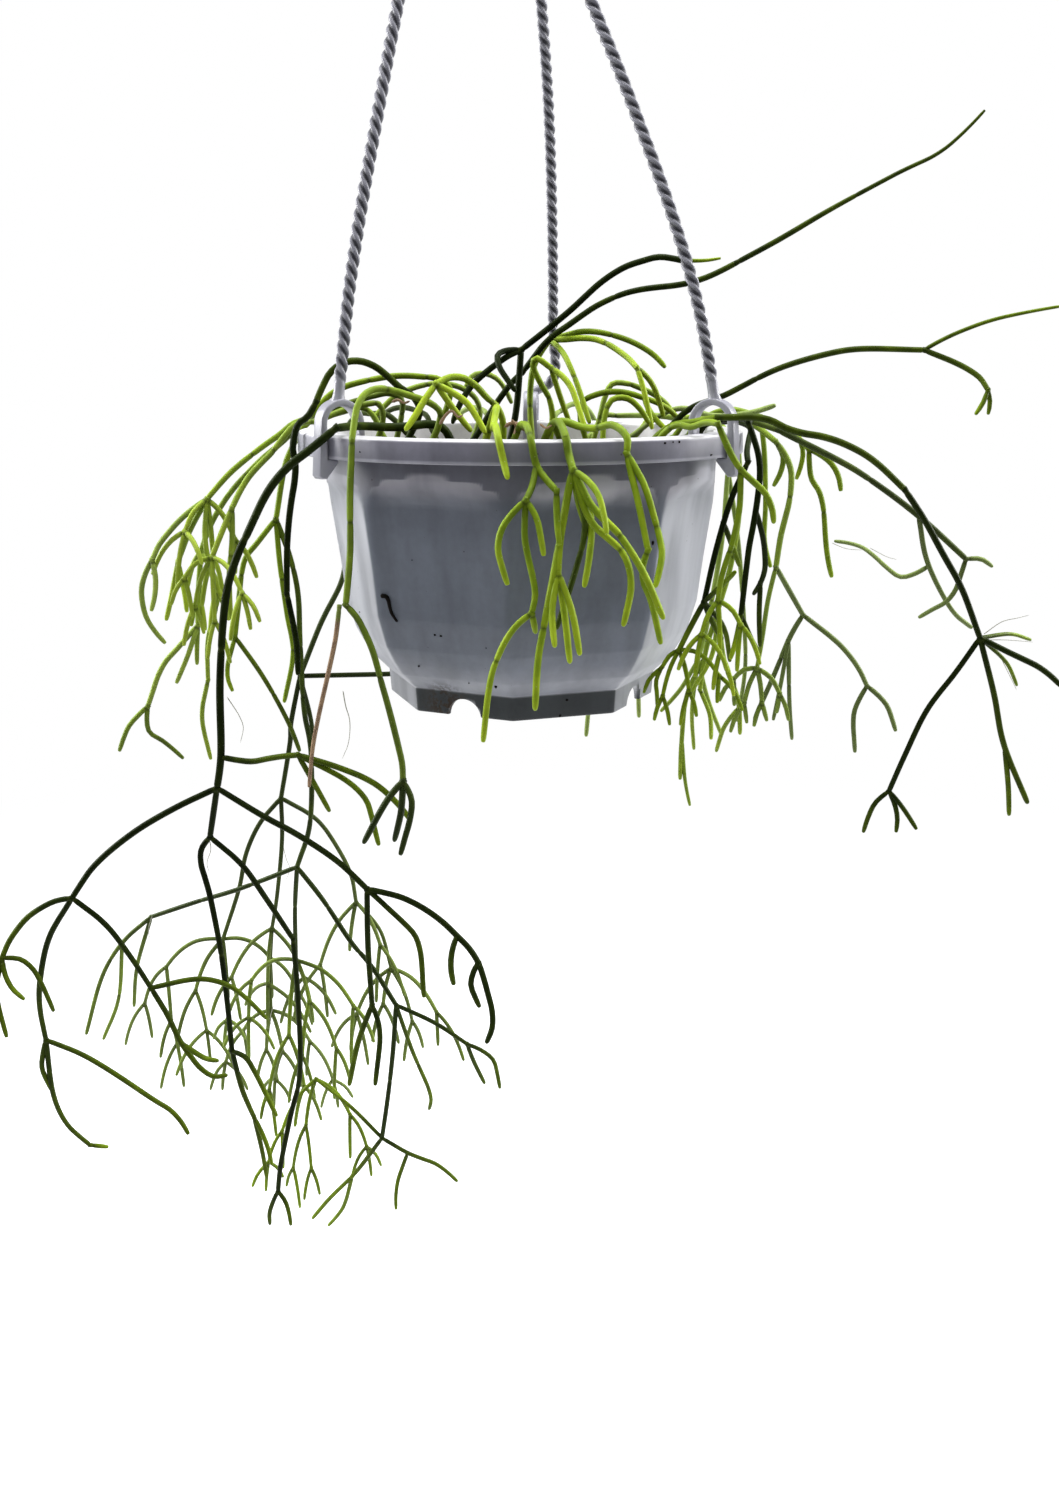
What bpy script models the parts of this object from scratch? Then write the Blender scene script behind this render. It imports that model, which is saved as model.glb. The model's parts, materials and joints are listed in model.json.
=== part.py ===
# A rhipsalis in a light plastic hanging pot: an eight-sided pot with a round rim, potting soil,
# a hanger of three twisted legs that clip over the rim and meet at a hook, and the jointed stems.
# Sizes are millimetres and turn into metres where each object is made.
# The pot frame has its origin at the middle of the rim's top, +Z up and -Y towards the front.

import math

import bmesh
import bpy
import numpy as np

# Pot
RIM_RADIUS = 110.0
RIM_INNER_RADIUS = 95.5
SKIRT_DEPTH = 10.5
SKIRT_THICKNESS = 2.0
WALL = 2.4
POT_HEIGHT = 133.8
FLOOR_TOP = -121.0
FLOOR_UNDERSIDE = -124.0
INNER_FLOOR_RADIUS = 64.5
FOOT_WALL = 3.2
CORNER_AZIMUTH = -3.0
AROUND = 32
# A radius past the pot, for a section that is round only or eight-sided only
WHOLE = 200.0
LIP_ROUNDING = 1.0
SKIRT_FLARE = 0.3
# Height, radius of the round neck and radius at the corners of the eight-sided body
BODY_SECTIONS = (
    (-10.0, 97.6, 109.0),
    (-18.0, 97.2, 108.0),
    (-22.0, 97.1, 105.0),
    (-25.5, 97.0, 101.6),
    (-29.0, 97.0, 98.6),
    (-36.0, 96.8, 97.2),
    (-63.0, 93.0, 93.2),
    (-85.0, 90.3, 90.5),
    (-100.0, 85.8, 86.0),
    (-108.0, 81.4, 81.6),
    (-114.0, 77.4, 77.6),
    (-121.5, 69.4, 69.6),
)
INNER_HEIGHTS = (-18.0, -36.0, -63.0, -85.0, -100.0, -114.0)
FOOT_TOP_RADIUS = 68.9
FOOT_BOTTOM_RADIUS = 68.0
NOTCH_RADIUS = 9.0
NOTCH_AZIMUTHS = (-25.5, 64.5, 154.5, 244.5)
DRAIN_HOLE_RADIUS = 4.0
DRAIN_CIRCLE_RADIUS = 40.0

# Soil
SOIL_TOP = -14.0
SOIL_TOP_RADIUS = 92.3
HOLE_DEPTH = 12.0
HOLE_SIDES = 6
STRAIGHT_FOOT = 4.0
FIT_GAP = 0.3

# Hanger
HUB_RADIUS = 12.0
HUB_HEIGHT = 8.0
HUB_IN_POT_FRAME = (-10.1, 0.0, 298.3)
LEG_RADIUS = 3.0
LEG_CIRCLE_RADIUS = 7.5
LEG_BOW = 0.6
ROD_STEP = 24.0
CLIP_THICKNESS = 3.0
CLIP_HALF_WIDTH = 4.0
CLIP_ARCH_HEIGHT = 5.0
CLIP_TOE = -19.4
HOOK_WIRE_RADIUS = 2.5
HOOK_BEND_RADIUS = 14.0
HOOK_SHANK = 14.5
HOOK_ARC_END = 215.0

# Front view in which the legs' and stems' routes are laid out: where the eye is, how far it
# looks down, and how many view units a slope of one covers
EYE = (4.5, -770.5, 35.4)
EYE_PITCH = 0.2564
VIEW_SCALE = 1512.0
VIEW_CENTRE = (529.5, 752.0)

# Stems
ROUTE_STEP = 8.0
STEM_GAP = 1.9
BEND_ROUNDS = 90
PAIRING_ROUNDS = 10
PAIRING_MARGIN = 8.0
THINNING = 1.0
JOINT_SHARE = 0.38
FEW_RUNS = 3
SIX_SIDED_FROM = 1.55
BLUNT_FROM = 1.2

METRE = 0.001
HOOK_CENTRE_Z = -(HOOK_BEND_RADIUS - HOOK_WIRE_RADIUS)
HUB_TOP_Z = HOOK_CENTRE_Z - HOOK_BEND_RADIUS - HOOK_SHANK
RIM_CENTRE = (
    -HUB_IN_POT_FRAME[0],
    -HUB_IN_POT_FRAME[1],
    HUB_TOP_Z - HUB_HEIGHT - HUB_IN_POT_FRAME[2],
)

# Each leg of the hanger: its clip's azimuth, and the rod's middle line from the clip up, as
# seen from the front
HANGER_LEGS = {
    "left": (-54.0, ((340.5, 392), (341.7, 367), (344, 337), (350.5, 279), (361.6, 205),
                     (377, 117), (393, 29), (408, -45), (433, -125), (466, -200))),
    "right": (62.0, ((711.3, 388), (703, 326), (688.7, 270), (671, 211), (644.7, 138),
                     (616.8, 64.5), (590.4, 0), (565, -65), (541, -130), (523, -195))),
    "back": (177.0, ((552, 396), (553, 337), (552.4, 235), (549, 117), (541, 0),
                     (531, -80), (519, -150), (506, -215))),
}

# Each stem: its tone, where it stands in the soil (x, y), and its runs. A run is its first and
# last radius, its first and last depth behind the pot's axis, and its points seen from the
# front. The first run rises from the soil. Any other starts on a point of an earlier run.
STEMS = {
    "stem_main": ("old", (-30, -38), (
        (1.97, 1.89, -46, -74, (440, 426), (400, 427), (362, 428), (338, 437)),
        (1.89, 1.80, -74, -72, (338, 437), (316, 446), (287, 468), (267, 493), (250, 528),
         (235, 562), (225, 603), (220, 680), (221, 753), (217, 788)),
        (1.56, 1.39, -72, -92, (217, 788), (175, 808), (133, 833), (95, 865), (72, 898)),
        (1.26, 1.15, -92, -104, (72, 898), (53, 902), (28, 917), (10, 940), (2, 958)),
        (1.15, 1.02, -104, -100, (2, 958), (25, 961), (40, 981), (54, 1012)),
        (1.15, 1.02, -104, -110, (2, 958), (8, 983), (25, 1000)),
        (1.15, 1.02, -104, -112, (2, 958), (-4, 990), (0, 1012), (7, 1038)),
        (1.31, 1.21, -92, -80, (72, 898), (49, 938), (40, 981), (40, 1009), (46, 1040)),
        (1.21, 1.09, -80, -76, (46, 1040), (42, 1068), (55, 1095)),
        (1.21, 1.09, -80, -70, (46, 1040), (53, 1093), (67, 1124), (90, 1145)),
        (1.09, 1.02, -70, -66, (90, 1145), (109, 1147)),
        (1.26, 1.15, -80, -88, (46, 1040), (81, 1054), (112, 1072), (151, 1098), (175, 1114),
         (189, 1135)),
        (1.31, 1.21, -92, -84, (72, 898), (105, 924), (130, 956), (151, 988)),
        (1.26, 1.15, -84, -92, (151, 988), (168, 1016), (182, 1044), (207, 1074), (228, 1075)),
        (1.21, 1.09, -92, -96, (182, 1044), (204, 1058), (219, 1061)),
        (1.26, 1.09, -84, -70, (151, 988), (196, 979), (225, 984), (246, 998), (267, 1019)),
        (1.56, 1.48, -72, -64, (217, 788), (210, 837)),
        (1.48, 1.31, -64, -58, (210, 837), (200, 856), (210, 896), (221, 953), (228, 1009),
         (232, 1051)),
        (1.26, 1.15, -58, -52, (232, 1051), (242, 1089), (254, 1117)),
        (1.15, 1.02, -52, -46, (254, 1117), (262, 1150), (267, 1179)),
        (1.15, 1.02, -52, -56, (254, 1117), (266, 1142), (272, 1165)),
        (1.21, 1.09, -58, -70, (232, 1051), (246, 1058), (260, 1082), (277, 1117)),
        (1.39, 1.31, -64, -50, (210, 837), (242, 865), (267, 900), (293, 939)),
        (1.31, 1.21, -50, -42, (293, 939), (298, 998), (300, 1072), (291, 1114), (281, 1163),
         (278, 1191)),
        (1.15, 1.02, -42, -38, (278, 1191), (270, 1210), (270, 1225)),
        (1.15, 1.02, -42, -46, (278, 1191), (287, 1205), (291, 1226)),
        (1.48, 1.39, -72, -96, (217, 788), (263, 816), (298, 835), (337, 861), (367, 889)),
        (1.48, 1.31, -96, -112, (367, 889), (403, 898), (435, 916), (460, 939), (477, 960),
         (489, 998), (493, 1023), (486, 1044)),
        (1.31, 1.21, -110, -114, (460, 939), (452, 962), (454, 986)),
        (1.31, 1.21, -111, -106, (477, 960), (470, 982), (480, 1008)),
        (1.31, 1.21, -96, -92, (367, 889), (368, 946), (372, 1005)),
        (1.26, 1.15, -92, -88, (372, 1005), (358, 1043), (349, 1086)),
        (1.26, 1.15, -92, -98, (372, 1005), (380, 1033), (375, 1086)),
        (1.26, 1.15, -96, -102, (367, 889), (395, 915), (418, 942), (424, 998)),
        (1.39, 1.31, -72, -84, (221, 753), (250, 759), (275, 756), (298, 755)),
        (1.31, 1.26, -84, -92, (298, 755), (337, 767), (372, 782), (396, 802), (412, 822)),
        (1.26, 1.15, -84, -80, (298, 755), (344, 779), (366, 800), (373, 823), (379, 846)),
        (1.21, 1.09, -84, -76, (298, 755), (315, 785), (330, 812)),
    )),
    "stem_front_left": ("young", (-44, -52), (
        (1.56, 1.52, -60, -90, (440, 412), (404, 394), (374, 389), (358, 405), (352, 440)),
        (1.52, 1.48, -90, -100, (352, 440), (350, 497), (350, 555), (345, 605)),
        (1.48, 1.44, -100, -112, (345, 605), (358, 620), (372, 649), (381, 681), (391, 717),
         (402, 763), (403, 781)),
        (1.64, 1.31, -112, -116, (403, 781), (386, 802), (363, 844)),
        (1.64, 1.31, -112, -108, (403, 781), (401, 812), (394, 842)),
        (1.48, 1.26, -112, -118, (403, 781), (412, 806), (400, 856)),
    )),
    "stem_left_loop": ("old", (-58, -16), (
        (1.64, 1.64, -24, -40, (420, 408), (398, 386), (374, 366), (350, 361), (330, 373),
         (316, 402)),
        (1.64, 1.48, -40, -34, (316, 402), (307, 433), (297, 470), (290, 511), (287, 551),
         (287, 594)),
        (1.39, 1.26, -34, -40, (287, 594), (296, 640), (298, 676)),
    )),
    "stem_left_a": ("young", (-46, 6), (
        (1.48, 1.48, 4, -12, (450, 388), (410, 376), (370, 380), (334, 392), (308, 419)),
        (1.48, 1.31, -12, -30, (308, 419), (287, 430), (258, 450), (230, 473), (207, 499)),
        (1.31, 1.21, -30, -40, (207, 499), (184, 516), (161, 542), (152, 560)),
        (1.21, 1.09, -40, -36, (152, 560), (143, 580), (142, 600), (149, 623), (166, 644)),
        (1.21, 1.09, -40, -46, (152, 560), (156, 585), (151, 612)),
        (1.26, 1.15, -30, -22, (207, 499), (190, 530), (178, 562)),
        (1.21, 1.09, -22, -18, (178, 562), (172, 594), (166, 621)),
        (1.21, 1.09, -22, -28, (178, 562), (184, 590), (187, 613)),
        (1.26, 1.15, -30, -42, (207, 499), (205, 540), (212, 572), (222, 598)),
    )),
    "stem_left_b": ("young", (-64, 18), (
        (1.48, 1.48, 16, 10, (400, 396), (352, 402), (318, 418), (303, 430)),
        (1.48, 1.31, 10, -4, (303, 430), (270, 452), (234, 488), (212, 522), (201, 551)),
        (1.26, 1.21, -4, -8, (201, 551), (198, 600), (198, 625)),
        (1.21, 1.15, -8, -16, (198, 625), (176, 650), (161, 669), (148, 706)),
        (1.15, 1.02, -16, -20, (148, 706), (129, 726), (119, 752)),
        (1.15, 1.02, -16, -10, (148, 706), (148, 730), (166, 743), (184, 759)),
        (1.15, 1.02, -8, -2, (198, 625), (197, 645), (197, 665)),
        (1.15, 1.02, -8, -14, (198, 625), (188, 655), (176, 684)),
        (1.15, 1.02, -4, 6, (201, 551), (218, 590), (208, 640), (208, 680)),
        (1.09, 1.02, 6, 8, (208, 680), (202, 717), (211, 760)),
    )),
    "stem_left_c": ("young", (-72, -4), (
        (1.56, 1.48, -10, -20, (382, 406), (344, 410), (316, 424)),
        (1.48, 1.31, -20, -36, (316, 424), (278, 448), (248, 478), (232, 508)),
        (1.26, 1.15, -36, -42, (232, 508), (221, 534), (212, 557)),
        (1.26, 1.15, -36, -30, (232, 508), (232, 545), (228, 588), (231, 620)),
    )),
    "stem_left_d": ("young", (-70, 34), (
        (1.56, 1.56, 34, 24, (366, 408), (330, 418), (303, 433)),
        (1.56, 1.48, 24, 12, (303, 433), (286, 462), (276, 519)),
        (1.31, 1.21, 12, 4, (276, 519), (258, 542), (244, 562), (238, 608), (235, 637)),
        (1.15, 1.02, 4, 0, (235, 637), (227, 671), (233, 692)),
        (1.15, 1.09, 4, 10, (235, 637), (258, 669), (275, 697), (290, 726), (300, 752)),
        (1.26, 1.09, 12, 20, (276, 519), (280, 565), (287, 614), (293, 654), (284, 703)),
        (1.31, 1.26, 12, 30, (276, 519), (290, 557), (298, 594), (300, 640), (304, 709),
         (311, 752), (310, 823), (297, 867)),
        (1.21, 1.15, 30, 50, (297, 867), (239, 889), (196, 902), (151, 917)),
        (1.15, 1.02, 50, 46, (151, 917), (123, 942), (102, 977), (86, 1035)),
        (1.09, 0.95, 46, 50, (123, 942), (119, 998), (103, 1040)),
        (1.09, 0.95, 50, 58, (151, 917), (137, 967), (134, 1007)),
        (1.21, 1.09, 30, 40, (297, 867), (295, 910), (296, 960)),
        (1.26, 1.21, 30, 8, (297, 867), (323, 900), (351, 942), (372, 967), (396, 1005)),
        (1.15, 1.09, 8, 2, (396, 1005), (435, 1023), (467, 1044)),
        (1.15, 1.02, 2, -2, (467, 1044), (492, 1058), (500, 1089)),
        (1.15, 1.02, 2, 6, (467, 1044), (474, 1062), (485, 1084)),
        (1.09, 1.02, 8, 16, (396, 1005), (412, 1050), (430, 1093), (429, 1110)),
        (1.21, 1.15, 8, 4, (396, 1005), (393, 1051), (388, 1096), (382, 1138)),
        (1.15, 1.02, 4, -2, (382, 1138), (410, 1154), (438, 1165), (458, 1182)),
        (1.09, 0.95, 4, -4, (410, 1154), (398, 1185), (396, 1210)),
        (1.15, 1.02, 4, 10, (382, 1138), (356, 1172), (330, 1198), (312, 1219)),
        (1.09, 0.95, 10, 14, (356, 1172), (345, 1205), (328, 1226)),
        (1.09, 0.95, 4, 16, (382, 1138), (351, 1107), (316, 1079)),
    )),
    "stem_left_back": ("old", (-56, 52), (
        (1.56, 1.48, 56, 88, (386, 414), (364, 424), (347, 445), (345, 500), (346, 545)),
        (1.48, 1.39, 88, 60, (346, 545), (342, 580), (321, 623), (300, 676)),
        (1.26, 1.21, 60, 84, (300, 676), (345, 675), (388, 674), (430, 672)),
        (1.15, 1.09, 60, 66, (300, 676), (311, 720), (313, 748)),
        (1.39, 1.26, 60, 70, (300, 676), (291, 723), (290, 743), (281, 798)),
        (1.21, 1.09, 70, 80, (281, 798), (260, 823), (246, 854), (239, 889), (223, 939)),
        (1.21, 1.09, 70, 90, (281, 798), (282, 840), (277, 896), (272, 928)),
        (1.21, 1.09, 70, 96, (281, 798), (316, 819), (337, 847), (351, 875), (356, 902)),
        (1.05, 1.00, 90, 96, (272, 928), (270, 970), (271, 1010)),
        (1.05, 1.00, 96, 88, (356, 902), (380, 930), (391, 968)),
    )),
    "stem_up_right_a": ("old", (-6, 8), (
        (1.64, 1.64, 8, 6, (516, 412), (519, 380), (521, 350)),
        (1.64, 1.39, 6, -20, (521, 350), (549, 328), (573, 308), (599, 284), (623, 268),
         (646, 260), (664, 257), (692, 263)),
        (0.95, 0.57, -20, -22, (678, 259), (700, 261), (722, 258)),
        (1.56, 1.48, 6, -10, (521, 350), (505, 358), (476, 381), (461, 402), (452, 424)),
        (1.39, 1.26, 6, -14, (521, 350), (500, 352), (499, 366), (516, 392)),
    )),
    "stem_up_right_b": ("old", (-26, 20), (
        (1.56, 1.56, 22, 24, (492, 410), (510, 385), (523, 372)),
        (1.56, 1.39, 24, 16, (523, 372), (543, 349), (564, 331), (593, 308), (626, 293),
         (652, 288), (684, 284), (710, 276), (736, 263)),
        (1.39, 0.66, 16, 0, (736, 263), (780, 239), (833, 208), (898, 173), (937, 154),
         (963, 133), (986, 109)),
    )),
    "stem_far_right": ("old", (66, 16), (
        (1.56, 1.48, 14, 0, (684, 412), (700, 404), (723, 396), (754, 380)),
        (1.48, 1.26, 0, -6, (754, 380), (780, 368), (819, 356), (859, 349), (924, 350)),
        (0.95, 0.66, -6, -6, (924, 350), (950, 336), (989, 321), (1028, 312), (1062, 306)),
        (1.21, 1.15, -6, -20, (924, 350), (958, 364), (979, 377), (988, 390)),
        (1.09, 0.95, -20, -24, (988, 390), (983, 403), (975, 415)),
        (1.09, 0.95, -20, -16, (988, 390), (990, 402), (988, 415)),
    )),
    "stem_right_arch": ("old", (56, -44), (
        (1.72, 1.64, -58, -80, (668, 428), (690, 424), (717, 418)),
        (1.64, 1.48, -80, -70, (717, 418), (762, 418), (793, 431), (828, 438), (857, 450),
         (879, 465), (905, 490)),
        (1.56, 1.39, -70, -60, (905, 490), (924, 519), (943, 554), (962, 589), (980, 638)),
        (1.31, 1.26, -60, -66, (980, 638), (1010, 653), (1042, 669), (1062, 687)),
        (1.31, 1.26, -60, -52, (980, 638), (994, 694), (1004, 745), (1028, 804)),
        (1.21, 1.09, -54, -50, (1004, 745), (1008, 786), (1009, 816)),
        (1.26, 1.21, -60, -44, (980, 638), (956, 672), (927, 710), (905, 755), (889, 791)),
        (1.15, 1.02, -44, -40, (889, 791), (873, 806), (863, 833)),
        (1.15, 1.02, -44, -46, (889, 791), (897, 812), (896, 833)),
        (1.15, 1.02, -44, -50, (889, 791), (903, 808), (917, 830)),
        (0.95, 0.76, -60, -30, (980, 638), (1010, 634), (1031, 640)),
        (0.95, 0.76, -60, -42, (980, 638), (1006, 662), (1017, 686)),
    )),
    "stem_right_arch_b": ("old", (72, -22), (
        (1.56, 1.48, -30, -44, (706, 424), (738, 418), (778, 430)),
        (1.48, 1.26, -44, -36, (778, 430), (828, 455), (857, 471), (889, 493), (915, 513),
         (937, 532), (966, 559)),
        (1.09, 0.95, -36, -32, (966, 559), (981, 559), (993, 567)),
        (1.09, 0.95, -36, -22, (966, 559), (953, 595), (938, 606), (918, 618)),
        (1.15, 1.02, -40, 4, (915, 513), (925, 560), (950, 608), (972, 628)),
        (1.09, 0.85, -18, 6, (925, 560), (899, 573), (873, 554), (857, 544), (833, 541)),
    )),
    "stem_right_dark_a": ("old", (80, -34), (
        (1.56, 1.48, -40, -62, (722, 424), (746, 423)),
        (1.48, 1.26, -62, -58, (746, 423), (755, 442), (760, 471), (755, 516), (749, 548),
         (741, 615)),
        (1.21, 1.09, -58, -62, (741, 615), (736, 640), (730, 660)),
        (1.15, 1.02, -58, -50, (741, 615), (752, 640), (759, 652)),
        (1.20, 1.10, -60, -36, (755, 516), (763, 545), (764, 575), (753, 595)),
        (1.15, 1.05, -40, -34, (764, 575), (761, 610), (760, 647)),
    )),
    "stem_right_dark_b": ("old", (82, 2), (
        (1.56, 1.48, -2, -42, (720, 424), (742, 430), (748, 462)),
        (1.48, 1.31, -42, -50, (748, 462), (731, 500), (716, 550), (704, 602)),
        (1.26, 1.15, -50, -46, (704, 602), (690, 628), (679, 650)),
        (1.21, 1.09, -50, -44, (704, 602), (712, 622), (723, 640)),
        (1.20, 1.10, -44, -34, (724, 524), (732, 545), (740, 567)),
        (1.15, 1.05, -50, -66, (704, 602), (722, 585), (736, 571)),
        (1.15, 1.05, -50, -34, (704, 602), (724, 628), (730, 662)),
    )),
    "stem_right_a": ("young", (64, -60), (
        (1.56, 1.48, -76, -92, (700, 424), (718, 424)),
        (1.48, 1.31, -92, -88, (718, 424), (730, 452), (742, 471), (768, 497), (774, 524)),
        (1.26, 1.15, -88, -84, (742, 471), (740, 510), (731, 548)),
        (1.21, 1.09, -84, -80, (731, 548), (722, 575), (718, 600)),
    )),
    "stem_right_b": ("young", (84, 18), (
        (1.48, 1.48, 14, -10, (724, 420), (752, 424), (776, 442)),
        (1.48, 1.31, -10, -20, (776, 442), (790, 465), (790, 497), (781, 535), (776, 567)),
        (1.21, 1.15, -20, -6, (776, 567), (790, 592), (803, 615)),
        (1.21, 1.09, -6, 4, (803, 615), (790, 637), (774, 675), (754, 720)),
        (1.09, 0.95, 0, -8, (790, 637), (782, 680), (773, 721)),
        (1.09, 0.95, 0, 10, (790, 637), (790, 700), (792, 740)),
        (1.21, 1.15, -6, -14, (803, 615), (838, 643), (857, 666), (867, 686)),
        (1.15, 1.02, -14, -10, (867, 686), (854, 713), (855, 753)),
        (1.15, 1.02, -14, -20, (867, 686), (886, 704), (896, 732)),
        (1.26, 1.15, -14, -6, (776, 442), (784, 462), (773, 487)),
        (1.15, 1.02, -20, -28, (776, 567), (768, 600), (762, 640), (757, 668)),
    )),
    "stem_right_c": ("young", (74, 38), (
        (1.48, 1.39, 34, 4, (716, 412), (752, 414), (790, 432), (809, 449)),
        (1.31, 1.21, 4, 0, (809, 449), (828, 460), (838, 475), (841, 492)),
        (1.31, 1.21, 4, 8, (809, 449), (811, 477), (822, 500), (828, 557), (832, 578)),
        (1.30, 1.10, 16, 2, (752, 414), (758, 450), (762, 502), (763, 541), (771, 568)),
        (1.20, 1.10, 6, 14, (790, 432), (798, 452), (796, 480)),
    )),
    "stem_right_tip": ("young", (52, 40), (
        (1.39, 1.26, 40, 10, (672, 410), (712, 416), (749, 413), (776, 405)),
    )),
    "stem_right_low_a": ("young", (60, 60), (
        (1.48, 1.48, 64, 30, (660, 420), (712, 424), (738, 440)),
        (1.48, 1.26, 30, 14, (738, 440), (740, 500), (732, 560), (718, 610)),
        (1.21, 1.09, 14, 10, (718, 610), (706, 650), (700, 690)),
        (1.21, 1.09, 14, 24, (718, 610), (724, 660), (738, 700), (740, 735)),
        (1.15, 1.02, 10, 18, (706, 650), (688, 690), (682, 740), (680, 780)),
        (1.02, 0.85, 18, 22, (682, 740), (685, 780), (690, 806)),
        (1.15, 1.00, 14, 0, (718, 610), (712, 655), (690, 694)),
        (1.10, 1.00, 10, -4, (700, 690), (710, 715), (711, 740)),
        (1.10, 1.00, 24, 36, (738, 700), (724, 722), (716, 752)),
    )),
    "stem_right_low_b": ("young", (36, 74), (
        (1.39, 1.39, 82, 74, (610, 420), (664, 418), (716, 430), (728, 470)),
        (1.31, 1.21, 74, 54, (728, 470), (722, 540), (708, 620), (698, 660)),
        (1.15, 1.02, 54, 50, (698, 660), (680, 690), (660, 712)),
        (1.15, 1.02, 54, 60, (698, 660), (708, 700), (722, 736)),
        (1.09, 0.95, 54, 58, (698, 660), (692, 710), (694, 750)),
        (1.20, 1.00, 74, 86, (728, 470), (738, 540), (744, 620), (745, 670), (737, 722)),
    )),
    "stem_front_a": ("young", (-6, -76), (
        (1.64, 1.56, -92, -122, (521, 424), (523, 432), (528, 450), (537, 469), (557, 491)),
        (1.48, 1.26, -122, -124, (557, 491), (558, 523), (560, 546)),
        (1.39, 1.26, -122, -126, (528, 450), (529, 478), (526, 500)),
        (1.31, 1.21, -126, -128, (526, 500), (505, 523), (498, 549), (508, 586)),
        (1.31, 1.26, -126, -124, (526, 500), (525, 540), (535, 590), (532, 613)),
        (1.31, 1.15, -124, -128, (532, 613), (511, 632), (494, 667), (488, 696), (483, 743)),
        (1.26, 1.15, -124, -120, (532, 613), (536, 634)),
        (1.31, 1.21, -126, -130, (526, 500), (537, 520), (544, 557)),
    )),
    "stem_front_b": ("young", (8, -74), (
        (1.80, 1.72, -92, -120, (552, 426), (562, 444), (573, 470)),
        (1.72, 1.48, -120, -134, (573, 470), (593, 508), (617, 532), (643, 572), (664, 620)),
        (1.64, 1.39, -120, -128, (573, 470), (590, 520), (622, 552), (631, 585), (623, 627)),
        (1.72, 1.56, -120, -122, (573, 470), (566, 500), (560, 540), (558, 573)),
        (1.56, 1.39, -122, -118, (558, 573), (564, 610), (570, 664)),
        (1.56, 1.39, -122, -128, (558, 573), (572, 612), (580, 656)),
        (1.48, 1.31, -122, -132, (558, 573), (552, 612), (555, 648)),
        (1.72, 1.56, -122, -126, (560, 540), (552, 585), (545, 620), (538, 660), (535, 711)),
        (1.35, 1.20, -120, -138, (573, 470), (590, 483), (601, 502), (607, 535)),
        (1.30, 1.15, -120, -112, (573, 470), (579, 505), (590, 537)),
        (1.60, 1.45, -108, -122, (562, 444), (574, 478), (590, 512), (590, 550), (584, 588)),
        (1.25, 1.15, -118, -110, (573, 470), (585, 525), (574, 575), (556, 630)),
    )),
    "stem_front_c": ("young", (22, -58), (
        (1.72, 1.64, -76, -106, (556, 422), (584, 429), (611, 444), (626, 455)),
        (1.56, 1.48, -106, -118, (626, 455), (637, 497), (648, 550)),
        (1.48, 1.26, -118, -114, (648, 550), (642, 575), (652, 604), (661, 645)),
        (1.56, 1.31, -106, -126, (626, 455), (643, 482), (657, 528), (662, 555), (655, 588)),
    )),
    "stem_front_stub": ("young", (-18, -62), (
        (1.72, 1.56, -80, -120, (496, 408), (493, 432), (499, 452), (508, 480)),
    )),
    "stem_arch_left": ("young", (-8, -48), (
        (1.56, 1.56, -52, -76, (502, 416), (488, 399), (470, 381), (452, 377), (436, 384)),
        (1.56, 1.31, -76, -88, (436, 384), (422, 404), (405, 434)),
        (1.48, 1.26, -76, -66, (436, 384), (455, 411), (472, 432)),
        (1.48, 1.26, -76, -84, (436, 384), (466, 402), (486, 434)),
    )),
    "stem_arch_right": ("young", (6, 26), (
        (1.56, 1.56, 28, 24, (530, 400), (534, 365), (549, 338)),
        (1.56, 1.39, 24, -10, (549, 338), (594, 339), (623, 354), (637, 368)),
        (1.31, 1.21, -10, -20, (637, 368), (644, 391), (652, 430)),
        (1.31, 1.21, -10, 2, (637, 368), (653, 385), (662, 418)),
        (1.39, 1.21, 24, 10, (549, 338), (586, 331), (622, 338), (650, 352), (666, 368)),
        (1.39, 1.26, 24, -6, (549, 338), (562, 351), (576, 381), (590, 424)),
    )),
    "stem_arch_mid": ("young", (14, -14), (
        (1.48, 1.48, -14, -22, (552, 408), (538, 378), (531, 356), (551, 368)),
        (1.39, 1.21, -22, -40, (551, 368), (568, 382), (578, 406), (586, 432)),
        (1.31, 1.21, -22, -12, (551, 368), (560, 396), (570, 424)),
    )),
    "stem_inner_a": ("young", (34, 8), (
        (1.48, 1.39, 6, 10, (580, 408), (598, 394), (622, 392), (644, 398)),
        (1.31, 1.21, 10, 16, (644, 398), (664, 406), (680, 420)),
        (1.31, 1.21, 10, -2, (644, 398), (652, 412), (668, 430)),
    )),
    "stem_inner_b": ("young", (40, -30), (
        (1.48, 1.31, -28, -20, (604, 420), (614, 398), (634, 402), (650, 424)),
    )),
    "stem_inner_c": ("young", (38, 44), (
        (1.48, 1.39, 44, 54, (600, 416), (612, 384), (640, 388), (664, 402), (684, 430)),
    )),
    "stem_inner_d": ("young", (-26, 56), (
        (1.48, 1.39, 56, 40, (480, 408), (462, 388), (430, 384), (396, 396), (372, 420)),
        (1.31, 1.21, 56, 66, (462, 388), (474, 372), (498, 380), (512, 404)),
    )),
    "stem_back_a": ("young", (-20, 78), (
        (1.48, 1.39, 92, 122, (486, 414), (470, 408), (452, 424), (440, 470)),
        (1.31, 1.21, 122, 128, (440, 470), (430, 540), (436, 600)),
        (1.31, 1.21, 122, 134, (440, 470), (455, 520), (462, 590)),
    )),
    "stem_back_b": ("young", (14, 80), (
        (1.48, 1.39, 94, 124, (560, 412), (580, 404), (596, 424), (604, 470)),
        (1.31, 1.21, 124, 130, (604, 470), (614, 540), (602, 640), (590, 700), (586, 737)),
        (1.31, 1.21, 124, 136, (604, 470), (626, 540), (636, 630), (639, 718)),
    )),
    "stem_back_c": ("old", (-46, 70), (
        (1.48, 1.39, 84, 112, (420, 414), (396, 408), (374, 426), (366, 470)),
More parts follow.
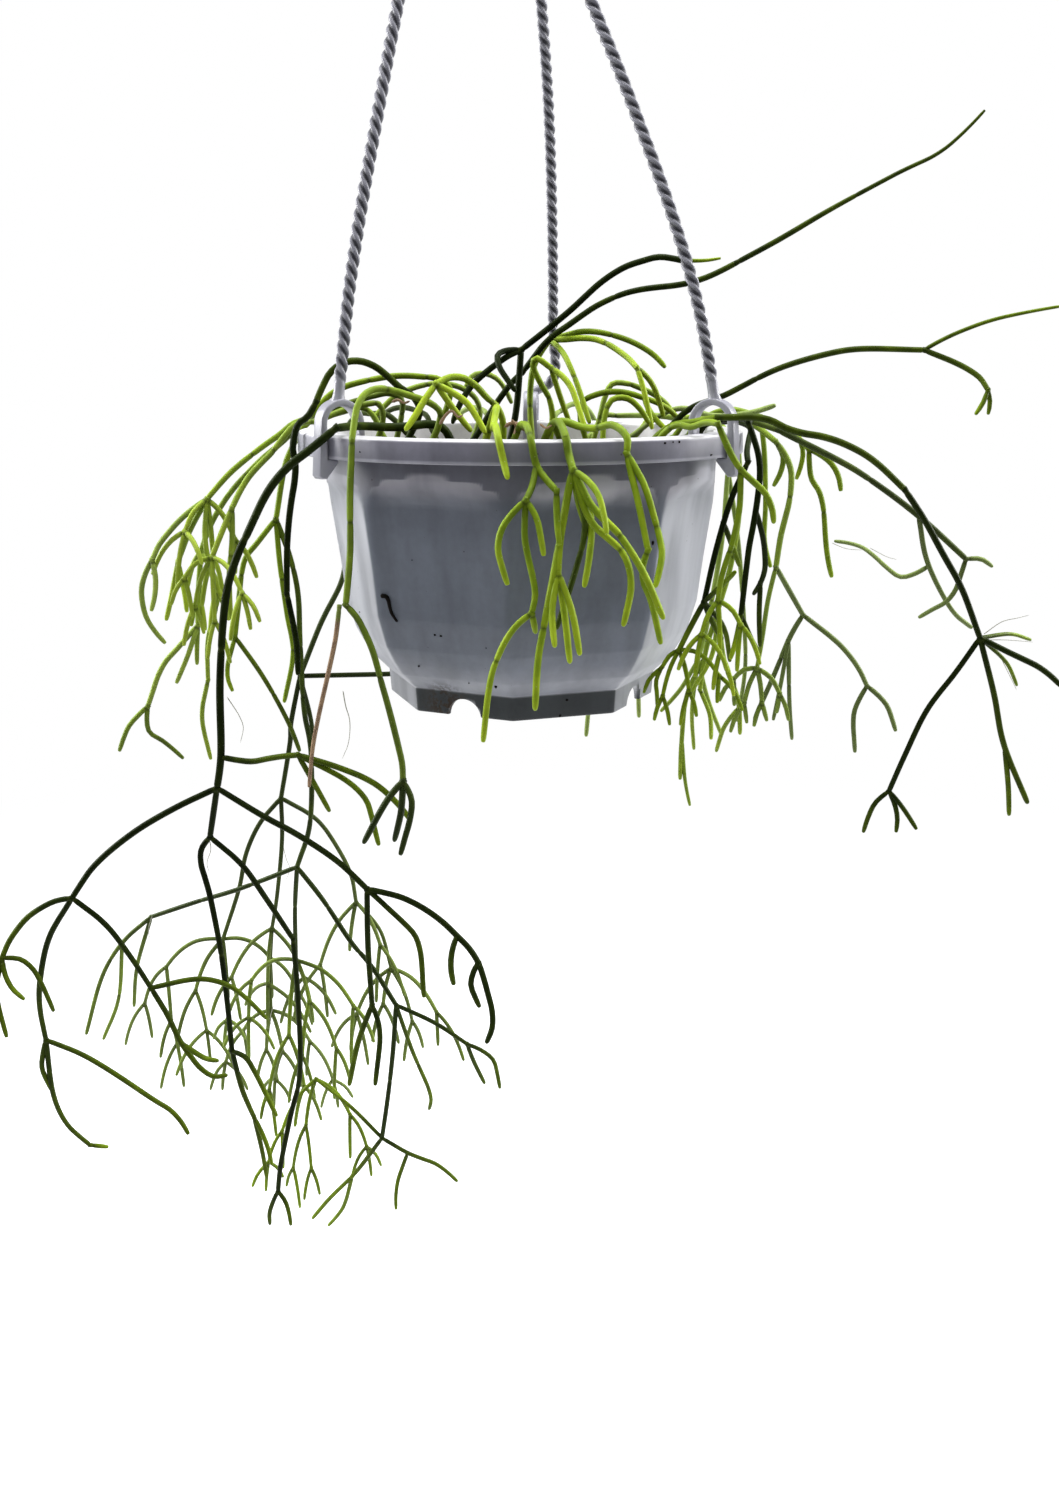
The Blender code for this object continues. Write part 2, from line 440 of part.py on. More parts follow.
        (1.31, 1.26, 112, 116, (366, 470), (374, 540), (392, 610)),
    )),
}

# Sprays of fine forked twigs that a rule grows: the stem, the depth and the place of the twig
# they start on as seen from the front, the first heading (across, down), the number of forks
# one after another, the length of a first twig and its radius
SPRAYS = (
    ("stem_left_back", 80, (223, 939), (-6, 30), 2, 38, 1.15),
    ("stem_left_back", 90, (272, 928), (-4, 30), 1, 38, 1.15),
    ("stem_left_back", 96, (271, 1010), (4, 30), 2, 30, 1.15),
    ("stem_left_back", 96, (356, 902), (-6, 30), 1, 40, 1.15),
    ("stem_left_back", 88, (391, 968), (4, 30), 1, 34, 1.15),
    ("stem_left_d", 40, (296, 960), (4, 30), 2, 36, 1.15),
    ("stem_left_d", 16, (316, 1079), (-10, 30), 2, 28, 1.05),
    ("stem_left_a", -30, (207, 499), (4, 30), 1, 28, 1.2),
    ("stem_left_b", -4, (201, 551), (-2, 30), 1, 26, 1.2),
    ("stem_left_c", -42, (212, 557), (-6, 30), 1, 24, 1.1),
    ("stem_right_dark_b", -46, (679, 650), (0, 30), 1, 22, 1.05),
    ("stem_right_a", -80, (718, 600), (2, 30), 1, 22, 1.1),
    ("stem_right_b", -28, (757, 668), (-4, 30), 1, 18, 1.15),
)
SPRAY_SEED = 7
FORK_TURN = 0.85
TWIG_SHORTENING = 0.85
TWIG_DROOP = 0.5
TWIG_PIECES = 3

# The dry brown shoot hangs from a joint of the front left stem
DRY_SHOOT = (1.0, 0.8, -100, -96, (337, 607), (333, 640), (326, 676), (318, 714), (312, 749),
             (309, 788))
SHOOT_CARRIER = ("stem_front_left", 1)

COLOURS = {
    "pot_plastic": ((0.30, 0.31, 0.36), 0.45),
    "hanger_plastic": ((0.33, 0.33, 0.37), 0.4),
    "soil": ((0.035, 0.022, 0.014), 0.95),
    "old_stem": ((0.035, 0.060, 0.012), 0.5),
    "young_stem": ((0.130, 0.230, 0.020), 0.45),
    "dry_stem": ((0.23, 0.095, 0.045), 0.8),
}


def clear_scene():
    for thing in list(bpy.data.objects):
        bpy.data.objects.remove(thing)


def make_collection(name):
    collection = bpy.data.collections.new(name)
    bpy.context.scene.collection.children.link(collection)
    return collection


def make_material(name):
    colour, roughness = COLOURS[name]
    material = bpy.data.materials.new(name)
    material.use_nodes = True
    shader = material.node_tree.nodes["Principled BSDF"]
    shader.inputs["Base Color"].default_value = (*colour, 1.0)
    shader.inputs["Roughness"].default_value = roughness
    shader.inputs["Metallic"].default_value = 0.0
    return material


def seen(across, down, depth):
    # The point of the pot frame that lies at this place of the front view and at this depth
    cosine = math.cos(EYE_PITCH)
    sine = math.sin(EYE_PITCH)
    rise = (VIEW_CENTRE[1] - down) / VIEW_SCALE
    slide = (across - VIEW_CENTRE[0]) / VIEW_SCALE
    reach = (depth - EYE[1]) / (cosine + rise * sine)
    return np.array((EYE[0] + reach * slide, depth, EYE[2] + reach * (rise * cosine - sine)))


def add_object(name, mesh, collection, material):
    thing = bpy.data.objects.new(name, mesh)
    thing.location = np.array(RIM_CENTRE) * METRE
    thing.data.materials.append(material)
    collection.objects.link(thing)
    return thing


def shade(thing, angle=35.0):
    thing.data.shade_smooth()
    thing.data.set_sharp_from_angle(angle=math.radians(angle))


def corner_share(azimuth):
    # Radius of a regular eight-sided outline at this azimuth, as a share of its corner radius
    offset = (azimuth - CORNER_AZIMUTH) % 45.0 - 22.5
    return math.cos(math.radians(22.5)) / math.cos(math.radians(offset))


def ring(round_radius, corner_radius, height):
    # One section of the pot: the eight-sided outline, cut off by the round one
    points = []
    for index in range(AROUND):
        azimuth = CORNER_AZIMUTH + 360.0 * index / AROUND
        radius = min(round_radius, corner_radius * corner_share(azimuth))
        angle = math.radians(azimuth)
        points.append((radius * math.sin(angle), -radius * math.cos(angle), height))
    return points


def lofted_solid(name, rings, top_centre, bottom_centre):
    # Closed loft through the rings, from the middle of the first to the middle of the last
    shape = bmesh.new()
    rows = [[shape.verts.new(np.array(p) * METRE) for p in points] for points in rings]
    for upper, lower in zip(rows, rows[1:]):
        if upper[0].co.z < lower[0].co.z:
            upper, lower = lower, upper
        for index in range(AROUND):
            after = (index + 1) % AROUND
            shape.faces.new((upper[index], upper[after], lower[after]))
            shape.faces.new((upper[index], lower[after], lower[index]))
    for row, height, turned in ((rows[0], top_centre, True), (rows[-1], bottom_centre, False)):
        centre = shape.verts.new((0.0, 0.0, height * METRE))
        for index in range(AROUND):
            after = (index + 1) % AROUND
            ends = (row[after], row[index]) if turned else (row[index], row[after])
            shape.faces.new((centre, *ends))
    bmesh.ops.recalc_face_normals(shape, faces=shape.faces)
    mesh = bpy.data.meshes.new(name)
    shape.to_mesh(mesh)
    shape.free()
    return mesh


def inner_rings(gap):
    # The pot's inside, or the soil in it with a gap
    rings = []
    for height, round_radius, corner_radius in BODY_SECTIONS:
        if height in INNER_HEIGHTS:
            inset = WALL + gap
            rings.append(ring(round_radius - inset, corner_radius - inset, height))
    rings.append(ring(INNER_FLOOR_RADIUS - gap, INNER_FLOOR_RADIUS - gap, FLOOR_TOP + gap))
    return rings


def cutter_cylinder(name, collection, sides, radius, length, centre, direction):
    bpy.ops.mesh.primitive_cylinder_add(vertices=sides, radius=radius * METRE, depth=length * METRE)
    cutter = bpy.context.object
    cutter.name = name
    for other in list(cutter.users_collection):
        other.objects.unlink(cutter)
    collection.objects.link(cutter)
    cutter.rotation_euler = (direction[0], direction[1], direction[2])
    cutter.location = (np.array(centre) + np.array(RIM_CENTRE)) * METRE
    cutter.hide_render = True
    cutter.display_type = "WIRE"
    return cutter


def cut_with(thing, collection):
    cut = thing.modifiers.new("cut", "BOOLEAN")
    cut.operation = "DIFFERENCE"
    cut.operand_type = "COLLECTION"
    cut.collection = collection
    cut.solver = "EXACT"


def build_pot(collection, cutters, material):
    skirt_foot = RIM_RADIUS + SKIRT_FLARE
    neck_height, neck_radius, _ = BODY_SECTIONS[0]
    rings = [
        ring(neck_radius - WALL, WHOLE, neck_height),
        ring(RIM_INNER_RADIUS, WHOLE, -LIP_ROUNDING),
        ring(RIM_INNER_RADIUS + LIP_ROUNDING, WHOLE, 0.0),
        ring(RIM_RADIUS - LIP_ROUNDING, WHOLE, 0.0),
        ring(RIM_RADIUS, WHOLE, -LIP_ROUNDING),
        ring(skirt_foot, WHOLE, -SKIRT_DEPTH),
        ring(skirt_foot - SKIRT_THICKNESS, WHOLE, -SKIRT_DEPTH),
        ring(RIM_RADIUS - SKIRT_THICKNESS, WHOLE, -SKIRT_THICKNESS),
        ring(neck_radius + LIP_ROUNDING, WHOLE, -SKIRT_THICKNESS),
    ]
    for height, round_radius, corner_radius in BODY_SECTIONS:
        rings.append(ring(round_radius, corner_radius, height))
    foot_inner = FOOT_BOTTOM_RADIUS - FOOT_WALL
    rings.append(ring(WHOLE, FOOT_TOP_RADIUS, BODY_SECTIONS[-1][0] - 0.4))
    rings.append(ring(WHOLE, FOOT_BOTTOM_RADIUS, -POT_HEIGHT))
    rings.append(ring(WHOLE, foot_inner, -POT_HEIGHT))
    rings.append(ring(WHOLE, foot_inner + 0.4, FLOOR_UNDERSIDE))
    inside = list(reversed(inner_rings(0.0)))
    mesh = lofted_solid("pot", inside + rings, FLOOR_TOP, FLOOR_UNDERSIDE)
    pot = add_object("pot", mesh, collection, material)
    shade(pot, 30.0)
    for index, azimuth in enumerate(NOTCH_AZIMUTHS):
        angle = math.radians(azimuth)
        reach = FOOT_BOTTOM_RADIUS - 3.0
        centre = (reach * math.sin(angle), -reach * math.cos(angle), -POT_HEIGHT - 0.4)
        turn = (math.radians(90.0), 0.0, angle)
        cutter_cylinder(f"notch_cutter_{index}", cutters, 16, NOTCH_RADIUS, 20.0, centre, turn)
    middle = (FLOOR_TOP + FLOOR_UNDERSIDE) / 2.0
    for index in range(4):
        angle = math.radians(90.0 * index + 20.0)
        centre = (DRAIN_CIRCLE_RADIUS * math.sin(angle), -DRAIN_CIRCLE_RADIUS * math.cos(angle), middle)
        cutter_cylinder(f"drain_cutter_{index}", cutters, 10, DRAIN_HOLE_RADIUS, 12.0, centre, (0, 0, 0))
    cut_with(pot, cutters)
    return pot


def build_soil(collection, cutters, material, feet):
    rings = [ring(SOIL_TOP_RADIUS, WHOLE, SOIL_TOP)] + inner_rings(FIT_GAP)
    mesh = lofted_solid("soil", rings, SOIL_TOP, FLOOR_TOP + FIT_GAP)
    soil = add_object("soil", mesh, collection, material)
    shade(soil, 30.0)
    for index, (x, y, radius) in enumerate(feet):
        wide = (radius + FIT_GAP) / math.cos(math.pi / HOLE_SIDES)
        centre = (x, y, SOIL_TOP)
        length = 2.0 * (HOLE_DEPTH + FIT_GAP)
        cutter_cylinder(f"soil_cutter_{index}", cutters, HOLE_SIDES, wide, length, centre, (0, 0, 0))
    cut_with(soil, cutters)
    return soil


def smooth_route(points, step):
    # Catmull-Rom curve through the points, read at even steps
    points = np.asarray(points, float)
    if len(points) == 2:
        fine = points[0] + np.linspace(0.0, 1.0, 9)[:, None] * (points[1] - points[0])
    else:
        ends = np.vstack((2 * points[0] - points[1], points, 2 * points[-1] - points[-2]))
        share = np.linspace(0.0, 1.0, 13)[:-1, None]
        pieces = []
        for a, b, c, d in zip(ends, ends[1:], ends[2:], ends[3:]):
            pieces.append(0.5 * (2 * b + (c - a) * share + (2 * a - 5 * b + 4 * c - d) * share**2
                                 + (3 * b - a - 3 * c + d) * share**3))
        fine = np.vstack((*pieces, points[-1]))
    run = np.r_[0.0, np.cumsum(np.linalg.norm(np.diff(fine, axis=0), axis=1))]
    count = max(2, round(run[-1] / step) + 1)
    at = np.linspace(0.0, run[-1], count)
    return np.stack([np.interp(at, run, fine[:, axis]) for axis in range(3)], axis=1)


def run_points(run):
    depths = np.linspace(run[2], run[3], len(run) - 4)
    return [seen(u, v, depth) for (u, v), depth in zip(run[4:], depths)]


def grow_spray(place, heading, forks, length, radius, seed):
    # Twigs that fork again and again: each leans outward, then bends down under its weight
    random = np.random.RandomState(seed)
    grown = []
    tips = [(np.asarray(place, float), np.asarray(heading, float), length, radius)]
    for level in range(forks + 1):
        following = []
        for start, aim, size, thickness in tips:
            count = 2 if level else 3
            count += int(random.rand() < 0.3)
            for index in range(count):
                turn = FORK_TURN * (index - (count - 1) / 2.0) * (0.7 + 0.6 * random.rand())
                swing = math.pi * (random.rand() - 0.5) * 0.5
                side = np.array((math.cos(swing), math.sin(swing), 0.0))
                way = aim * math.cos(turn) + side * math.sin(turn)
                way /= np.linalg.norm(way)
                reach = size * (0.7 + 0.6 * random.rand()) / TWIG_PIECES
                route = [start]
                for _ in range(TWIG_PIECES):
                    route.append(route[-1] + way * reach)
                    way = way + np.array((0.0, 0.0, -TWIG_DROOP))
                    way /= np.linalg.norm(way)
                grown.append((thickness, thickness * 0.9, route))
                following.append((route[-1], way, size * TWIG_SHORTENING, thickness * 0.95))
        keep = 0.9 if level == 0 else 0.6
        tips = [tip for tip in following if random.rand() < keep]
    return grown


def lay_out_stems():
    # All runs as rows of point numbers, so that runs that meet share the point they meet in
    points = []
    runs = []
    names = list(STEMS) + ["dry_shoot"]

    def add_run(owner, route, first_radius, last_radius, joins):
        if joins:
            mine = [number for row in runs if row["owner"] == owner for number in row["points"]]
            near = np.linalg.norm(np.array([points[n] for n in mine]) - route[0], axis=1)
            numbers = [mine[int(near.argmin())]]
            route = route + (points[numbers[0]] - route[0]) * np.linspace(1, 0, len(route))[:, None]
        else:
            numbers = [len(points)]
            points.append(route[0])
        for point in route[1:]:
            numbers.append(len(points))
            points.append(point)
        radii = np.linspace(first_radius, last_radius, len(numbers))
        runs.append({"owner": owner, "points": numbers, "radii": radii, "rooted": not joins})

    for owner, name in enumerate(names[:-1]):
        _, base, table = STEMS[name]
        for number, run in enumerate(table):
            route = run_points(run)
            if number == 0:
                foot = [np.array((*base, SOIL_TOP - HOLE_DEPTH)), np.array((*base, SOIL_TOP + STRAIGHT_FOOT))]
                upper = smooth_route([foot[1] + (0, 0, 0.01), *route], ROUTE_STEP)
                route = np.vstack((foot[0], upper))
            else:
                route = smooth_route(route, ROUTE_STEP)
            add_run(owner, route, run[0], run[1], number > 0)
    for number, (name, depth, place, heading, forks, length, radius) in enumerate(SPRAYS):
        start = seen(*place, depth)
        aim = seen(place[0] + heading[0], place[1] + heading[1], depth) - start
        aim /= np.linalg.norm(aim)
        for first, last, route in grow_spray(start, aim, forks, length, radius, SPRAY_SEED + number):
            add_run(names.index(name), smooth_route(route, ROUTE_STEP), first, last, True)
    shoot = smooth_route(run_points(DRY_SHOOT), ROUTE_STEP)
    add_run(len(names) - 1, shoot, DRY_SHOOT[0], DRY_SHOOT[1], False)
    return np.array(points), runs, names


def leg_route(azimuth, view):
    # The rod bows outward: its depth falls from the clip's to the hub's along a curve
    angle = math.radians(azimuth)
    clip_radius = (RIM_INNER_RADIUS + RIM_RADIUS) / 2.0
    clip = np.array((clip_radius * math.sin(angle), -clip_radius * math.cos(angle)))
    hub = np.array(HUB_IN_POT_FRAME)
    way = np.array((math.sin(angle), -math.cos(angle)))
    top = np.array((*(hub[:2] + way * LEG_CIRCLE_RADIUS), hub[2] - FIT_GAP))
    route = [np.array((*clip, CLIP_ARCH_HEIGHT + 11.0))]
    lowest, highest = view[0][1], -250.0
    for across, down in view:
        share = (lowest - down) / (lowest - highest)
        depth = clip[1] + (top[1] - clip[1]) * (1.0 - (1.0 - share) * (1.0 + LEG_BOW * share))
        route.append(seen(across, down, depth))
    route.append(top - (0, 0, 7.0))
    return np.vstack((smooth_route(route, ROD_STEP), top))


def clip_outline():
    # Outline of a clip in its upright plane: distance from the pot's axis, and height
    inside_face = RIM_INNER_RADIUS - 1.3
    outside_face = RIM_RADIUS + SKIRT_FLARE + FIT_GAP
    middle = (inside_face + outside_face) / 2.0
    inner = (outside_face - inside_face) / 2.0
    outer = inner + CLIP_THICKNESS
    angles = [math.radians(180.0 - 22.5 * step) for step in range(9)]
    outline = [(inside_face - CLIP_THICKNESS, SOIL_TOP + 2.5)]
    outline += [(middle + outer * math.cos(a), CLIP_ARCH_HEIGHT + outer * math.sin(a)) for a in angles]
    outline.append((outside_face + CLIP_THICKNESS + 1.8, CLIP_TOE + 1.5))
    outline.append((outside_face + CLIP_THICKNESS + 0.6, CLIP_TOE))
    outline.append((outside_face + 1.0, CLIP_TOE))
    outline.append((outside_face - 5.2, -SKIRT_DEPTH - 1.6))
    outline.append((outside_face - 4.6, -SKIRT_DEPTH - FIT_GAP))
    outline.append((outside_face + 0.3, -SKIRT_DEPTH - FIT_GAP))
    outline += [(middle + inner * math.cos(a), CLIP_ARCH_HEIGHT + inner * math.sin(a))
                for a in reversed(angles)]
    outline.append((inside_face, SOIL_TOP + 2.5))
    return outline


def clip_line(azimuth):
    # Points along a clip's band, which stems keep clear of
    angle = math.radians(azimuth)
    out = [(93.4, -11.0), (93.4, 5.0), (96.0, 12.0), (103.0, 15.5), (110.0, 12.0), (112.4, 5.0),
           (113.0, -8.0), (114.0, -18.0)]
    return np.array([(r * math.sin(angle), -r * math.cos(angle), z) for r, z in out])


def rim_lines():
    # The rim's outer and inner corner and the skirt's foot, which stems pass around
    turn = np.radians(np.linspace(0.0, 360.0, 49))
    lines = []
    for reach, height, thick in ((108.6, -1.4, 1.6), (109.3, -9.0, 1.3), (97.2, -1.5, 1.6)):
        line = np.stack((reach * np.sin(turn), -reach * np.cos(turn), np.full(len(turn), height)), 1)
        lines.append((line, thick))
    return lines


def nearest_on_segments(a, b, c, d):
    # Nearest points of segments ab and cd, all rows at once
    u, v, w = b - a, d - c, a - c
    uu, uv, vv = (u * u).sum(1), (u * v).sum(1), (v * v).sum(1)
    uw, vw = (u * w).sum(1), (v * w).sum(1)
    cross = uu * vv - uv * uv
    s = np.where(cross > 1e-9, (uv * vw - vv * uw) / np.maximum(cross, 1e-9), 0.0)
    s = np.clip(s, 0.0, 1.0)
    t = np.clip((uv * s + vw) / np.maximum(vv, 1e-9), 0.0, 1.0)
    s = np.clip((uv * t - uw) / np.maximum(uu, 1e-9), 0.0, 1.0)
    return s, t, a + u * s[:, None] - c - v * t[:, None]


def pot_radius(height):
    table = [(-140.0, 60.0), (-POT_HEIGHT, 69.0)]
    table += [(h, r) for h, r, _ in reversed(BODY_SECTIONS)]
    table += [(-9.0, RIM_RADIUS + SKIRT_FLARE), (60.0, RIM_RADIUS + SKIRT_FLARE)]
    heights, radii = zip(*table)
    outer = np.interp(height, heights, radii)
    return np.where(height > -SKIRT_DEPTH - 1.0, RIM_RADIUS + 0.5, outer)


def push_off_pot(points, radii):
    # Stems stay outside the pot's wall, above its rim and above the soil
    reach = np.hypot(points[:, 0], points[:, 1])
    height = points[:, 2]
    room = radii + STEM_GAP
    moved = points.copy()
    outward = points[:, :2] / np.maximum(reach, 1e-6)[:, None]
    wall = pot_radius(height) + room
    beside = (height < room) & (height > -POT_HEIGHT - 4.0)
    beside &= (reach > 100.0 * (height > -40.0)) & (reach < wall)
    drop = room - height
    over = beside & (drop < wall - reach) & (height > -8.0)
    moved[over, 2] += drop[over]
    out = beside & ~over & ((reach > 100.0) | (height < -30.0))
    moved[out, :2] += outward[out] * (wall - reach)[out, None]
    inside_limit = RIM_INNER_RADIUS - 1.0 - room
    inner = (reach <= 100.0) & (height < room) & (height > -30.0)
    lift = inner & (reach > inside_limit) & (height > -6.0)
    moved[lift, 2] += (room - height)[lift]
    inward = inner & (reach > inside_limit) & (height <= -6.0)
    moved[inward, :2] -= outward[inward] * (reach - inside_limit)[inward, None]
    low = inner & (reach <= inside_limit) & (height < SOIL_TOP + room)
    moved[low, 2] = (SOIL_TOP + room)[low]
    return moved


def bend_clear(points, runs, fixed_lines):
    # Bends stems of different nodes away from each other and from the pot, the clips and rods
    points = points.copy()
    start = points.copy()
    radius = np.zeros(len(points))
    for run in runs:
        radius[run["points"]] = np.maximum(radius[run["points"]], run["radii"])
    feet = {run["points"][0]: run["points"][1] for run in runs if run["rooted"] and len(run["points"]) > 3}
    feet.pop(runs[-1]["points"][0], None)
    foot_low = np.array(list(feet.keys()))
    foot_high = np.array(list(feet.values()))
    first = np.concatenate([run["points"][:-1] for run in runs])
    second = np.concatenate([run["points"][1:] for run in runs])
    owner = np.concatenate([[run["owner"]] * (len(run["points"]) - 1) for run in runs])
    thick = np.concatenate([np.maximum(run["radii"][:-1], run["radii"][1:]) for run in runs])
    fixed_a = np.concatenate([line[:-1] for line, _ in fixed_lines])
    fixed_b = np.concatenate([line[1:] for line, _ in fixed_lines])
    fixed_r = np.concatenate([[r] * (len(line) - 1) for line, r in fixed_lines])
    free = np.ones(len(points))
    free[foot_low] = 0.0
    for turn in range(BEND_ROUNDS):
        a, b = points[first], points[second]
        if turn % PAIRING_ROUNDS == 0:
            middle = (a + b) / 2.0
            size = np.linalg.norm(b - a, axis=1) / 2.0 + thick + (STEM_GAP + PAIRING_MARGIN) / 2.0
            near = np.linalg.norm(middle[:, None] - middle[None], axis=2) < size[:, None] + size[None]
            pairs = np.nonzero(near & (owner[:, None] < owner[None]))
            fixed_middle = (fixed_a + fixed_b) / 2.0
            fixed_size = np.linalg.norm(fixed_b - fixed_a, axis=1) / 2.0 + fixed_r
            away = np.linalg.norm(middle[:, None] - fixed_middle[None], axis=2)
            fixed_pairs = np.nonzero(away < size[:, None] + fixed_size[None])
        push = np.zeros_like(points)
        weight = np.zeros(len(points))
        i, j = pairs
        s, t, gap = nearest_on_segments(a[i], b[i], a[j], b[j])
        length = np.linalg.norm(gap, axis=1)
        lack = thick[i] + thick[j] + STEM_GAP - length
        hit = lack > 0.0
        i, j, s, t, gap, length, lack = (x[hit] for x in (i, j, s, t, gap, length, lack))
        way = gap / np.maximum(length, 1e-6)[:, None] + np.array((0.0, 1e-3, 0.0))
        way = way * np.array((1.0, 2.5, 1.0))
        way /= np.linalg.norm(way, axis=1)[:, None]
        step = way * (lack * 0.5)[:, None]
        for rows, share, sign in ((i, s, 1.0), (j, t, -1.0)):
            np.add.at(push, first[rows], sign * step * (1.0 - share)[:, None])
            np.add.at(push, second[rows], sign * step * share[:, None])
            np.add.at(weight, first[rows], 1.0 - share)
            np.add.at(weight, second[rows], share)
        i, j = fixed_pairs
        s, t, gap = nearest_on_segments(a[i], b[i], fixed_a[j], fixed_b[j])
        length = np.linalg.norm(gap, axis=1)
        lack = thick[i] + fixed_r[j] + STEM_GAP - length
        hit = lack > 0.0
        i, s, gap, length, lack = (x[hit] for x in (i, s, gap, length, lack))
        step = gap / np.maximum(length, 1e-6)[:, None] * lack[:, None]
        np.add.at(push, first[i], step * (1.0 - s)[:, None])
        np.add.at(push, second[i], step * s[:, None])
        np.add.at(weight, first[i], 1.0 - s)
        np.add.at(weight, second[i], s)
        push /= np.maximum(weight, 1.0)[:, None]
        spread = np.zeros_like(points)
        count = np.zeros(len(points))
        for run in runs:
            rows = np.array(run["points"])
            mine = push[rows]
            if len(rows) > 2:
                softened = mine.copy()
                softened[1:] += 0.5 * mine[:-1]
                softened[:-1] += 0.5 * mine[1:]
                mine = softened
            spread[rows] += mine
            count[rows] += 1.0
        points += spread / np.maximum(count, 1.0)[:, None] * free[:, None]
        points += (start - points) * 0.01 * free[:, None]
        above = free > 0.0
        points[above] = push_off_pot(points[above], radius[above])
        points[foot_low, :2] = points[foot_high, :2]
        points[foot_high, 2] = SOIL_TOP + STRAIGHT_FOOT
    return points


def seat_shoot(points, runs, names):
    # The dry shoot's upper end lies beside the joint that it grew from
    name, number = SHOOT_CARRIER
    carrier = [run for run in runs if run["owner"] == names.index(name)][number]
    shoot = runs[-1]
    beside = carrier["radii"][-1] + shoot["radii"][0] + FIT_GAP
    shift = points[carrier["points"][-1]] - (beside, 0.0, 0.0) - points[shoot["points"][0]]
    share = np.linspace(1.0, 0.0, len(shoot["points"]))[:, None]
    points[shoot["points"]] += shift * share


def thin_out(points, radii, tolerance):
    # Keeps only the points that the shape needs, to within the tolerance
    keep = np.zeros(len(points), bool)
    keep[[0, -1]] = True
    stack = [(0, len(points) - 1)]
    while stack:
        low, high = stack.pop()
        if high - low < 2:
            continue
        line = points[high] - points[low]
        line /= max(np.linalg.norm(line), 1e-9)
        offset = points[low + 1:high] - points[low]
        away = np.linalg.norm(offset - (offset @ line)[:, None] * line, axis=1)
        worst = int(away.argmax())
        if away[worst] > tolerance:
            keep[low + 1 + worst] = True
            stack.append((low, low + 1 + worst))
            stack.append((low + 1 + worst, high))
    return points[keep], radii[keep]


def curve_tube(name, points, radii, resolution):
    # A tube with a radius at each point, as a closed mesh
    data = bpy.data.curves.new(name, "CURVE")
    data.dimensions = "3D"
    data.bevel_depth = METRE
    data.bevel_resolution = resolution
    data.use_fill_caps = True
    spline = data.splines.new("POLY")
    spline.points.add(len(points) - 1)
    for knot, point, radius in zip(spline.points, points, radii):
        knot.co = (*(np.array(point) * METRE), 1.0)
        knot.radius = radius
    return mesh_of_curve(name, data)


def mesh_of_curve(name, data):
    guide = bpy.data.objects.new(name, data)
    bpy.context.scene.collection.objects.link(guide)
    bpy.context.view_layer.update()
    evaluated = guide.evaluated_get(bpy.context.evaluated_depsgraph_get())
    mesh = bpy.data.meshes.new_from_object(evaluated)
    bpy.data.objects.remove(guide)
    bpy.data.curves.remove(data)
    shape = bmesh.new()
    shape.from_mesh(mesh)
    bmesh.ops.remove_doubles(shape, verts=shape.verts, dist=1e-6)
    bmesh.ops.recalc_face_normals(shape, faces=shape.faces)
    shape.to_mesh(mesh)
    shape.free()
    mesh.name = name
    return mesh


def join_solids(name, meshes, solver="EXACT"):
    # One Boolean union of all the meshes, as one mesh
    if len(meshes) == 1:
        return meshes[0]
    group = bpy.data.collections.new(name + "_joined")
    bpy.context.scene.collection.children.link(group)
    first = bpy.data.objects.new(name + "_first", meshes[0])
    bpy.context.scene.collection.objects.link(first)
    for number, mesh in enumerate(meshes[1:]):
        group.objects.link(bpy.data.objects.new(f"{name}_{number}", mesh))
    union = first.modifiers.new("union", "BOOLEAN")
    union.operation = "UNION"
    union.operand_type = "COLLECTION"
    union.collection = group
    union.solver = solver
    bpy.context.view_layer.update()
    evaluated = first.evaluated_get(bpy.context.evaluated_depsgraph_get())
    joined = bpy.data.meshes.new_from_object(evaluated)
    for thing in [*group.objects, first]:
        bpy.data.objects.remove(thing)
    bpy.data.collections.remove(group)
    return largest_body(name, joined)


def largest_body(name, mesh):
    # Keeps the biggest connected body, so that no loose scrap stays
    shape = bmesh.new()
    shape.from_mesh(mesh)
    left = set(shape.faces)
    bodies = []
    while left:
        stack = [next(iter(left))]
        left.discard(stack[0])
        body = []
        while stack:
            face = stack.pop()
            body.append(face)
            for edge in face.edges:
                for other in edge.link_faces:
                    if other in left:
                        left.discard(other)
                        stack.append(other)
        bodies.append(body)
    bodies.sort(key=len, reverse=True)
    for body in bodies[1:]:
        bmesh.ops.delete(shape, geom=body, context="FACES")
    cleaned = bpy.data.meshes.new(name)
    shape.to_mesh(cleaned)
    shape.free()
    return cleaned


def stem_tube(name, run, points, ends_free):
    route = points[run["points"]]
    radii = np.array(run["radii"])
    if run["rooted"]:
        upper, upper_radii = thin_out(route[1:], radii[1:], THINNING)
        route = np.vstack((route[0], upper))
        radii = np.r_[radii[0], upper_radii]
    else:
        route, radii = thin_out(route, radii, THINNING)
        back = route[1] - route[0]
        back /= np.linalg.norm(back)
        route = np.vstack((route[0] - back * radii[0] * 0.8, route[1:]))
    if ends_free:
        last = route[-1] - route[-2]
        length = np.linalg.norm(last)
        last /= length
        if radii[-1] > BLUNT_FROM:
            shoulder = min(radii[-1], length * 0.4)
            route = np.vstack((route[:-1], route[-1] - last * shoulder, route[-1]))
            radii = np.r_[radii, radii[-1]]
        radii[-1] *= 0.55
    return curve_tube(name, route, radii, 1 if radii[0] > SIX_SIDED_FROM else 0)


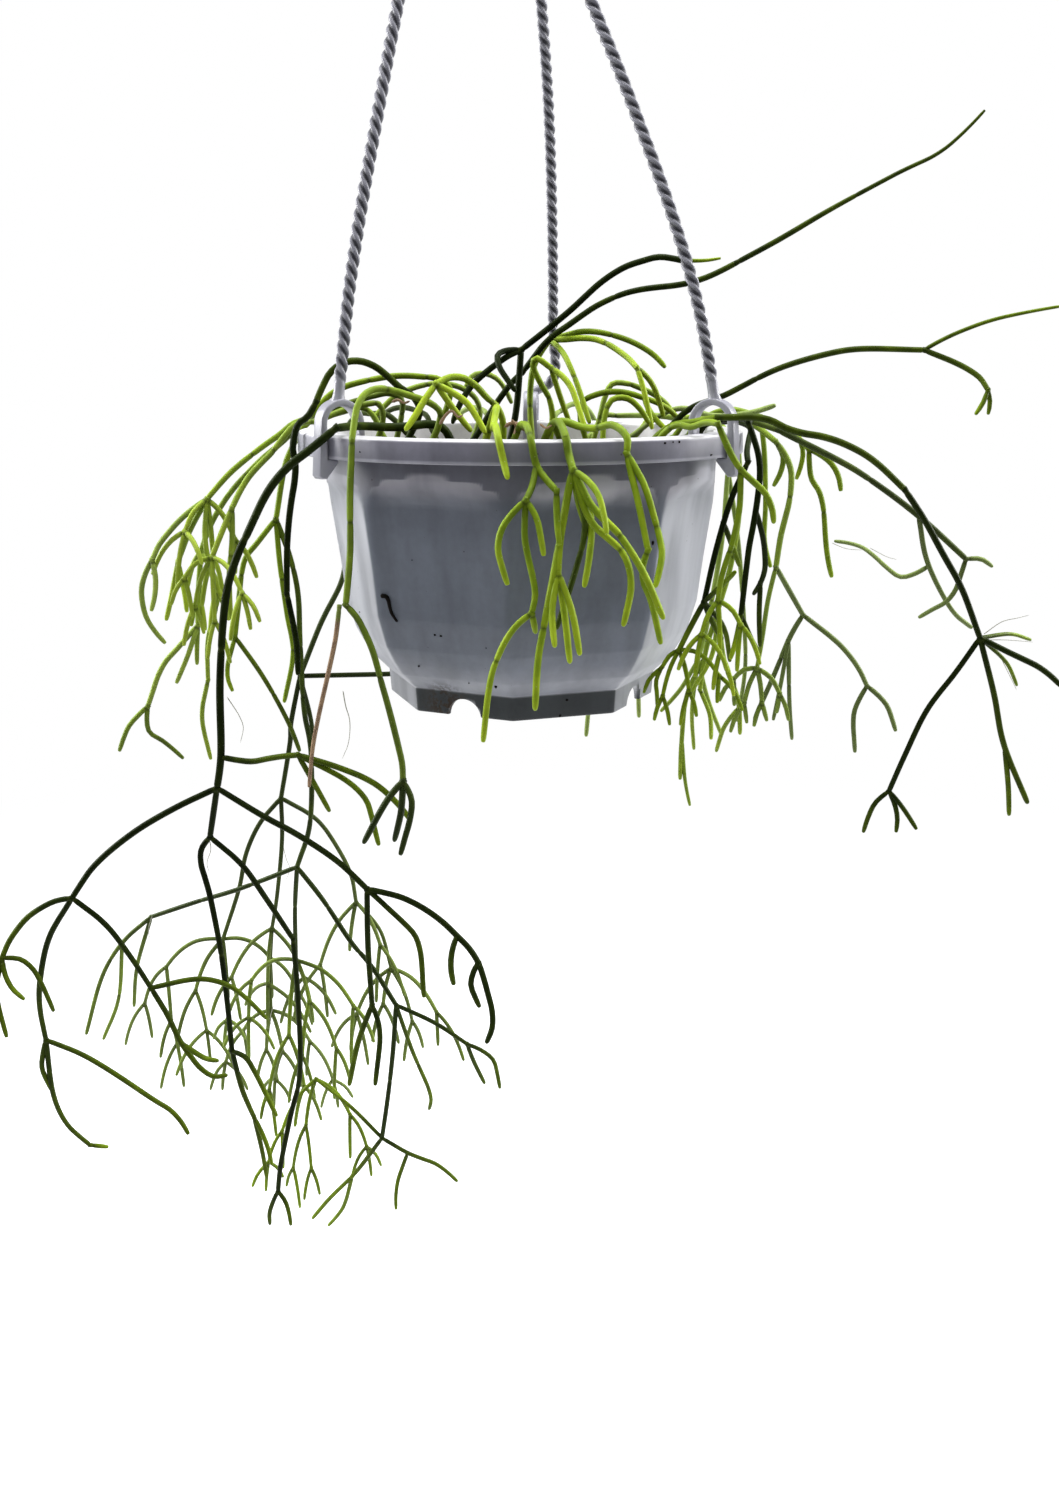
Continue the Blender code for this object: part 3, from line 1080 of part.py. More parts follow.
def build_stems(collection, materials, points, runs, names):
    for owner, name in enumerate(names):
        mine = [run for run in runs if run["owner"] == owner]
        starts = {run["points"][0] for run in mine}
        meshes = []
        for number, run in enumerate(mine):
            free = run["points"][-1] not in starts
            meshes.append(stem_tube(f"{name}_{number}", run, points, free))
        mesh = join_solids(name, meshes, "MANIFOLD")
        tone = STEMS[name][0] if name in STEMS else "dry"
        stem = add_object(name, mesh, collection, materials[tone + "_stem"])
        shade(stem, 50.0)
        if len(meshes) > FEW_RUNS:
            simpler = stem.modifiers.new("simpler_joints", "DECIMATE")
            simpler.ratio = JOINT_SHARE


def build_leg(collection, material, side, azimuth, view):
    route = leg_route(azimuth, view)
    radii = np.full(len(route), LEG_RADIUS)
    rod = curve_tube(f"rod_{side}", route, radii, 2)
    outline = clip_outline()
    shape = bmesh.new()
    angle = math.radians(azimuth)
    away = np.array((math.sin(angle), -math.cos(angle), 0.0))
    across = np.array((math.cos(angle), math.sin(angle), 0.0))
    near_side = across * -CLIP_HALF_WIDTH
    corners = [shape.verts.new((away * r + near_side + (0, 0, z)) * METRE) for r, z in outline]
    face = shape.faces.new(corners)
    raised = bmesh.ops.extrude_face_region(shape, geom=[face])
    moved = [item for item in raised["geom"] if isinstance(item, bmesh.types.BMVert)]
    bmesh.ops.translate(shape, verts=moved, vec=across * 2.0 * CLIP_HALF_WIDTH * METRE)
    bmesh.ops.recalc_face_normals(shape, faces=shape.faces)
    clip = bpy.data.meshes.new(f"clip_{side}")
    shape.to_mesh(clip)
    shape.free()
    mesh = join_solids(f"hanger_leg_{side}", [rod, clip])
    leg = add_object(f"hanger_leg_{side}", mesh, collection, material)
    shade(leg, 40.0)
    return route


def build_hook(collection, material):
    hub = np.array(HUB_IN_POT_FRAME)
    shape = bmesh.new()
    bmesh.ops.create_cone(shape, cap_ends=True, segments=24, radius1=HUB_RADIUS * METRE,
                          radius2=(HUB_RADIUS - 2.5) * METRE, depth=HUB_HEIGHT * METRE)
    bmesh.ops.translate(shape, verts=shape.verts, vec=(hub + (0, 0, HUB_HEIGHT / 2.0)) * METRE)
    disc = bpy.data.meshes.new("hub_disc")
    shape.to_mesh(disc)
    shape.free()
    top = hub[2] + HUB_HEIGHT
    centre = np.array((hub[0], hub[1], top + HOOK_SHANK + HOOK_BEND_RADIUS))
    route = [np.array((hub[0], hub[1], top - 3.0)), np.array((hub[0], hub[1], top + HOOK_SHANK * 0.6))]
    for step in range(-5, 16):
        angle = math.radians(min(15.0 * step, HOOK_ARC_END))
        if step == -5:
            angle = math.radians(-84.0)
        route.append(centre + HOOK_BEND_RADIUS * np.array((math.cos(angle), 0.0, math.sin(angle))))
    wire = curve_tube("hook_wire", np.array(route), np.full(len(route), HOOK_WIRE_RADIUS), 1)
    mesh = join_solids("hanger_hook", [disc, wire])
    hook = add_object("hanger_hook", mesh, collection, material)
    shade(hook, 40.0)


def main():
    clear_scene()
    parts = make_collection("potted_rhipsalis")
    pot_cutters = make_collection("pot_cutters")
    soil_cutters = make_collection("soil_cutters")
    materials = {name: make_material(name) for name in COLOURS}
    legs = []
    for side, (azimuth, view) in HANGER_LEGS.items():
        legs.append((build_leg(parts, materials["hanger_plastic"], side, azimuth, view), LEG_RADIUS))
        legs.append((clip_line(azimuth), CLIP_HALF_WIDTH))
    build_hook(parts, materials["hanger_plastic"])
    points, runs, names = lay_out_stems()
    points = bend_clear(points, runs, legs + rim_lines())
    seat_shoot(points, runs, names)
    feet = []
    for run in runs[:-1]:
        if run["rooted"]:
            x, y, _ = points[run["points"][0]]
            feet.append((x, y, run["radii"][0]))
    build_stems(parts, materials, points, runs, names)
    build_pot(parts, pot_cutters, materials["pot_plastic"])
    build_soil(parts, soil_cutters, materials["soil"], feet)


main()
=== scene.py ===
import math

import bmesh
import bpy
import numpy as np
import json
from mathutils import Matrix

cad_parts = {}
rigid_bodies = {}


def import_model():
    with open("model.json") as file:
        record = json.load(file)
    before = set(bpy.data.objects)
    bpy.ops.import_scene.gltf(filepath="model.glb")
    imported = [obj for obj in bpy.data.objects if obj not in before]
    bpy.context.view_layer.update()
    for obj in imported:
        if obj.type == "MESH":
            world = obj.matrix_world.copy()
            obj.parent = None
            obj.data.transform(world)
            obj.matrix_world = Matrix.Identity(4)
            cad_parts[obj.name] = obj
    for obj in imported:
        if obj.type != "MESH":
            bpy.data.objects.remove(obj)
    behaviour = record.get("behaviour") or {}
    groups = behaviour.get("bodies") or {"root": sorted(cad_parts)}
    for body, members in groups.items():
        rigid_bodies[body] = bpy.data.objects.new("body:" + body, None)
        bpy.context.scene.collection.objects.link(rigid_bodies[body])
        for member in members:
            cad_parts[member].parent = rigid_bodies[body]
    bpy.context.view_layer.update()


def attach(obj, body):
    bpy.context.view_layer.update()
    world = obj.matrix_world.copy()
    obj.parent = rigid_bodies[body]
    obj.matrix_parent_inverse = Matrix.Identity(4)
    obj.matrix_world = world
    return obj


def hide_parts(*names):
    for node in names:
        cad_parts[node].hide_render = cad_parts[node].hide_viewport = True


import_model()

# Lengths are millimetres, measured from the middle of the rim's top, +Z up and -Y to the front.
# They turn into metres below the hanging point where each mesh is made.
mm = 0.001
rimCentre = np.array((10.1, 0.0, -346.3))
hubPlace = np.array((-10.1, 0.0, 298.3))
whole = 200.0  # a radius past the pot, for a section that is round only or eight-sided only
axisRing = 2.0  # radius of the first and last ring of a closed profile

# Front view in which the legs and stems are laid out
frontView = {"eye": (4.5, -770.5, 35.4), "pitch": 0.2564, "scale": 1512.0, "centre": (529.5, 752.0)}

potShape = {
    "rimRadius": 110.0, "rimInner": 95.5, "skirtDepth": 10.5, "skirtThickness": 2.0, "wall": 2.4,
    "height": 133.8, "floorTop": -121.0, "floorUnderside": -124.0, "innerFloor": 64.5,
    "footWall": 3.2, "footTop": 68.9, "footBottom": 68.0, "cornerAzimuth": -3.0, "lip": 1.0,
    "flare": 0.3, "columns": 400, "paleBandRise": 4.5, "creaseSoftness": 0.4, "cornerSoftness": 0.006,
    "notchRadius": 9.0, "notchAzimuths": (-25.5, 64.5, 154.5, 244.5),
    "drainRadius": 4.0, "drainCircle": 40.0, "drainAzimuths": (20.0, 110.0, 200.0, 290.0),
    # height, radius of the round neck and radius at the corners of the eight-sided body
    "sections": ((-10.0, 97.6, 109.0), (-18.0, 97.2, 108.0), (-22.0, 97.1, 105.0),
                 (-25.5, 97.0, 101.6), (-29.0, 97.0, 98.6), (-36.0, 96.8, 97.2),
                 (-63.0, 93.0, 93.2), (-85.0, 90.3, 90.5), (-100.0, 85.8, 86.0),
                 (-108.0, 81.4, 81.6), (-114.0, 77.4, 77.6), (-121.5, 69.4, 69.6)),
    "innerHeights": (-18.0, -36.0, -63.0, -85.0, -100.0, -114.0),
}
soilShape = {"top": -14.0, "radius": 92.3, "holeDepth": 12.0, "straightFoot": 4.0, "fitGap": 0.3,
             "roughness": 1.9, "crumbs": 1500, "crumbSize": 1.7, "columns": 200, "rings": 46,
             "waves": 60, "seed": 11}
hangerShape = {
    "legRadius": 3.0, "circle": 7.5, "bow": 0.6, "routeStep": 24.0, "pitch": 17.5,
    "grooveFloor": 0.64, "smoothEnd": 8.0, "rodStep": 0.9, "columns": 24,
    "clipThickness": 3.0, "clipHalfWidth": 4.0, "archHeight": 5.0, "toe": -19.4,
    "hubRadius": 12.0, "hubHeight": 8.0, "wireRadius": 2.5, "bend": 14.0, "shank": 14.5,
    "arcEnd": 215.0, "hubColumns": 96, "strandCentre": 0.536,
    # Radii and heights along a clip's band, which stems keep clear of
    "band": ((93.4, -11.0), (93.4, 5.0), (96.0, 12.0), (103.0, 15.5), (110.0, 12.0), (112.4, 5.0),
             (113.0, -8.0), (114.0, -18.0)),
}
# Each leg: its clip's azimuth, and the rod's middle line from the clip up, as seen in front
hangerLegs = {
    "left": (-54.0, ((340.5, 392), (341.7, 367), (344, 337), (350.5, 279), (361.6, 205),
                     (377, 117), (393, 29), (408, -45), (433, -125), (466, -200))),
    "right": (62.0, ((711.3, 388), (703, 326), (688.7, 270), (671, 211), (644.7, 138),
                     (616.8, 64.5), (590.4, 0), (565, -65), (541, -130), (523, -195))),
    "back": (177.0, ((552, 396), (553, 337), (552.4, 235), (549, 117), (541, 0),
                     (531, -80), (519, -150), (506, -215))),
}
stemBend = {"step": 8.0, "gap": 1.9, "rounds": 90, "pairingRounds": 10, "pairingMargin": 8.0,
            "depthShare": 2.5, "pullBack": 0.01}
stemLook = {
    "sides": 10, "step": 2.6, "jointSpacing": {"old": 74.0, "young": 36.0}, "pinch": 0.13,
    "bulge": 0.06, "jointWidth": 1.1, "seed": 23, "paleFrom": 20.0, "paleTo": 105.0,
    "paleMost": 0.72, "jointFade": 0.1, "greenEnd": 8.5,
    "fuller": 0.15, "thin": 1.5, "tipReach": 3.6, "tipNarrower": 0.34, "coarseUnder": 1.25,
}

# Each stem: its tone, where it stands in the soil (x, y), and its runs. A run is its first and
# last radius, its age (0 fresh green, 1 nearly black), its first and last depth behind the pot's
# axis, and its points seen from the front, each across and down. The first run rises from the
# soil. Any other starts on a point of an earlier run, and one with a single depth goes on from
# the end of the run before it.
stemRoutes = {
  "stem_main": ("old", (-30, -38), (
    (1.97, 1.89, 0.72, -46, -74, 440,426, 400,427, 362,428, 338,437),
    (1.89, 1.8, 0.86, -72, 316,446, 287,468, 267,493, 250,528, 235,562, 225,603, 220,680, 221,753, 217,788),
    (1.56, 1.39, 0.96, -92, 175,808, 133,833, 95,865, 72,898),
    (1.26, 1.15, 0.62, -104, 53,902, 28,917, 10,940, 2,958),
    (1.15, 1.02, 0.52, -100, 25,961, 40,981, 54,1012),
    (1.15, 1.02, 0.5, -104, -110, 2,958, 8,983, 25,1000),
    (1.15, 1.02, 0.5, -104, -112, 2,958, -4,990, 0,1012, 7,1038),
    (1.31, 1.21, 0.72, -92, -80, 72,898, 49,938, 40,981, 40,1009, 46,1040),
    (1.21, 1.09, 0.56, -76, 42,1068, 55,1095),
    (1.21, 1.09, 0.62, -80, -70, 46,1040, 53,1093, 67,1124, 90,1145),
    (1.09, 1.02, 0.44, -66, 109,1147),
    (1.26, 1.15, 0.56, -80, -88, 46,1040, 81,1054, 112,1072, 151,1098, 175,1114, 189,1135),
    (1.31, 1.21, 0.78, -92, -84, 72,898, 105,924, 130,956, 151,988),
    (1.26, 1.15, 0.56, -92, 168,1016, 182,1044, 207,1074, 228,1075),
    (1.21, 1.09, 0.46, -92, -96, 182,1044, 204,1058, 219,1061),
    (1.26, 1.09, 0.48, -84, -70, 151,988, 196,979, 225,984, 246,998, 267,1019),
    (1.56, 1.48, 0.98, -72, -64, 217,788, 210,837),
    (1.48, 1.31, 0.98, -58, 200,856, 210,896, 221,953, 228,1009, 232,1051),
    (1.26, 1.15, 0.58, -52, 242,1089, 254,1117),
    (1.15, 1.02, 0.5, -46, 262,1150, 267,1179),
    (1.15, 1.02, 0.44, -52, -56, 254,1117, 266,1142, 272,1165),
    (1.21, 1.09, 0.46, -58, -70, 232,1051, 246,1058, 260,1082, 277,1117),
    (1.39, 1.31, 0.86, -64, -50, 210,837, 242,865, 267,900, 293,939),
    (1.31, 1.21, 0.9, -42, 298,998, 300,1072, 291,1114, 281,1163, 278,1191),
    (1.15, 1.02, 0.58, -38, 270,1210, 270,1225),
    (1.15, 1.02, 0.56, -42, -46, 278,1191, 287,1205, 291,1226),
    (1.48, 1.39, 0.82, -72, -96, 217,788, 263,816, 298,835, 337,861, 367,889),
    (1.48, 1.31, 0.84, -112, 403,898, 435,916, 460,939, 477,960, 489,998, 493,1023, 486,1044),
    (1.31, 1.21, 0.72, -110, -114, 460,939, 452,962, 454,986),
    (1.31, 1.21, 0.76, -111, -106, 477,960, 470,982, 480,1008),
    (1.31, 1.21, 0.72, -96, -92, 367,889, 368,946, 372,1005),
    (1.26, 1.15, 0.54, -88, 358,1043, 349,1086),
    (1.26, 1.15, 0.74, -92, -98, 372,1005, 380,1033, 375,1086),
    (1.26, 1.15, 0.6, -96, -102, 367,889, 395,915, 418,942, 424,998),
    (1.39, 1.31, 0.6, -72, -84, 221,753, 250,759, 275,756, 298,755),
    (1.31, 1.26, 0.46, -92, 337,767, 372,782, 396,802, 412,822),
    (1.26, 1.15, 0.44, -84, -80, 298,755, 344,779, 366,800, 373,823, 379,846),
    (1.21, 1.09, 0.4, -84, -76, 298,755, 315,785, 330,812),
  )),
  "stem_front_left": ("young", (-44, -52), (
    (1.56, 1.52, 0.3, -60, -90, 440,412, 404,394, 374,389, 358,405, 352,440),
    (1.52, 1.48, 0.36, -100, 350,497, 350,555, 345,605),
    (1.48, 1.44, 0.5, -112, 358,620, 372,649, 381,681, 391,717, 402,763, 403,781),
    (1.64, 1.31, 0.92, -116, 386,802, 363,844),
    (1.64, 1.31, 0.94, -112, -108, 403,781, 401,812, 394,842),
    (1.48, 1.26, 0.9, -112, -118, 403,781, 412,806, 400,856),
  )),
  "stem_left_loop": ("old", (-58, -16), (
    (1.64, 1.64, 0.7, -24, -40, 420,408, 398,386, 374,366, 350,361, 330,373, 316,402),
    (1.64, 1.48, 0.94, -34, 307,433, 297,470, 290,511, 287,551, 287,594),
    (1.39, 1.26, 0.92, -40, 296,640, 298,676),
  )),
  "stem_left_a": ("young", (-46, 6), (
    (1.48, 1.48, 0.28, 4, -12, 450,388, 410,376, 370,380, 334,392, 308,419),
    (1.48, 1.31, 0.22, -30, 287,430, 258,450, 230,473, 207,499),
    (1.31, 1.21, 0.18, -40, 184,516, 161,542, 152,560),
    (1.21, 1.09, 0.14, -36, 143,580, 142,600, 149,623, 166,644),
    (1.21, 1.09, 0.12, -40, -46, 152,560, 156,585, 151,612),
    (1.26, 1.15, 0.16, -30, -22, 207,499, 190,530, 178,562),
    (1.21, 1.09, 0.04, -18, 172,594, 166,621),
    (1.21, 1.09, 0.04, -22, -28, 178,562, 184,590, 187,613),
    (1.26, 1.15, 0.08, -30, -42, 207,499, 205,540, 212,572, 222,598),
  )),
  "stem_left_b": ("young", (-64, 18), (
    (1.48, 1.48, 0.44, 16, 10, 400,396, 352,402, 318,418, 303,430),
    (1.48, 1.31, 0.32, -4, 270,452, 234,488, 212,522, 201,551),
    (1.26, 1.21, 0.18, -8, 198,600, 198,625),
    (1.21, 1.15, 0.22, -16, 176,650, 161,669, 148,706),
    (1.15, 1.02, 0.42, -20, 129,726, 119,752),
    (1.15, 1.02, 0.5, -16, -10, 148,706, 148,730, 166,743, 184,759),
    (1.15, 1.02, 0.18, -8, -2, 198,625, 197,645, 197,665),
    (1.15, 1.02, 0.16, -8, -14, 198,625, 188,655, 176,684),
    (1.15, 1.02, 0.16, -4, 6, 201,551, 218,590, 208,640, 208,680),
    (1.09, 1.02, 0.16, 8, 202,717, 211,760),
  )),
  "stem_left_c": ("young", (-72, -4), (
    (1.56, 1.48, 0.32, -10, -20, 382,406, 344,410, 316,424),
    (1.48, 1.31, 0.18, -36, 278,448, 248,478, 232,508),
    (1.26, 1.15, 0.06, -42, 221,534, 212,557),
    (1.26, 1.15, 0.08, -36, -30, 232,508, 232,545, 228,588, 231,620),
  )),
  "stem_left_d": ("young", (-70, 34), (
    (1.56, 1.56, 0.34, 34, 24, 366,408, 330,418, 303,433),
    (1.56, 1.48, 0.3, 12, 286,462, 276,519),
    (1.31, 1.21, 0.34, 4, 258,542, 244,562, 238,608, 235,637),
    (1.15, 1.02, 0.3, 0, 227,671, 233,692),
    (1.15, 1.09, 0.56, 4, 10, 235,637, 258,669, 275,697, 290,726, 300,752),
    (1.26, 1.09, 0.26, 12, 20, 276,519, 280,565, 287,614, 293,654, 284,703),
    (1.31, 1.26, 0.74, 12, 30, 276,519, 290,557, 298,594, 300,640, 304,709, 311,752, 310,823, 297,867),
    (1.21, 1.15, 0.86, 50, 239,889, 196,902, 151,917),
    (1.15, 1.02, 0.46, 46, 123,942, 102,977, 86,1035),
    (1.09, 0.95, 0.38, 46, 50, 123,942, 119,998, 103,1040),
    (1.09, 0.95, 0.42, 50, 58, 151,917, 137,967, 134,1007),
    (1.21, 1.09, 0.8, 30, 40, 297,867, 295,910, 296,960),
    (1.26, 1.21, 0.84, 30, 8, 297,867, 323,900, 351,942, 372,967, 396,1005),
    (1.15, 1.09, 0.74, 2, 435,1023, 467,1044),
    (1.15, 1.02, 0.56, -2, 492,1058, 500,1089),
    (1.15, 1.02, 0.6, 2, 6, 467,1044, 474,1062, 485,1084),
    (1.09, 1.02, 0.5, 8, 16, 396,1005, 412,1050, 430,1093, 429,1110),
    (1.21, 1.15, 0.9, 8, 4, 396,1005, 393,1051, 388,1096, 382,1138),
    (1.15, 1.02, 0.52, -2, 410,1154, 438,1165, 458,1182),
    (1.09, 0.95, 0.44, 4, -4, 410,1154, 398,1185, 396,1210),
    (1.15, 1.02, 0.36, 4, 10, 382,1138, 356,1172, 330,1198, 312,1219),
    (1.09, 0.95, 0.36, 10, 14, 356,1172, 345,1205, 328,1226),
    (1.09, 0.95, 0.44, 4, 16, 382,1138, 351,1107, 316,1079),
  )),
  "stem_left_back": ("old", (-56, 52), (
    (1.56, 1.48, 0.8, 56, 88, 386,414, 364,424, 347,445, 345,500, 346,545),
    (1.48, 1.39, 0.88, 60, 342,580, 321,623, 300,676),
    (1.26, 1.21, 0.96, 84, 345,675, 388,674, 430,672),
    (1.15, 1.09, 0.84, 60, 66, 300,676, 311,720, 313,748),
    (1.39, 1.26, 0.88, 60, 70, 300,676, 291,723, 290,743, 281,798),
    (1.21, 1.09, 0.76, 80, 260,823, 246,854, 239,889, 223,939),
    (1.21, 1.09, 0.74, 70, 90, 281,798, 282,840, 277,896, 272,928),
    (1.21, 1.09, 0.7, 70, 96, 281,798, 316,819, 337,847, 351,875, 356,902),
    (1.05, 1.0, 0.64, 90, 96, 272,928, 270,970, 271,1010),
    (1.05, 1.0, 0.62, 96, 88, 356,902, 380,930, 391,968),
  )),
  "stem_up_right_a": ("old", (-6, 8), (
    (1.64, 1.64, 0.9, 8, 6, 516,412, 519,380, 521,350),
    (1.64, 1.39, 0.86, -20, 549,328, 573,308, 599,284, 623,268, 646,260, 664,257, 692,263),
    (0.95, 0.57, 0.24, -20, -22, 678,259, 700,261, 722,258),
    (1.56, 1.48, 0.94, 6, -10, 521,350, 505,358, 476,381, 461,402, 452,424),
    (1.39, 1.26, 0.94, 6, -14, 521,350, 500,352, 499,366, 516,392),
  )),
  "stem_up_right_b": ("old", (-26, 20), (
    (1.56, 1.56, 0.84, 22, 24, 492,410, 510,385, 523,372),
    (1.56, 1.39, 0.72, 16, 543,349, 564,331, 593,308, 626,293, 652,288, 684,284, 710,276, 736,263),
    (1.39, 0.66, 0.6, 0, 780,239, 833,208, 898,173, 937,154, 963,133, 986,109),
  )),
  "stem_far_right": ("old", (66, 16), (
    (1.56, 1.48, 0.72, 14, 0, 684,412, 700,404, 723,396, 754,380),
    (1.48, 1.26, 0.66, -6, 780,368, 819,356, 859,349, 924,350),
    (0.95, 0.66, 0.42, -6, 950,336, 989,321, 1028,312, 1062,306),
    (1.21, 1.15, 0.6, -6, -20, 924,350, 958,364, 979,377, 988,390),
    (1.09, 0.95, 0.4, -24, 983,403, 975,415),
    (1.09, 0.95, 0.4, -20, -16, 988,390, 990,402, 988,415),
  )),
  "stem_right_arch": ("old", (56, -44), (
    (1.72, 1.64, 0.46, -58, -80, 668,428, 690,424, 717,418),
    (1.64, 1.48, 0.62, -70, 762,418, 793,431, 828,438, 857,450, 879,465, 905,490),
    (1.56, 1.39, 0.84, -60, 924,519, 943,554, 962,589, 980,638),
    (1.31, 1.26, 0.84, -66, 1010,653, 1042,669, 1062,687),
    (1.31, 1.26, 0.62, -60, -52, 980,638, 994,694, 1004,745, 1028,804),
    (1.21, 1.09, 0.44, -54, -50, 1004,745, 1008,786, 1009,816),
    (1.26, 1.21, 0.86, -60, -44, 980,638, 956,672, 927,710, 905,755, 889,791),
    (1.15, 1.02, 0.62, -40, 873,806, 863,833),
    (1.15, 1.02, 0.66, -44, -46, 889,791, 897,812, 896,833),
    (1.15, 1.02, 0.62, -44, -50, 889,791, 903,808, 917,830),
    (0.95, 0.76, 0.3, -60, -30, 980,638, 1010,634, 1031,640),
    (0.95, 0.76, 0.34, -60, -42, 980,638, 1006,662, 1017,686),
  )),
  "stem_right_arch_b": ("old", (72, -22), (
    (1.56, 1.48, 0.66, -30, -44, 706,424, 738,418, 778,430),
    (1.48, 1.26, 0.74, -36, 828,455, 857,471, 889,493, 915,513, 937,532, 966,559),
    (1.09, 0.95, 0.42, -32, 981,559, 993,567),
    (1.09, 0.95, 0.46, -36, -22, 966,559, 953,595, 938,606, 918,618),
    (1.15, 1.02, 0.5, -40, 4, 915,513, 925,560, 950,608, 972,628),
    (1.09, 0.85, 0.34, -18, 6, 925,560, 899,573, 873,554, 857,544, 833,541),
  )),
  "stem_right_dark_a": ("old", (80, -34), (
    (1.56, 1.48, 0.9, -40, -62, 722,424, 746,423),
    (1.48, 1.26, 0.92, -58, 755,442, 760,471, 755,516, 749,548, 741,615),
    (1.21, 1.09, 0.12, -62, 736,640, 730,660),
    (1.15, 1.02, 0.52, -58, -50, 741,615, 752,640, 759,652),
    (1.2, 1.1, 0.8, -60, -36, 755,516, 763,545, 764,575, 753,595),
    (1.15, 1.05, 0.66, -40, -34, 764,575, 761,610, 760,647),
  )),
  "stem_right_dark_b": ("old", (82, 2), (
    (1.56, 1.48, 0.88, -2, -42, 720,424, 742,430, 748,462),
    (1.48, 1.31, 0.98, -50, 731,500, 716,550, 704,602),
    (1.26, 1.15, 0.46, -46, 690,628, 679,650),
    (1.21, 1.09, 0.46, -50, -44, 704,602, 712,622, 723,640),
    (1.2, 1.1, 0.34, -44, -34, 724,524, 732,545, 740,567),
    (1.15, 1.05, 0.36, -50, -66, 704,602, 722,585, 736,571),
    (1.15, 1.05, 0.44, -50, -34, 704,602, 724,628, 730,662),
  )),
  "stem_right_a": ("young", (64, -60), (
    (1.56, 1.48, 0.34, -76, -92, 700,424, 718,424),
    (1.48, 1.31, 0.2, -88, 730,452, 742,471, 768,497, 774,524),
    (1.26, 1.15, 0.24, -88, -84, 742,471, 740,510, 731,548),
    (1.21, 1.09, 0.16, -80, 722,575, 718,600),
  )),
  "stem_right_b": ("young", (84, 18), (
    (1.48, 1.48, 0.34, 14, -10, 724,420, 752,424, 776,442),
    (1.48, 1.31, 0.26, -20, 790,465, 790,497, 781,535, 776,567),
    (1.21, 1.15, 0.66, -6, 790,592, 803,615),
    (1.21, 1.09, 0.64, 4, 790,637, 774,675, 754,720),
    (1.09, 0.95, 0.6, 0, -8, 790,637, 782,680, 773,721),
    (1.09, 0.95, 0.62, 0, 10, 790,637, 790,700, 792,740),
    (1.21, 1.15, 0.66, -6, -14, 803,615, 838,643, 857,666, 867,686),
    (1.15, 1.02, 0.62, -10, 854,713, 855,753),
    (1.15, 1.02, 0.6, -14, -20, 867,686, 886,704, 896,732),
    (1.26, 1.15, 0.26, -14, -6, 776,442, 784,462, 773,487),
    (1.15, 1.02, 0.26, -20, -28, 776,567, 768,600, 762,640, 757,668),
  )),
  "stem_right_c": ("young", (74, 38), (
    (1.48, 1.39, 0.34, 34, 4, 716,412, 752,414, 790,432, 809,449),
    (1.31, 1.21, 0.32, 0, 828,460, 838,475, 841,492),
    (1.31, 1.21, 0.26, 4, 8, 809,449, 811,477, 822,500, 828,557, 832,578),
    (1.3, 1.1, 0.24, 16, 2, 752,414, 758,450, 762,502, 763,541, 771,568),
    (1.2, 1.1, 0.2, 6, 14, 790,432, 798,452, 796,480),
  )),
  "stem_right_tip": ("young", (52, 40), (
    (1.39, 1.26, 0.3, 40, 10, 672,410, 712,416, 749,413, 776,405),
  )),
  "stem_right_low_a": ("young", (60, 60), (
    (1.48, 1.48, 0.26, 64, 30, 660,420, 712,424, 738,440),
    (1.48, 1.26, 0.2, 14, 740,500, 732,560, 718,610),
    (1.21, 1.09, 0.16, 10, 706,650, 700,690),
    (1.21, 1.09, 0.18, 14, 24, 718,610, 724,660, 738,700, 740,735),
    (1.15, 1.02, 0.2, 10, 18, 706,650, 688,690, 682,740, 680,780),
    (1.02, 0.85, 0.24, 18, 22, 682,740, 685,780, 690,806),
    (1.15, 1.0, 0.16, 14, 0, 718,610, 712,655, 690,694),
    (1.1, 1.0, 0.14, 10, -4, 700,690, 710,715, 711,740),
    (1.1, 1.0, 0.16, 24, 36, 738,700, 724,722, 716,752),
  )),
  "stem_right_low_b": ("young", (36, 74), (
    (1.39, 1.39, 0.26, 82, 74, 610,420, 664,418, 716,430, 728,470),
    (1.31, 1.21, 0.24, 54, 722,540, 708,620, 698,660),
    (1.15, 1.02, 0.18, 50, 680,690, 660,712),
    (1.15, 1.02, 0.14, 54, 60, 698,660, 708,700, 722,736),
    (1.09, 0.95, 0.16, 54, 58, 698,660, 692,710, 694,750),
    (1.2, 1.0, 0.46, 74, 86, 728,470, 738,540, 744,620, 745,670, 737,722),
  )),
  "stem_front_a": ("young", (-6, -76), (
    (1.64, 1.56, 0.36, -92, -122, 521,424, 523,432, 528,450, 537,469, 557,491),
    (1.48, 1.26, 0.22, -124, 558,523, 560,546),
    (1.39, 1.26, 0.4, -122, -126, 528,450, 529,478, 526,500),
    (1.31, 1.21, 0.12, -128, 505,523, 498,549, 508,586),
    (1.31, 1.26, 0.22, -126, -124, 526,500, 525,540, 535,590, 532,613),
    (1.31, 1.15, 0.16, -128, 511,632, 494,667, 488,696, 483,743),
    (1.26, 1.15, 0.14, -124, -120, 532,613, 536,634),
    (1.31, 1.21, 0.12, -126, -130, 526,500, 537,520, 544,557),
  )),
  "stem_front_b": ("young", (8, -74), (
    (1.8, 1.72, 0.34, -92, -120, 552,426, 562,444, 573,470),
    (1.72, 1.48, 0.14, -134, 593,508, 617,532, 643,572, 664,620),
    (1.64, 1.39, 0.14, -120, -128, 573,470, 590,520, 622,552, 631,585, 623,627),
    (1.72, 1.56, 0.12, -120, -122, 573,470, 566,500, 560,540, 558,573),
    (1.56, 1.39, 0.08, -118, 564,610, 570,664),
    (1.56, 1.39, 0.08, -122, -128, 558,573, 572,612, 580,656),
    (1.48, 1.31, 0.1, -122, -132, 558,573, 552,612, 555,648),
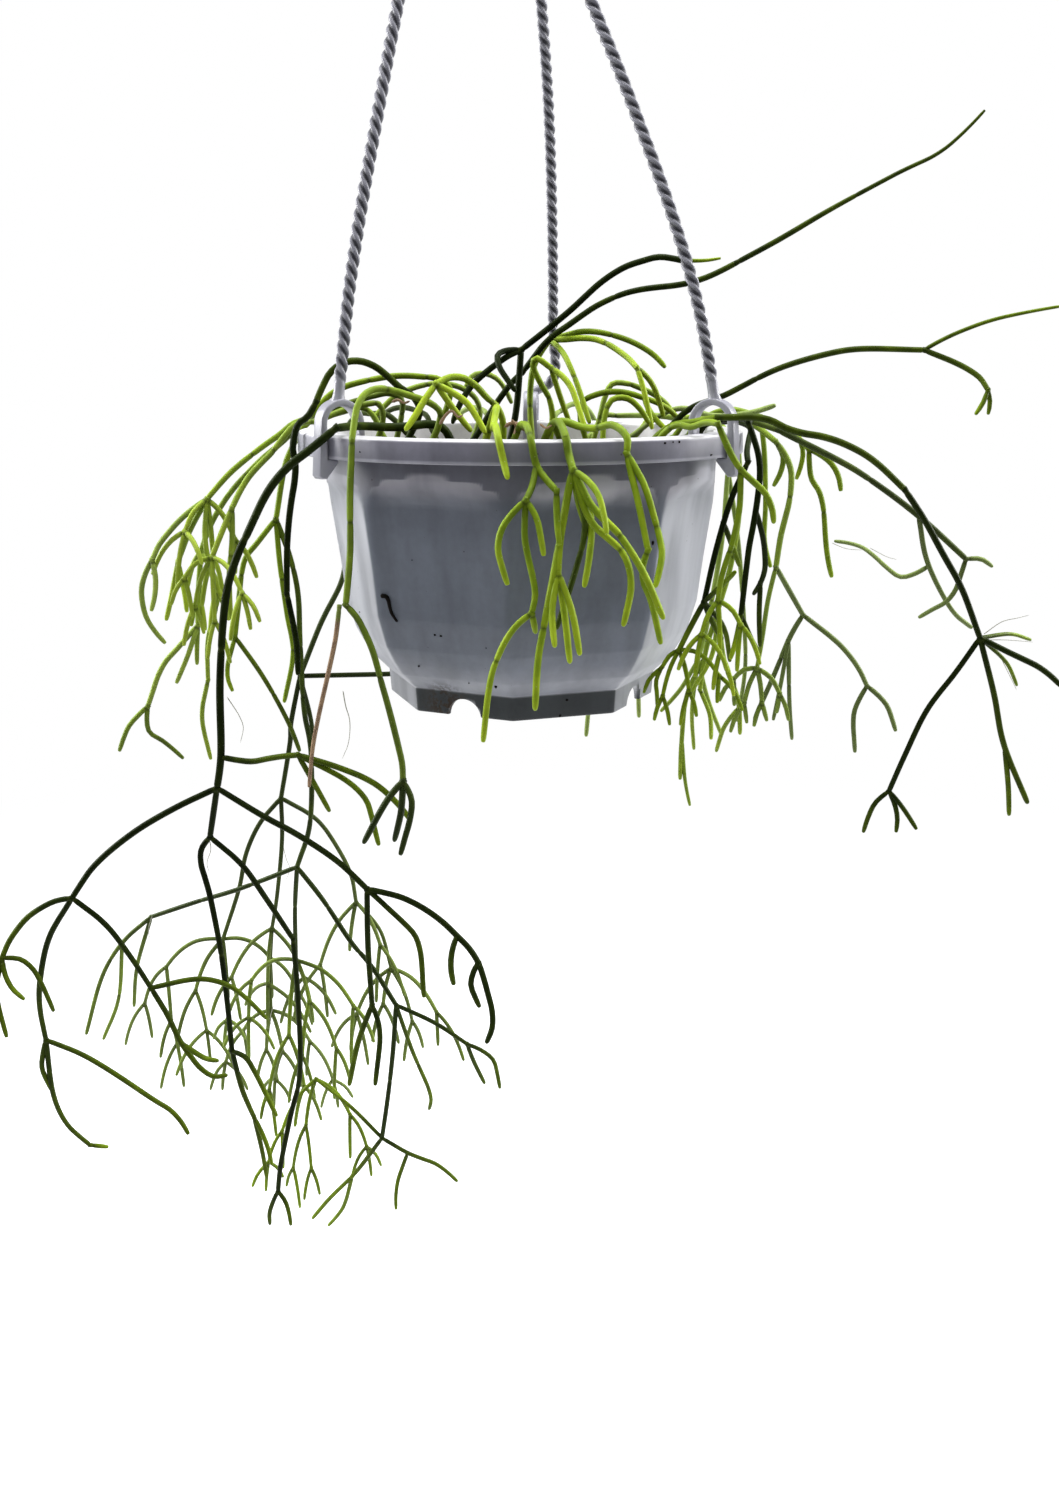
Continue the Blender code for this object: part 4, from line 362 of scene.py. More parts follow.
    (1.72, 1.56, 0.12, -122, -126, 560,540, 552,585, 545,620, 538,660, 535,711),
    (1.35, 1.2, 0.16, -120, -138, 573,470, 590,483, 601,502, 607,535),
    (1.3, 1.15, 0.18, -120, -112, 573,470, 579,505, 590,537),
    (1.6, 1.45, 0.12, -108, -122, 562,444, 574,478, 590,512, 590,550, 584,588),
    (1.25, 1.15, 0.62, -118, -110, 573,470, 585,525, 574,575, 556,630),
  )),
  "stem_front_c": ("young", (22, -58), (
    (1.72, 1.64, 0.26, -76, -106, 556,422, 584,429, 611,444, 626,455),
    (1.56, 1.48, 0.16, -118, 637,497, 648,550),
    (1.48, 1.26, 0.18, -114, 642,575, 652,604, 661,645),
    (1.56, 1.31, 0.16, -106, -126, 626,455, 643,482, 657,528, 662,555, 655,588),
  )),
  "stem_front_stub": ("young", (-18, -62), (
    (1.72, 1.56, 0.12, -80, -120, 496,408, 493,432, 499,452, 508,480),
  )),
  "stem_arch_left": ("young", (-8, -48), (
    (1.56, 1.56, 0.14, -52, -76, 502,416, 488,399, 470,381, 452,377, 436,384),
    (1.56, 1.31, 0.04, -88, 422,404, 405,434),
    (1.48, 1.26, 0.02, -76, -66, 436,384, 455,411, 472,432),
    (1.48, 1.26, 0.04, -76, -84, 436,384, 466,402, 486,434),
  )),
  "stem_arch_right": ("young", (6, 26), (
    (1.56, 1.56, 0.24, 28, 24, 530,400, 534,365, 549,338),
    (1.56, 1.39, 0.2, -10, 594,339, 623,354, 637,368),
    (1.31, 1.21, 0.04, -20, 644,391, 652,430),
    (1.31, 1.21, 0.04, -10, 2, 637,368, 653,385, 662,418),
    (1.39, 1.21, 0.36, 24, 10, 549,338, 586,331, 622,338, 650,352, 666,368),
    (1.39, 1.26, 0.18, 24, -6, 549,338, 562,351, 576,381, 590,424),
  )),
  "stem_arch_mid": ("young", (14, -14), (
    (1.48, 1.48, 0.2, -14, -22, 552,408, 538,378, 531,356, 551,368),
    (1.39, 1.21, 0.1, -40, 568,382, 578,406, 586,432),
    (1.31, 1.21, 0.08, -22, -12, 551,368, 560,396, 570,424),
  )),
  "stem_inner_a": ("young", (34, 8), (
    (1.48, 1.39, 0.26, 6, 10, 580,408, 598,394, 622,392, 644,398),
    (1.31, 1.21, 0.14, 16, 664,406, 680,420),
    (1.31, 1.21, 0.14, 10, -2, 644,398, 652,412, 668,430),
  )),
  "stem_inner_b": ("young", (40, -30), (
    (1.48, 1.31, 0.16, -28, -20, 604,420, 614,398, 634,402, 650,424),
  )),
  "stem_inner_c": ("young", (38, 44), (
    (1.48, 1.39, 0.22, 44, 54, 600,416, 612,384, 640,388, 664,402, 684,430),
  )),
  "stem_inner_d": ("young", (-26, 56), (
    (1.48, 1.39, 0.26, 56, 40, 480,408, 462,388, 430,384, 396,396, 372,420),
    (1.31, 1.21, 0.2, 56, 66, 462,388, 474,372, 498,380, 512,404),
  )),
  "stem_back_a": ("young", (-20, 78), (
    (1.48, 1.39, 0.28, 92, 122, 486,414, 470,408, 452,424, 440,470),
    (1.31, 1.21, 0.18, 128, 430,540, 436,600),
    (1.31, 1.21, 0.16, 122, 134, 440,470, 455,520, 462,590),
  )),
  "stem_back_b": ("young", (14, 80), (
    (1.48, 1.39, 0.26, 94, 124, 560,412, 580,404, 596,424, 604,470),
    (1.31, 1.21, 0.14, 130, 614,540, 602,640, 590,700, 586,737),
    (1.31, 1.21, 0.16, 124, 136, 604,470, 626,540, 636,630, 639,718),
  )),
  "stem_back_c": ("old", (-46, 70), (
    (1.48, 1.39, 0.9, 84, 112, 420,414, 396,408, 374,426, 366,470),
    (1.31, 1.26, 0.9, 116, 374,540, 392,610),
  )),
}

# Sprays of fine forked twigs that a rule grows: the stem, the depth and the place of the twig
# they start on as seen from the front, the first heading (across, down), the number of forks
# one after another, the length of a first twig, its radius and its age
sprays = (
    ("stem_left_back", 80, (223, 939), (-6, 30), 2, 38, 1.15, 0.48),
    ("stem_left_back", 90, (272, 928), (-4, 30), 1, 38, 1.15, 0.48),
    ("stem_left_back", 96, (271, 1010), (4, 30), 2, 30, 1.15, 0.48),
    ("stem_left_back", 96, (356, 902), (-6, 30), 1, 40, 1.15, 0.48),
    ("stem_left_back", 88, (391, 968), (4, 30), 1, 34, 1.15, 0.48),
    ("stem_left_d", 40, (296, 960), (4, 30), 2, 36, 1.15, 0.36),
    ("stem_left_d", 16, (316, 1079), (-10, 30), 2, 28, 1.05, 0.36),
    ("stem_left_a", -30, (207, 499), (4, 30), 1, 28, 1.2, 0.02),
    ("stem_left_b", -4, (201, 551), (-2, 30), 1, 26, 1.2, 0.02),
    ("stem_left_c", -42, (212, 557), (-6, 30), 1, 24, 1.1, 0.02),
    ("stem_right_dark_b", -46, (679, 650), (0, 30), 1, 22, 1.05, 0.30),
    ("stem_right_a", -80, (718, 600), (2, 30), 1, 22, 1.1, 0.14),
    ("stem_right_b", -28, (757, 668), (-4, 30), 1, 18, 1.15, 0.30),
)
sprayRule = {"seed": 7, "turn": 0.85, "shortening": 0.85, "droop": 0.5, "pieces": 3,
             "extraTwig": 0.3, "keptTips": (0.9, 0.6)}

# The dry brown shoot hangs from a joint of the front left stem
dryShoot = (1.0, 0.8, 0.42, -100, -96, 337, 607, 333, 640, 326, 676, 318, 714, 312, 749, 309, 788)
shootCarrier = ("stem_front_left", 1)


def seen(across, down, depth):
    # The point that lies at this place of the front view and at this depth
    cosine = math.cos(frontView["pitch"])
    sine = math.sin(frontView["pitch"])
    rise = (frontView["centre"][1] - down) / frontView["scale"]
    slide = (across - frontView["centre"][0]) / frontView["scale"]
    eye = frontView["eye"]
    reach = (depth - eye[1]) / (cosine + rise * sine)
    return np.array((eye[0] + reach * slide, depth, eye[2] + reach * (rise * cosine - sine)))


def around(azimuth, reach, height=0.0):
    # The place at this azimuth (0 in front, 90 to the right), distance from the axis and height
    angle = np.radians(azimuth)
    parts = np.broadcast_arrays(reach * np.sin(angle), -reach * np.cos(angle), height)
    return np.stack(parts, -1)


# Meshes from arrays
def makeMesh(name, points, quads, tris, marks=None):
    # marks: values that each point carries, by name
    corners = np.concatenate((quads.ravel(), tris.ravel())).astype(np.int32)
    starts = np.concatenate((np.arange(len(quads)) * 4, len(quads) * 4 + np.arange(len(tris)) * 3))
    mesh = bpy.data.meshes.new(name)
    mesh.vertices.add(len(points))
    mesh.vertices.foreach_set("co", ((points + rimCentre) * mm).astype(np.float32).ravel())
    mesh.loops.add(len(corners))
    mesh.loops.foreach_set("vertex_index", corners)
    mesh.polygons.add(len(starts))
    mesh.polygons.foreach_set("loop_start", starts.astype(np.int32))
    mesh.update(calc_edges=True)
    for key, values in (marks or {}).items():
        setMark(mesh, key, values)
    mesh.validate()
    mesh.shade_smooth()
    return mesh


def setMark(mesh, name, values):
    kind, field = ("FLOAT_VECTOR", "vector") if values.ndim == 2 else ("FLOAT", "value")
    made = mesh.attributes.new(name, kind, "POINT")
    made.data.foreach_set(field, values.astype(np.float32).ravel())


def newObject(name, data):
    made = bpy.data.objects.new(name, data)
    bpy.context.scene.collection.objects.link(made)
    return made


def addPiece(name, mesh, material, nodes=()):
    piece = newObject(name, mesh)
    mesh.materials.clear()
    mesh.materials.append(material)
    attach(piece, "root")
    if nodes:
        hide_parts(*nodes)
    return piece


def gridQuads(rows, columns, flipped=False):
    # Quads of a grid of rows that close around
    row = np.arange(rows - 1)[:, None] * columns
    here = np.arange(columns)[None]
    after = (here + 1) % columns
    corners = (row + here, row + after, row + columns + after, row + columns + here)
    if flipped:
        corners = corners[::-1]
    return np.stack([np.broadcast_to(c, (rows - 1, columns)) for c in corners], -1).reshape(-1, 4)


def endTris(rows, columns, flipped=False):
    # Triangles that close such a grid's first and last row to the two points after its own
    here = np.arange(columns)
    after = (here + 1) % columns
    last = (rows - 1) * columns
    first = np.stack((np.full(columns, rows * columns), after, here), 1)
    final = np.stack((np.full(columns, rows * columns + 1), last + here, last + after), 1)
    tris = np.vstack((first, final))
    return tris[:, [0, 2, 1]] if flipped else tris


def unit(vectors):
    return vectors / np.maximum(np.linalg.norm(vectors, axis=-1, keepdims=True), 1e-9)


def sweep(route, sections):
    # Carries closed sections along the route. sections holds, for each point of the route, the
    # section's points as (side, up) offsets; each end closes in a point on the route
    tangent = unit(np.gradient(route, axis=0))
    flattest = np.linalg.svd(tangent, full_matrices=True)[2][2]
    side = unit(np.cross(tangent, flattest))
    up = np.cross(tangent, side)
    rings = route[:, None] + sections[:, :, :1] * side[:, None] + sections[:, :, 1:] * up[:, None]
    points = np.vstack((rings.reshape(-1, 3), route[:1], route[-1:]))
    size = sections.shape[:2]
    return points, gridQuads(*size), endTris(*size)


def roundSections(radii, sides):
    turn = np.arange(sides) * 2.0 * math.pi / sides
    return radii[:, None, None] * np.stack((np.cos(turn), np.sin(turn)), -1)[None]


def skinOf(sections, run):
    # The mark "skin": each point's place in its section and along the stem, in mm
    along = np.broadcast_to(run[:, None, None], (*sections.shape[:2], 1))
    skin = np.concatenate((sections, along), 2).reshape(-1, 3)
    return np.vstack((skin, (0, 0, run[0]), (0, 0, run[-1])))


def joinParts(parts):
    # Several (points, quads, tris, marks) as one
    points, quads, tris, marks = zip(*parts)
    offsets = np.cumsum([0] + [len(p) for p in points[:-1]])
    joined = {key: np.concatenate([m[key] for m in marks]) for key in marks[0]}
    return (np.vstack(points), np.vstack([q + o for q, o in zip(quads, offsets)]),
            np.vstack([t + o for t, o in zip(tris, offsets)]), joined)


def smoothRoute(points, step):
    # Catmull-Rom curve through the points, read at even steps
    points = np.asarray(points, float)
    if len(points) == 2:
        fine = points[0] + np.linspace(0.0, 1.0, 9)[:, None] * (points[1] - points[0])
    else:
        ends = np.vstack((2 * points[0] - points[1], points, 2 * points[-1] - points[-2]))
        share = np.linspace(0.0, 1.0, 13)[:-1, None]
        pieces = [0.5 * (2 * b + (c - a) * share + (2 * a - 5 * b + 4 * c - d) * share**2
                         + (3 * b - a - 3 * c + d) * share**3)
                  for a, b, c, d in zip(ends, ends[1:], ends[2:], ends[3:])]
        fine = np.vstack((*pieces, points[-1]))
    run = arcLength(fine)
    count = max(2, round(run[-1] / step) + 1)
    return readAlong(fine, run, np.linspace(0.0, run[-1], count))


def arcLength(points):
    return np.r_[0.0, np.cumsum(np.linalg.norm(np.diff(points, axis=0), axis=1))]


def readAlong(points, run, at):
    return np.stack([np.interp(at, run, points[:, axis]) for axis in range(3)], axis=1)


# The layout of the stems
def fullRows(table):
    # Adds the first depth and point to each row that goes on from the end of the row before it
    rows = []
    for row in table:
        if len(row) % 2 == 0:
            row = (*row[:3], rows[-1][4], row[3], *rows[-1][-2:], *row[4:])
        rows.append(row)
    return rows


def runPoints(row):
    places = np.reshape(row[5:], (-1, 2))
    depths = np.linspace(row[3], row[4], len(places))
    return [seen(across, down, depth) for (across, down), depth in zip(places, depths)]


def growSpray(place, heading, forks, length, radius, seed):
    # Twigs that fork again and again: each leans outward, then bends down under its weight
    random = np.random.RandomState(seed)
    rule = sprayRule
    grown = []
    tips = [(np.asarray(place, float), np.asarray(heading, float), length, radius)]
    for level in range(forks + 1):
        following = []
        for start, aim, size, thickness in tips:
            count = 2 if level else 3
            count += int(random.rand() < rule["extraTwig"])
            for index in range(count):
                turn = rule["turn"] * (index - (count - 1) / 2.0) * (0.7 + 0.6 * random.rand())
                swing = math.pi * (random.rand() - 0.5) * 0.5
                side = np.array((math.cos(swing), math.sin(swing), 0.0))
                way = aim * math.cos(turn) + side * math.sin(turn)
                way /= np.linalg.norm(way)
                reach = size * (0.7 + 0.6 * random.rand()) / rule["pieces"]
                route = [start]
                for _ in range(rule["pieces"]):
                    route.append(route[-1] + way * reach)
                    way = way + np.array((0.0, 0.0, -rule["droop"]))
                    way /= np.linalg.norm(way)
                grown.append((thickness, thickness * 0.9, route))
                following.append((route[-1], way, size * rule["shortening"], thickness * 0.95))
        keep = rule["keptTips"][min(level, 1)]
        tips = [tip for tip in following if random.rand() < keep]
    return grown


def layOutStems():
    # All runs as rows of point numbers, so that runs that meet share the point they meet in
    points = []
    runs = []
    names = [*stemRoutes, "dry_shoot"]

    def addRun(owner, route, firstRadius, lastRadius, age, joins=True):
        numbers = list(range(len(points), len(points) + len(route)))
        if joins:
            mine = [number for row in runs if row["owner"] == owner for number in row["points"]]
            near = np.linalg.norm(np.array([points[n] for n in mine]) - route[0], axis=1)
            shared = mine[int(near.argmin())]
            route = route + (points[shared] - route[0]) * np.linspace(1, 0, len(route))[:, None]
            numbers = [shared, *numbers[:-1]]
            route = route[1:]
        points.extend(route)
        radii = np.linspace(firstRadius, lastRadius, len(numbers))
        runs.append({"owner": owner, "points": numbers, "radii": radii, "age": age,
                     "rooted": not joins})

    for owner, name in enumerate(stemRoutes):
        _, base, table = stemRoutes[name]
        for number, row in enumerate(fullRows(table)):
            route = runPoints(row)
            if number == 0:
                low = np.array((*base, soilShape["top"] - soilShape["holeDepth"]))
                high = np.array((*base, soilShape["top"] + soilShape["straightFoot"]))
                upper = smoothRoute([high + (0, 0, 0.01), *route], stemBend["step"])
                route = np.vstack((low, upper))
            else:
                route = smoothRoute(route, stemBend["step"])
            addRun(owner, route, *row[:3], number > 0)
    for number, (name, depth, place, heading, forks, length, radius, age) in enumerate(sprays):
        start = seen(*place, depth)
        aim = seen(place[0] + heading[0], place[1] + heading[1], depth) - start
        aim /= np.linalg.norm(aim)
        seed = sprayRule["seed"] + number
        for first, last, route in growSpray(start, aim, forks, length, radius, seed):
            addRun(names.index(name), smoothRoute(route, stemBend["step"]), first, last, age)
    addRun(len(names) - 1, smoothRoute(runPoints(dryShoot), stemBend["step"]), *dryShoot[:3], False)
    return np.array(points), runs, names


def legRoute(azimuth, view):
    # The rod bows outward: its depth falls from the clip's to the hub's along a curve
    clip = around(azimuth, (potShape["rimInner"] + potShape["rimRadius"]) / 2.0,
                  hangerShape["archHeight"] + 11.0)
    top = hubPlace + around(azimuth, hangerShape["circle"], -soilShape["fitGap"])
    route = [clip]
    lowest, highest = view[0][1], -250.0
    for across, down in view:
        share = (lowest - down) / (lowest - highest)
        bowed = 1.0 - (1.0 - share) * (1.0 + hangerShape["bow"] * share)
        route.append(seen(across, down, clip[1] + (top[1] - clip[1]) * bowed))
    route.append(top - (0, 0, 7.0))
    return np.vstack((smoothRoute(route, hangerShape["routeStep"]), top))


def thingsToClear():
    # Lines that stems pass around, with their radii: the rods, the clips' bands, and the rim's
    # outer and inner corner and the skirt's foot
    lines = []
    for azimuth, view in hangerLegs.values():
        lines.append((legRoute(azimuth, view), hangerShape["legRadius"]))
        lines.append((around(azimuth, *np.transpose(hangerShape["band"])), hangerShape["clipHalfWidth"]))
    for reach, height, thick in ((108.6, -1.4, 1.6), (109.3, -9.0, 1.3), (97.2, -1.5, 1.6)):
        lines.append((around(np.linspace(0.0, 360.0, 49), reach, height), thick))
    return lines


def nearestOnSegments(a, b, c, d):
    # Nearest points of segments ab and cd, all rows at once
    u, v, w = b - a, d - c, a - c
    uu, uv, vv, uw, vw = ((p * q).sum(1) for p, q in ((u, u), (u, v), (v, v), (u, w), (v, w)))
    cross = uu * vv - uv * uv
    s = np.where(cross > 1e-9, (uv * vw - vv * uw) / np.maximum(cross, 1e-9), 0.0)
    s = np.clip(s, 0.0, 1.0)
    t = np.clip((uv * s + vw) / np.maximum(vv, 1e-9), 0.0, 1.0)
    s = np.clip((uv * t - uw) / np.maximum(uu, 1e-9), 0.0, 1.0)
    return s, t, a + u * s[:, None] - c - v * t[:, None]


def potRadius(height):
    table = [(-140.0, 60.0), (-potShape["height"], 69.0)]
    table += [(h, r) for h, r, _ in reversed(potShape["sections"])]
    skirt = potShape["rimRadius"] + potShape["flare"]
    table += [(-9.0, skirt), (60.0, skirt)]
    heights, radii = zip(*table)
    outer = np.interp(height, heights, radii)
    return np.where(height > -potShape["skirtDepth"] - 1.0, potShape["rimRadius"] + 0.5, outer)


def pushOffPot(points, radii):
    # Stems stay outside the pot's wall, above its rim and above the soil
    overRim, wallTop = 100.0, -30.0
    reach = np.hypot(points[:, 0], points[:, 1])
    height = points[:, 2]
    room = radii + stemBend["gap"]
    moved = points.copy()
    outward = points[:, :2] / np.maximum(reach, 1e-6)[:, None]
    wall = potRadius(height) + room
    beside = (height < room) & (height > -potShape["height"] - 4.0)
    beside &= (reach > overRim * (height > -40.0)) & (reach < wall)
    drop = room - height
    over = beside & (drop < wall - reach) & (height > -8.0)
    moved[over, 2] += drop[over]
    out = beside & ~over & ((reach > overRim) | (height < wallTop))
    moved[out, :2] += outward[out] * (wall - reach)[out, None]
    insideLimit = potShape["rimInner"] - 1.0 - room
    inner = (reach <= overRim) & (height < room) & (height > wallTop)
    beyond = inner & (reach > insideLimit)
    lift = beyond & (height > -6.0)
    moved[lift, 2] += drop[lift]
    inward = beyond & (height <= -6.0)
    moved[inward, :2] -= outward[inward] * (reach - insideLimit)[inward, None]
    lowest = soilShape["top"] + room
    low = inner & (reach <= insideLimit) & (height < lowest)
    moved[low, 2] = lowest[low]
    return moved


def middlesAndSizes(a, b, radii):
    return (a + b) / 2.0, np.linalg.norm(b - a, axis=1) / 2.0 + radii


def closer(first, second, firstSize, secondSize):
    away = np.linalg.norm(first[:, None] - second[None], axis=2)
    return away < firstSize[:, None] + secondSize[None]


def tooNear(a, b, c, d, wanted):
    # Which segments ab and cd are nearer than wanted, where, in what direction and by how much
    s, t, gap = nearestOnSegments(a, b, c, d)
    length = np.linalg.norm(gap, axis=1)
    hit = length < wanted
    way = gap / np.maximum(length, 1e-6)[:, None]
    return hit, s[hit], t[hit], way[hit], (wanted - length)[hit]


def bendClear(points, runs, fixedLines):
    # Bends stems of different nodes away from each other and from the pot, the clips and rods:
    # step = direction apart * (both radii + gap - distance), half of it for each of two stems
    start = points
    points = points.copy()
    bend = stemBend
    radius = np.zeros(len(points))
    for run in runs:
        radius[run["points"]] = np.maximum(radius[run["points"]], run["radii"])
    feet = {run["points"][0]: run["points"][1] for run in runs[:-1]
            if run["rooted"] and len(run["points"]) > 3}
    footLow, footHigh = np.array(list(feet.items())).T
    first = np.concatenate([run["points"][:-1] for run in runs])
    second = np.concatenate([run["points"][1:] for run in runs])
    owner = np.repeat([run["owner"] for run in runs], [len(run["points"]) - 1 for run in runs])
    thick = np.concatenate([np.maximum(run["radii"][:-1], run["radii"][1:]) for run in runs])
    fixedA = np.concatenate([line[:-1] for line, _ in fixedLines])
    fixedB = np.concatenate([line[1:] for line, _ in fixedLines])
    fixedR = np.repeat([r for _, r in fixedLines], [len(line) - 1 for line, _ in fixedLines])
    above = np.ones(len(points), bool)
    above[footLow] = False
    free = above[:, None] * 1.0
    fixedMiddle, fixedSize = middlesAndSizes(fixedA, fixedB, fixedR)

    def shove(rows, share, step):
        for ends, part in ((first[rows], 1.0 - share), (second[rows], share)):
            np.add.at(push, ends, step * part[:, None])
            np.add.at(weight, ends, part)

    for turn in range(bend["rounds"]):
        a, b = points[first], points[second]
        if turn % bend["pairingRounds"] == 0:
            middle, size = middlesAndSizes(a, b, thick + (bend["gap"] + bend["pairingMargin"]) / 2.0)
            near = closer(middle, middle, size, size)
            pairs = np.nonzero(near & (owner[:, None] < owner[None]))
            fixedPairs = np.nonzero(closer(middle, fixedMiddle, size, fixedSize))
        push = np.zeros_like(points)
        weight = np.zeros(len(points))
        i, j = pairs
        hit, s, t, way, lack = tooNear(a[i], b[i], a[j], b[j], thick[i] + thick[j] + bend["gap"])
        way = (way + (0.0, 1e-3, 0.0)) * (1.0, bend["depthShare"], 1.0)
        way /= np.linalg.norm(way, axis=1)[:, None]
        step = way * (lack * 0.5)[:, None]
        shove(i[hit], s, step)
        shove(j[hit], t, -step)
        i, j = fixedPairs
        hit, s, t, way, lack = tooNear(a[i], b[i], fixedA[j], fixedB[j],
                                       thick[i] + fixedR[j] + bend["gap"])
        shove(i[hit], s, way * lack[:, None])
        push /= np.maximum(weight, 1.0)[:, None]
        spread = np.zeros_like(points)
        count = np.zeros(len(points))
        for run in runs:
            rows = np.array(run["points"])
            mine = push[rows]
            if len(rows) > 2:
                mine[1:] += 0.5 * push[rows[:-1]]
                mine[:-1] += 0.5 * push[rows[1:]]
            spread[rows] += mine
            count[rows] += 1.0
        points += spread / np.maximum(count, 1.0)[:, None] * free
        points += (start - points) * bend["pullBack"] * free
        points[above] = pushOffPot(points[above], radius[above])
        points[footLow, :2] = points[footHigh, :2]
        points[footHigh, 2] = soilShape["top"] + soilShape["straightFoot"]
    return points


def seatShoot(points, runs, names):
    # The dry shoot's upper end lies beside the joint that it grew from
    name, number = shootCarrier
    carrier = [run for run in runs if run["owner"] == names.index(name)][number]
    shoot = runs[-1]
    beside = carrier["radii"][-1] + shoot["radii"][0] + soilShape["fitGap"]
    shift = points[carrier["points"][-1]] - (beside, 0.0, 0.0) - points[shoot["points"][0]]
    share = np.linspace(1.0, 0.0, len(shoot["points"]))[:, None]
    points[shoot["points"]] += shift * share


# Node helpers
def feed(tree, socket, value):
    # A value is a number, a colour or another node's output
    if isinstance(value, bpy.types.NodeSocket):
        tree.links.new(value, socket)
    elif socket.type == "RGBA" and len(value) == 3:
        socket.default_value = (*value, 1.0)
    else:
        socket.default_value = value


def put(tree, kind, inputs=None, **settings):
    node = tree.nodes.new(kind)
    for key, value in settings.items():
        setattr(node, key, value)
    for key, value in (inputs or {}).items():
        feed(tree, node.inputs[key], value)
    return node


def maths(tree, operation, first, second=0.0, third=0.0, clamp=False):
    return put(tree, "ShaderNodeMath", {0: first, 1: second, 2: third}, operation=operation,
               use_clamp=clamp).outputs[0]


def times(tree, *values):
    # Product of all the values
    total = values[0]
    for value in values[1:]:
        total = maths(tree, "MULTIPLY", total, value)
    return total


def between(tree, value, low, high, toLow=0.0, toHigh=1.0):
    # toLow below low, toHigh above high and a smooth step in between
    return put(tree, "ShaderNodeMapRange", {"Value": value, "From Min": low, "From Max": high,
                                            "To Min": toLow, "To Max": toHigh},
               interpolation_type="SMOOTHSTEP").outputs[0]


def fades(tree, *steps):
    # Product of smooth steps, each given as the inputs of between
    return times(tree, *(between(tree, *step) for step in steps))


def vector(tree, operation, first, **inputs):
    node = put(tree, "ShaderNodeVectorMath", {0: first}, operation=operation)
    for key, value in inputs.items():
        feed(tree, node.inputs[1 if key == "second" else key], value)
    return node.outputs["Value" if operation in ("LENGTH", "DISTANCE") else "Vector"]


def mixColour(tree, factor, first, second):
    # first * (1 - factor) + second * factor
    node = put(tree, "ShaderNodeMix", data_type="RGBA", clamp_factor=True)
    sockets = {socket.identifier: socket for socket in (*node.inputs, *node.outputs)}
    for key, value in (("Factor_Float", factor), ("A_Color", first), ("B_Color", second)):
        feed(tree, sockets[key], value)
    return sockets["Result_Color"]


def ramp(tree, value, stops):
    node = put(tree, "ShaderNodeValToRGB", {0: value})
    band = node.color_ramp
    while len(band.elements) < len(stops):
        band.elements.new(0.5)
    for element, (place, colour) in zip(band.elements, stops):
        element.position = place
        element.color = (*colour, 1.0)
    return node.outputs[0]


def noise(tree, where, scale, detail, roughness=0.5):
    return put(tree, "ShaderNodeTexNoise", {"Vector": where, "Scale": scale, "Detail": detail,
                                            "Roughness": roughness}).outputs[0]


def stretch(tree, where, scales):
    return put(tree, "ShaderNodeMapping", {"Vector": where, "Scale": scales}).outputs[0]


def mark(tree, name, kind="Fac"):
    # A value that the mesh itself carries
    return put(tree, "ShaderNodeAttribute", attribute_name=name).outputs[kind]


def newGroup(name, inputs, outputs):
    group = bpy.data.node_groups.new(name, "ShaderNodeTree")
    for label, default in inputs:
        kind = "NodeSocketVector" if default is None else "NodeSocketFloat"
        socket = group.interface.new_socket(name=label, in_out="INPUT", socket_type=kind)
        if default is not None:
            socket.default_value = default
    for label in outputs:
        group.interface.new_socket(name=label, in_out="OUTPUT", socket_type="NodeSocketFloat")
    given = group.nodes.new("NodeGroupInput").outputs
    return group, given, group.nodes.new("NodeGroupOutput").inputs


def makeMottleGroup():
    # Soft uneven patches with a finer grain on top: Height = 0.7 patches + 0.3 grain,
    # Value = 1 + 2 * (Height - 0.5) * Strength
    group, given, result = newGroup("softMottle", (("Vector", None), ("Scale", 40.0), ("Strength", 0.1)),
                                    ("Value", "Height"))
    scaled = vector(group, "SCALE", given["Vector"], Scale=given["Scale"])
    patches = noise(group, scaled, 1.0, 3.0, 0.55)
    grain = noise(group, scaled, 9.0, 2.0, 0.6)
    height = maths(group, "ADD", times(group, patches, 0.7), times(group, grain, 0.3))
    offset = times(group, maths(group, "SUBTRACT", height, 0.5), 2.0)
    feed(group, result["Value"], maths(group, "MULTIPLY_ADD", offset, given["Strength"], 1.0))
    feed(group, result["Height"], height)
    return group


def makeSpeckGroup():
    # Scattered round specks: a Share of the cells hold one, Mask = 1 within Size of its middle
    group, given, result = newGroup("dirtSpecks", (("Vector", None), ("Scale", 120.0), ("Size", 0.12),
                                                   ("Share", 0.12)), ("Mask",))
    scaled = vector(group, "SCALE", given["Vector"], Scale=given["Scale"])
    cells = put(group, "ShaderNodeTexVoronoi", {"Vector": scaled, "Scale": 1.0, "Randomness": 1.0},
                feature="F1").outputs
    chance = put(group, "ShaderNodeSeparateColor", {0: cells["Color"]}).outputs
    kept = maths(group, "LESS_THAN", chance[0], given["Share"])
    size = times(group, given["Size"], maths(group, "ADD", chance[1], 0.4))
    edge = maths(group, "MULTIPLY", maths(group, "SUBTRACT", size, cells["Distance"]), 14.0, clamp=True)
    feed(group, result["Mask"], times(group, edge, kept))
    return group


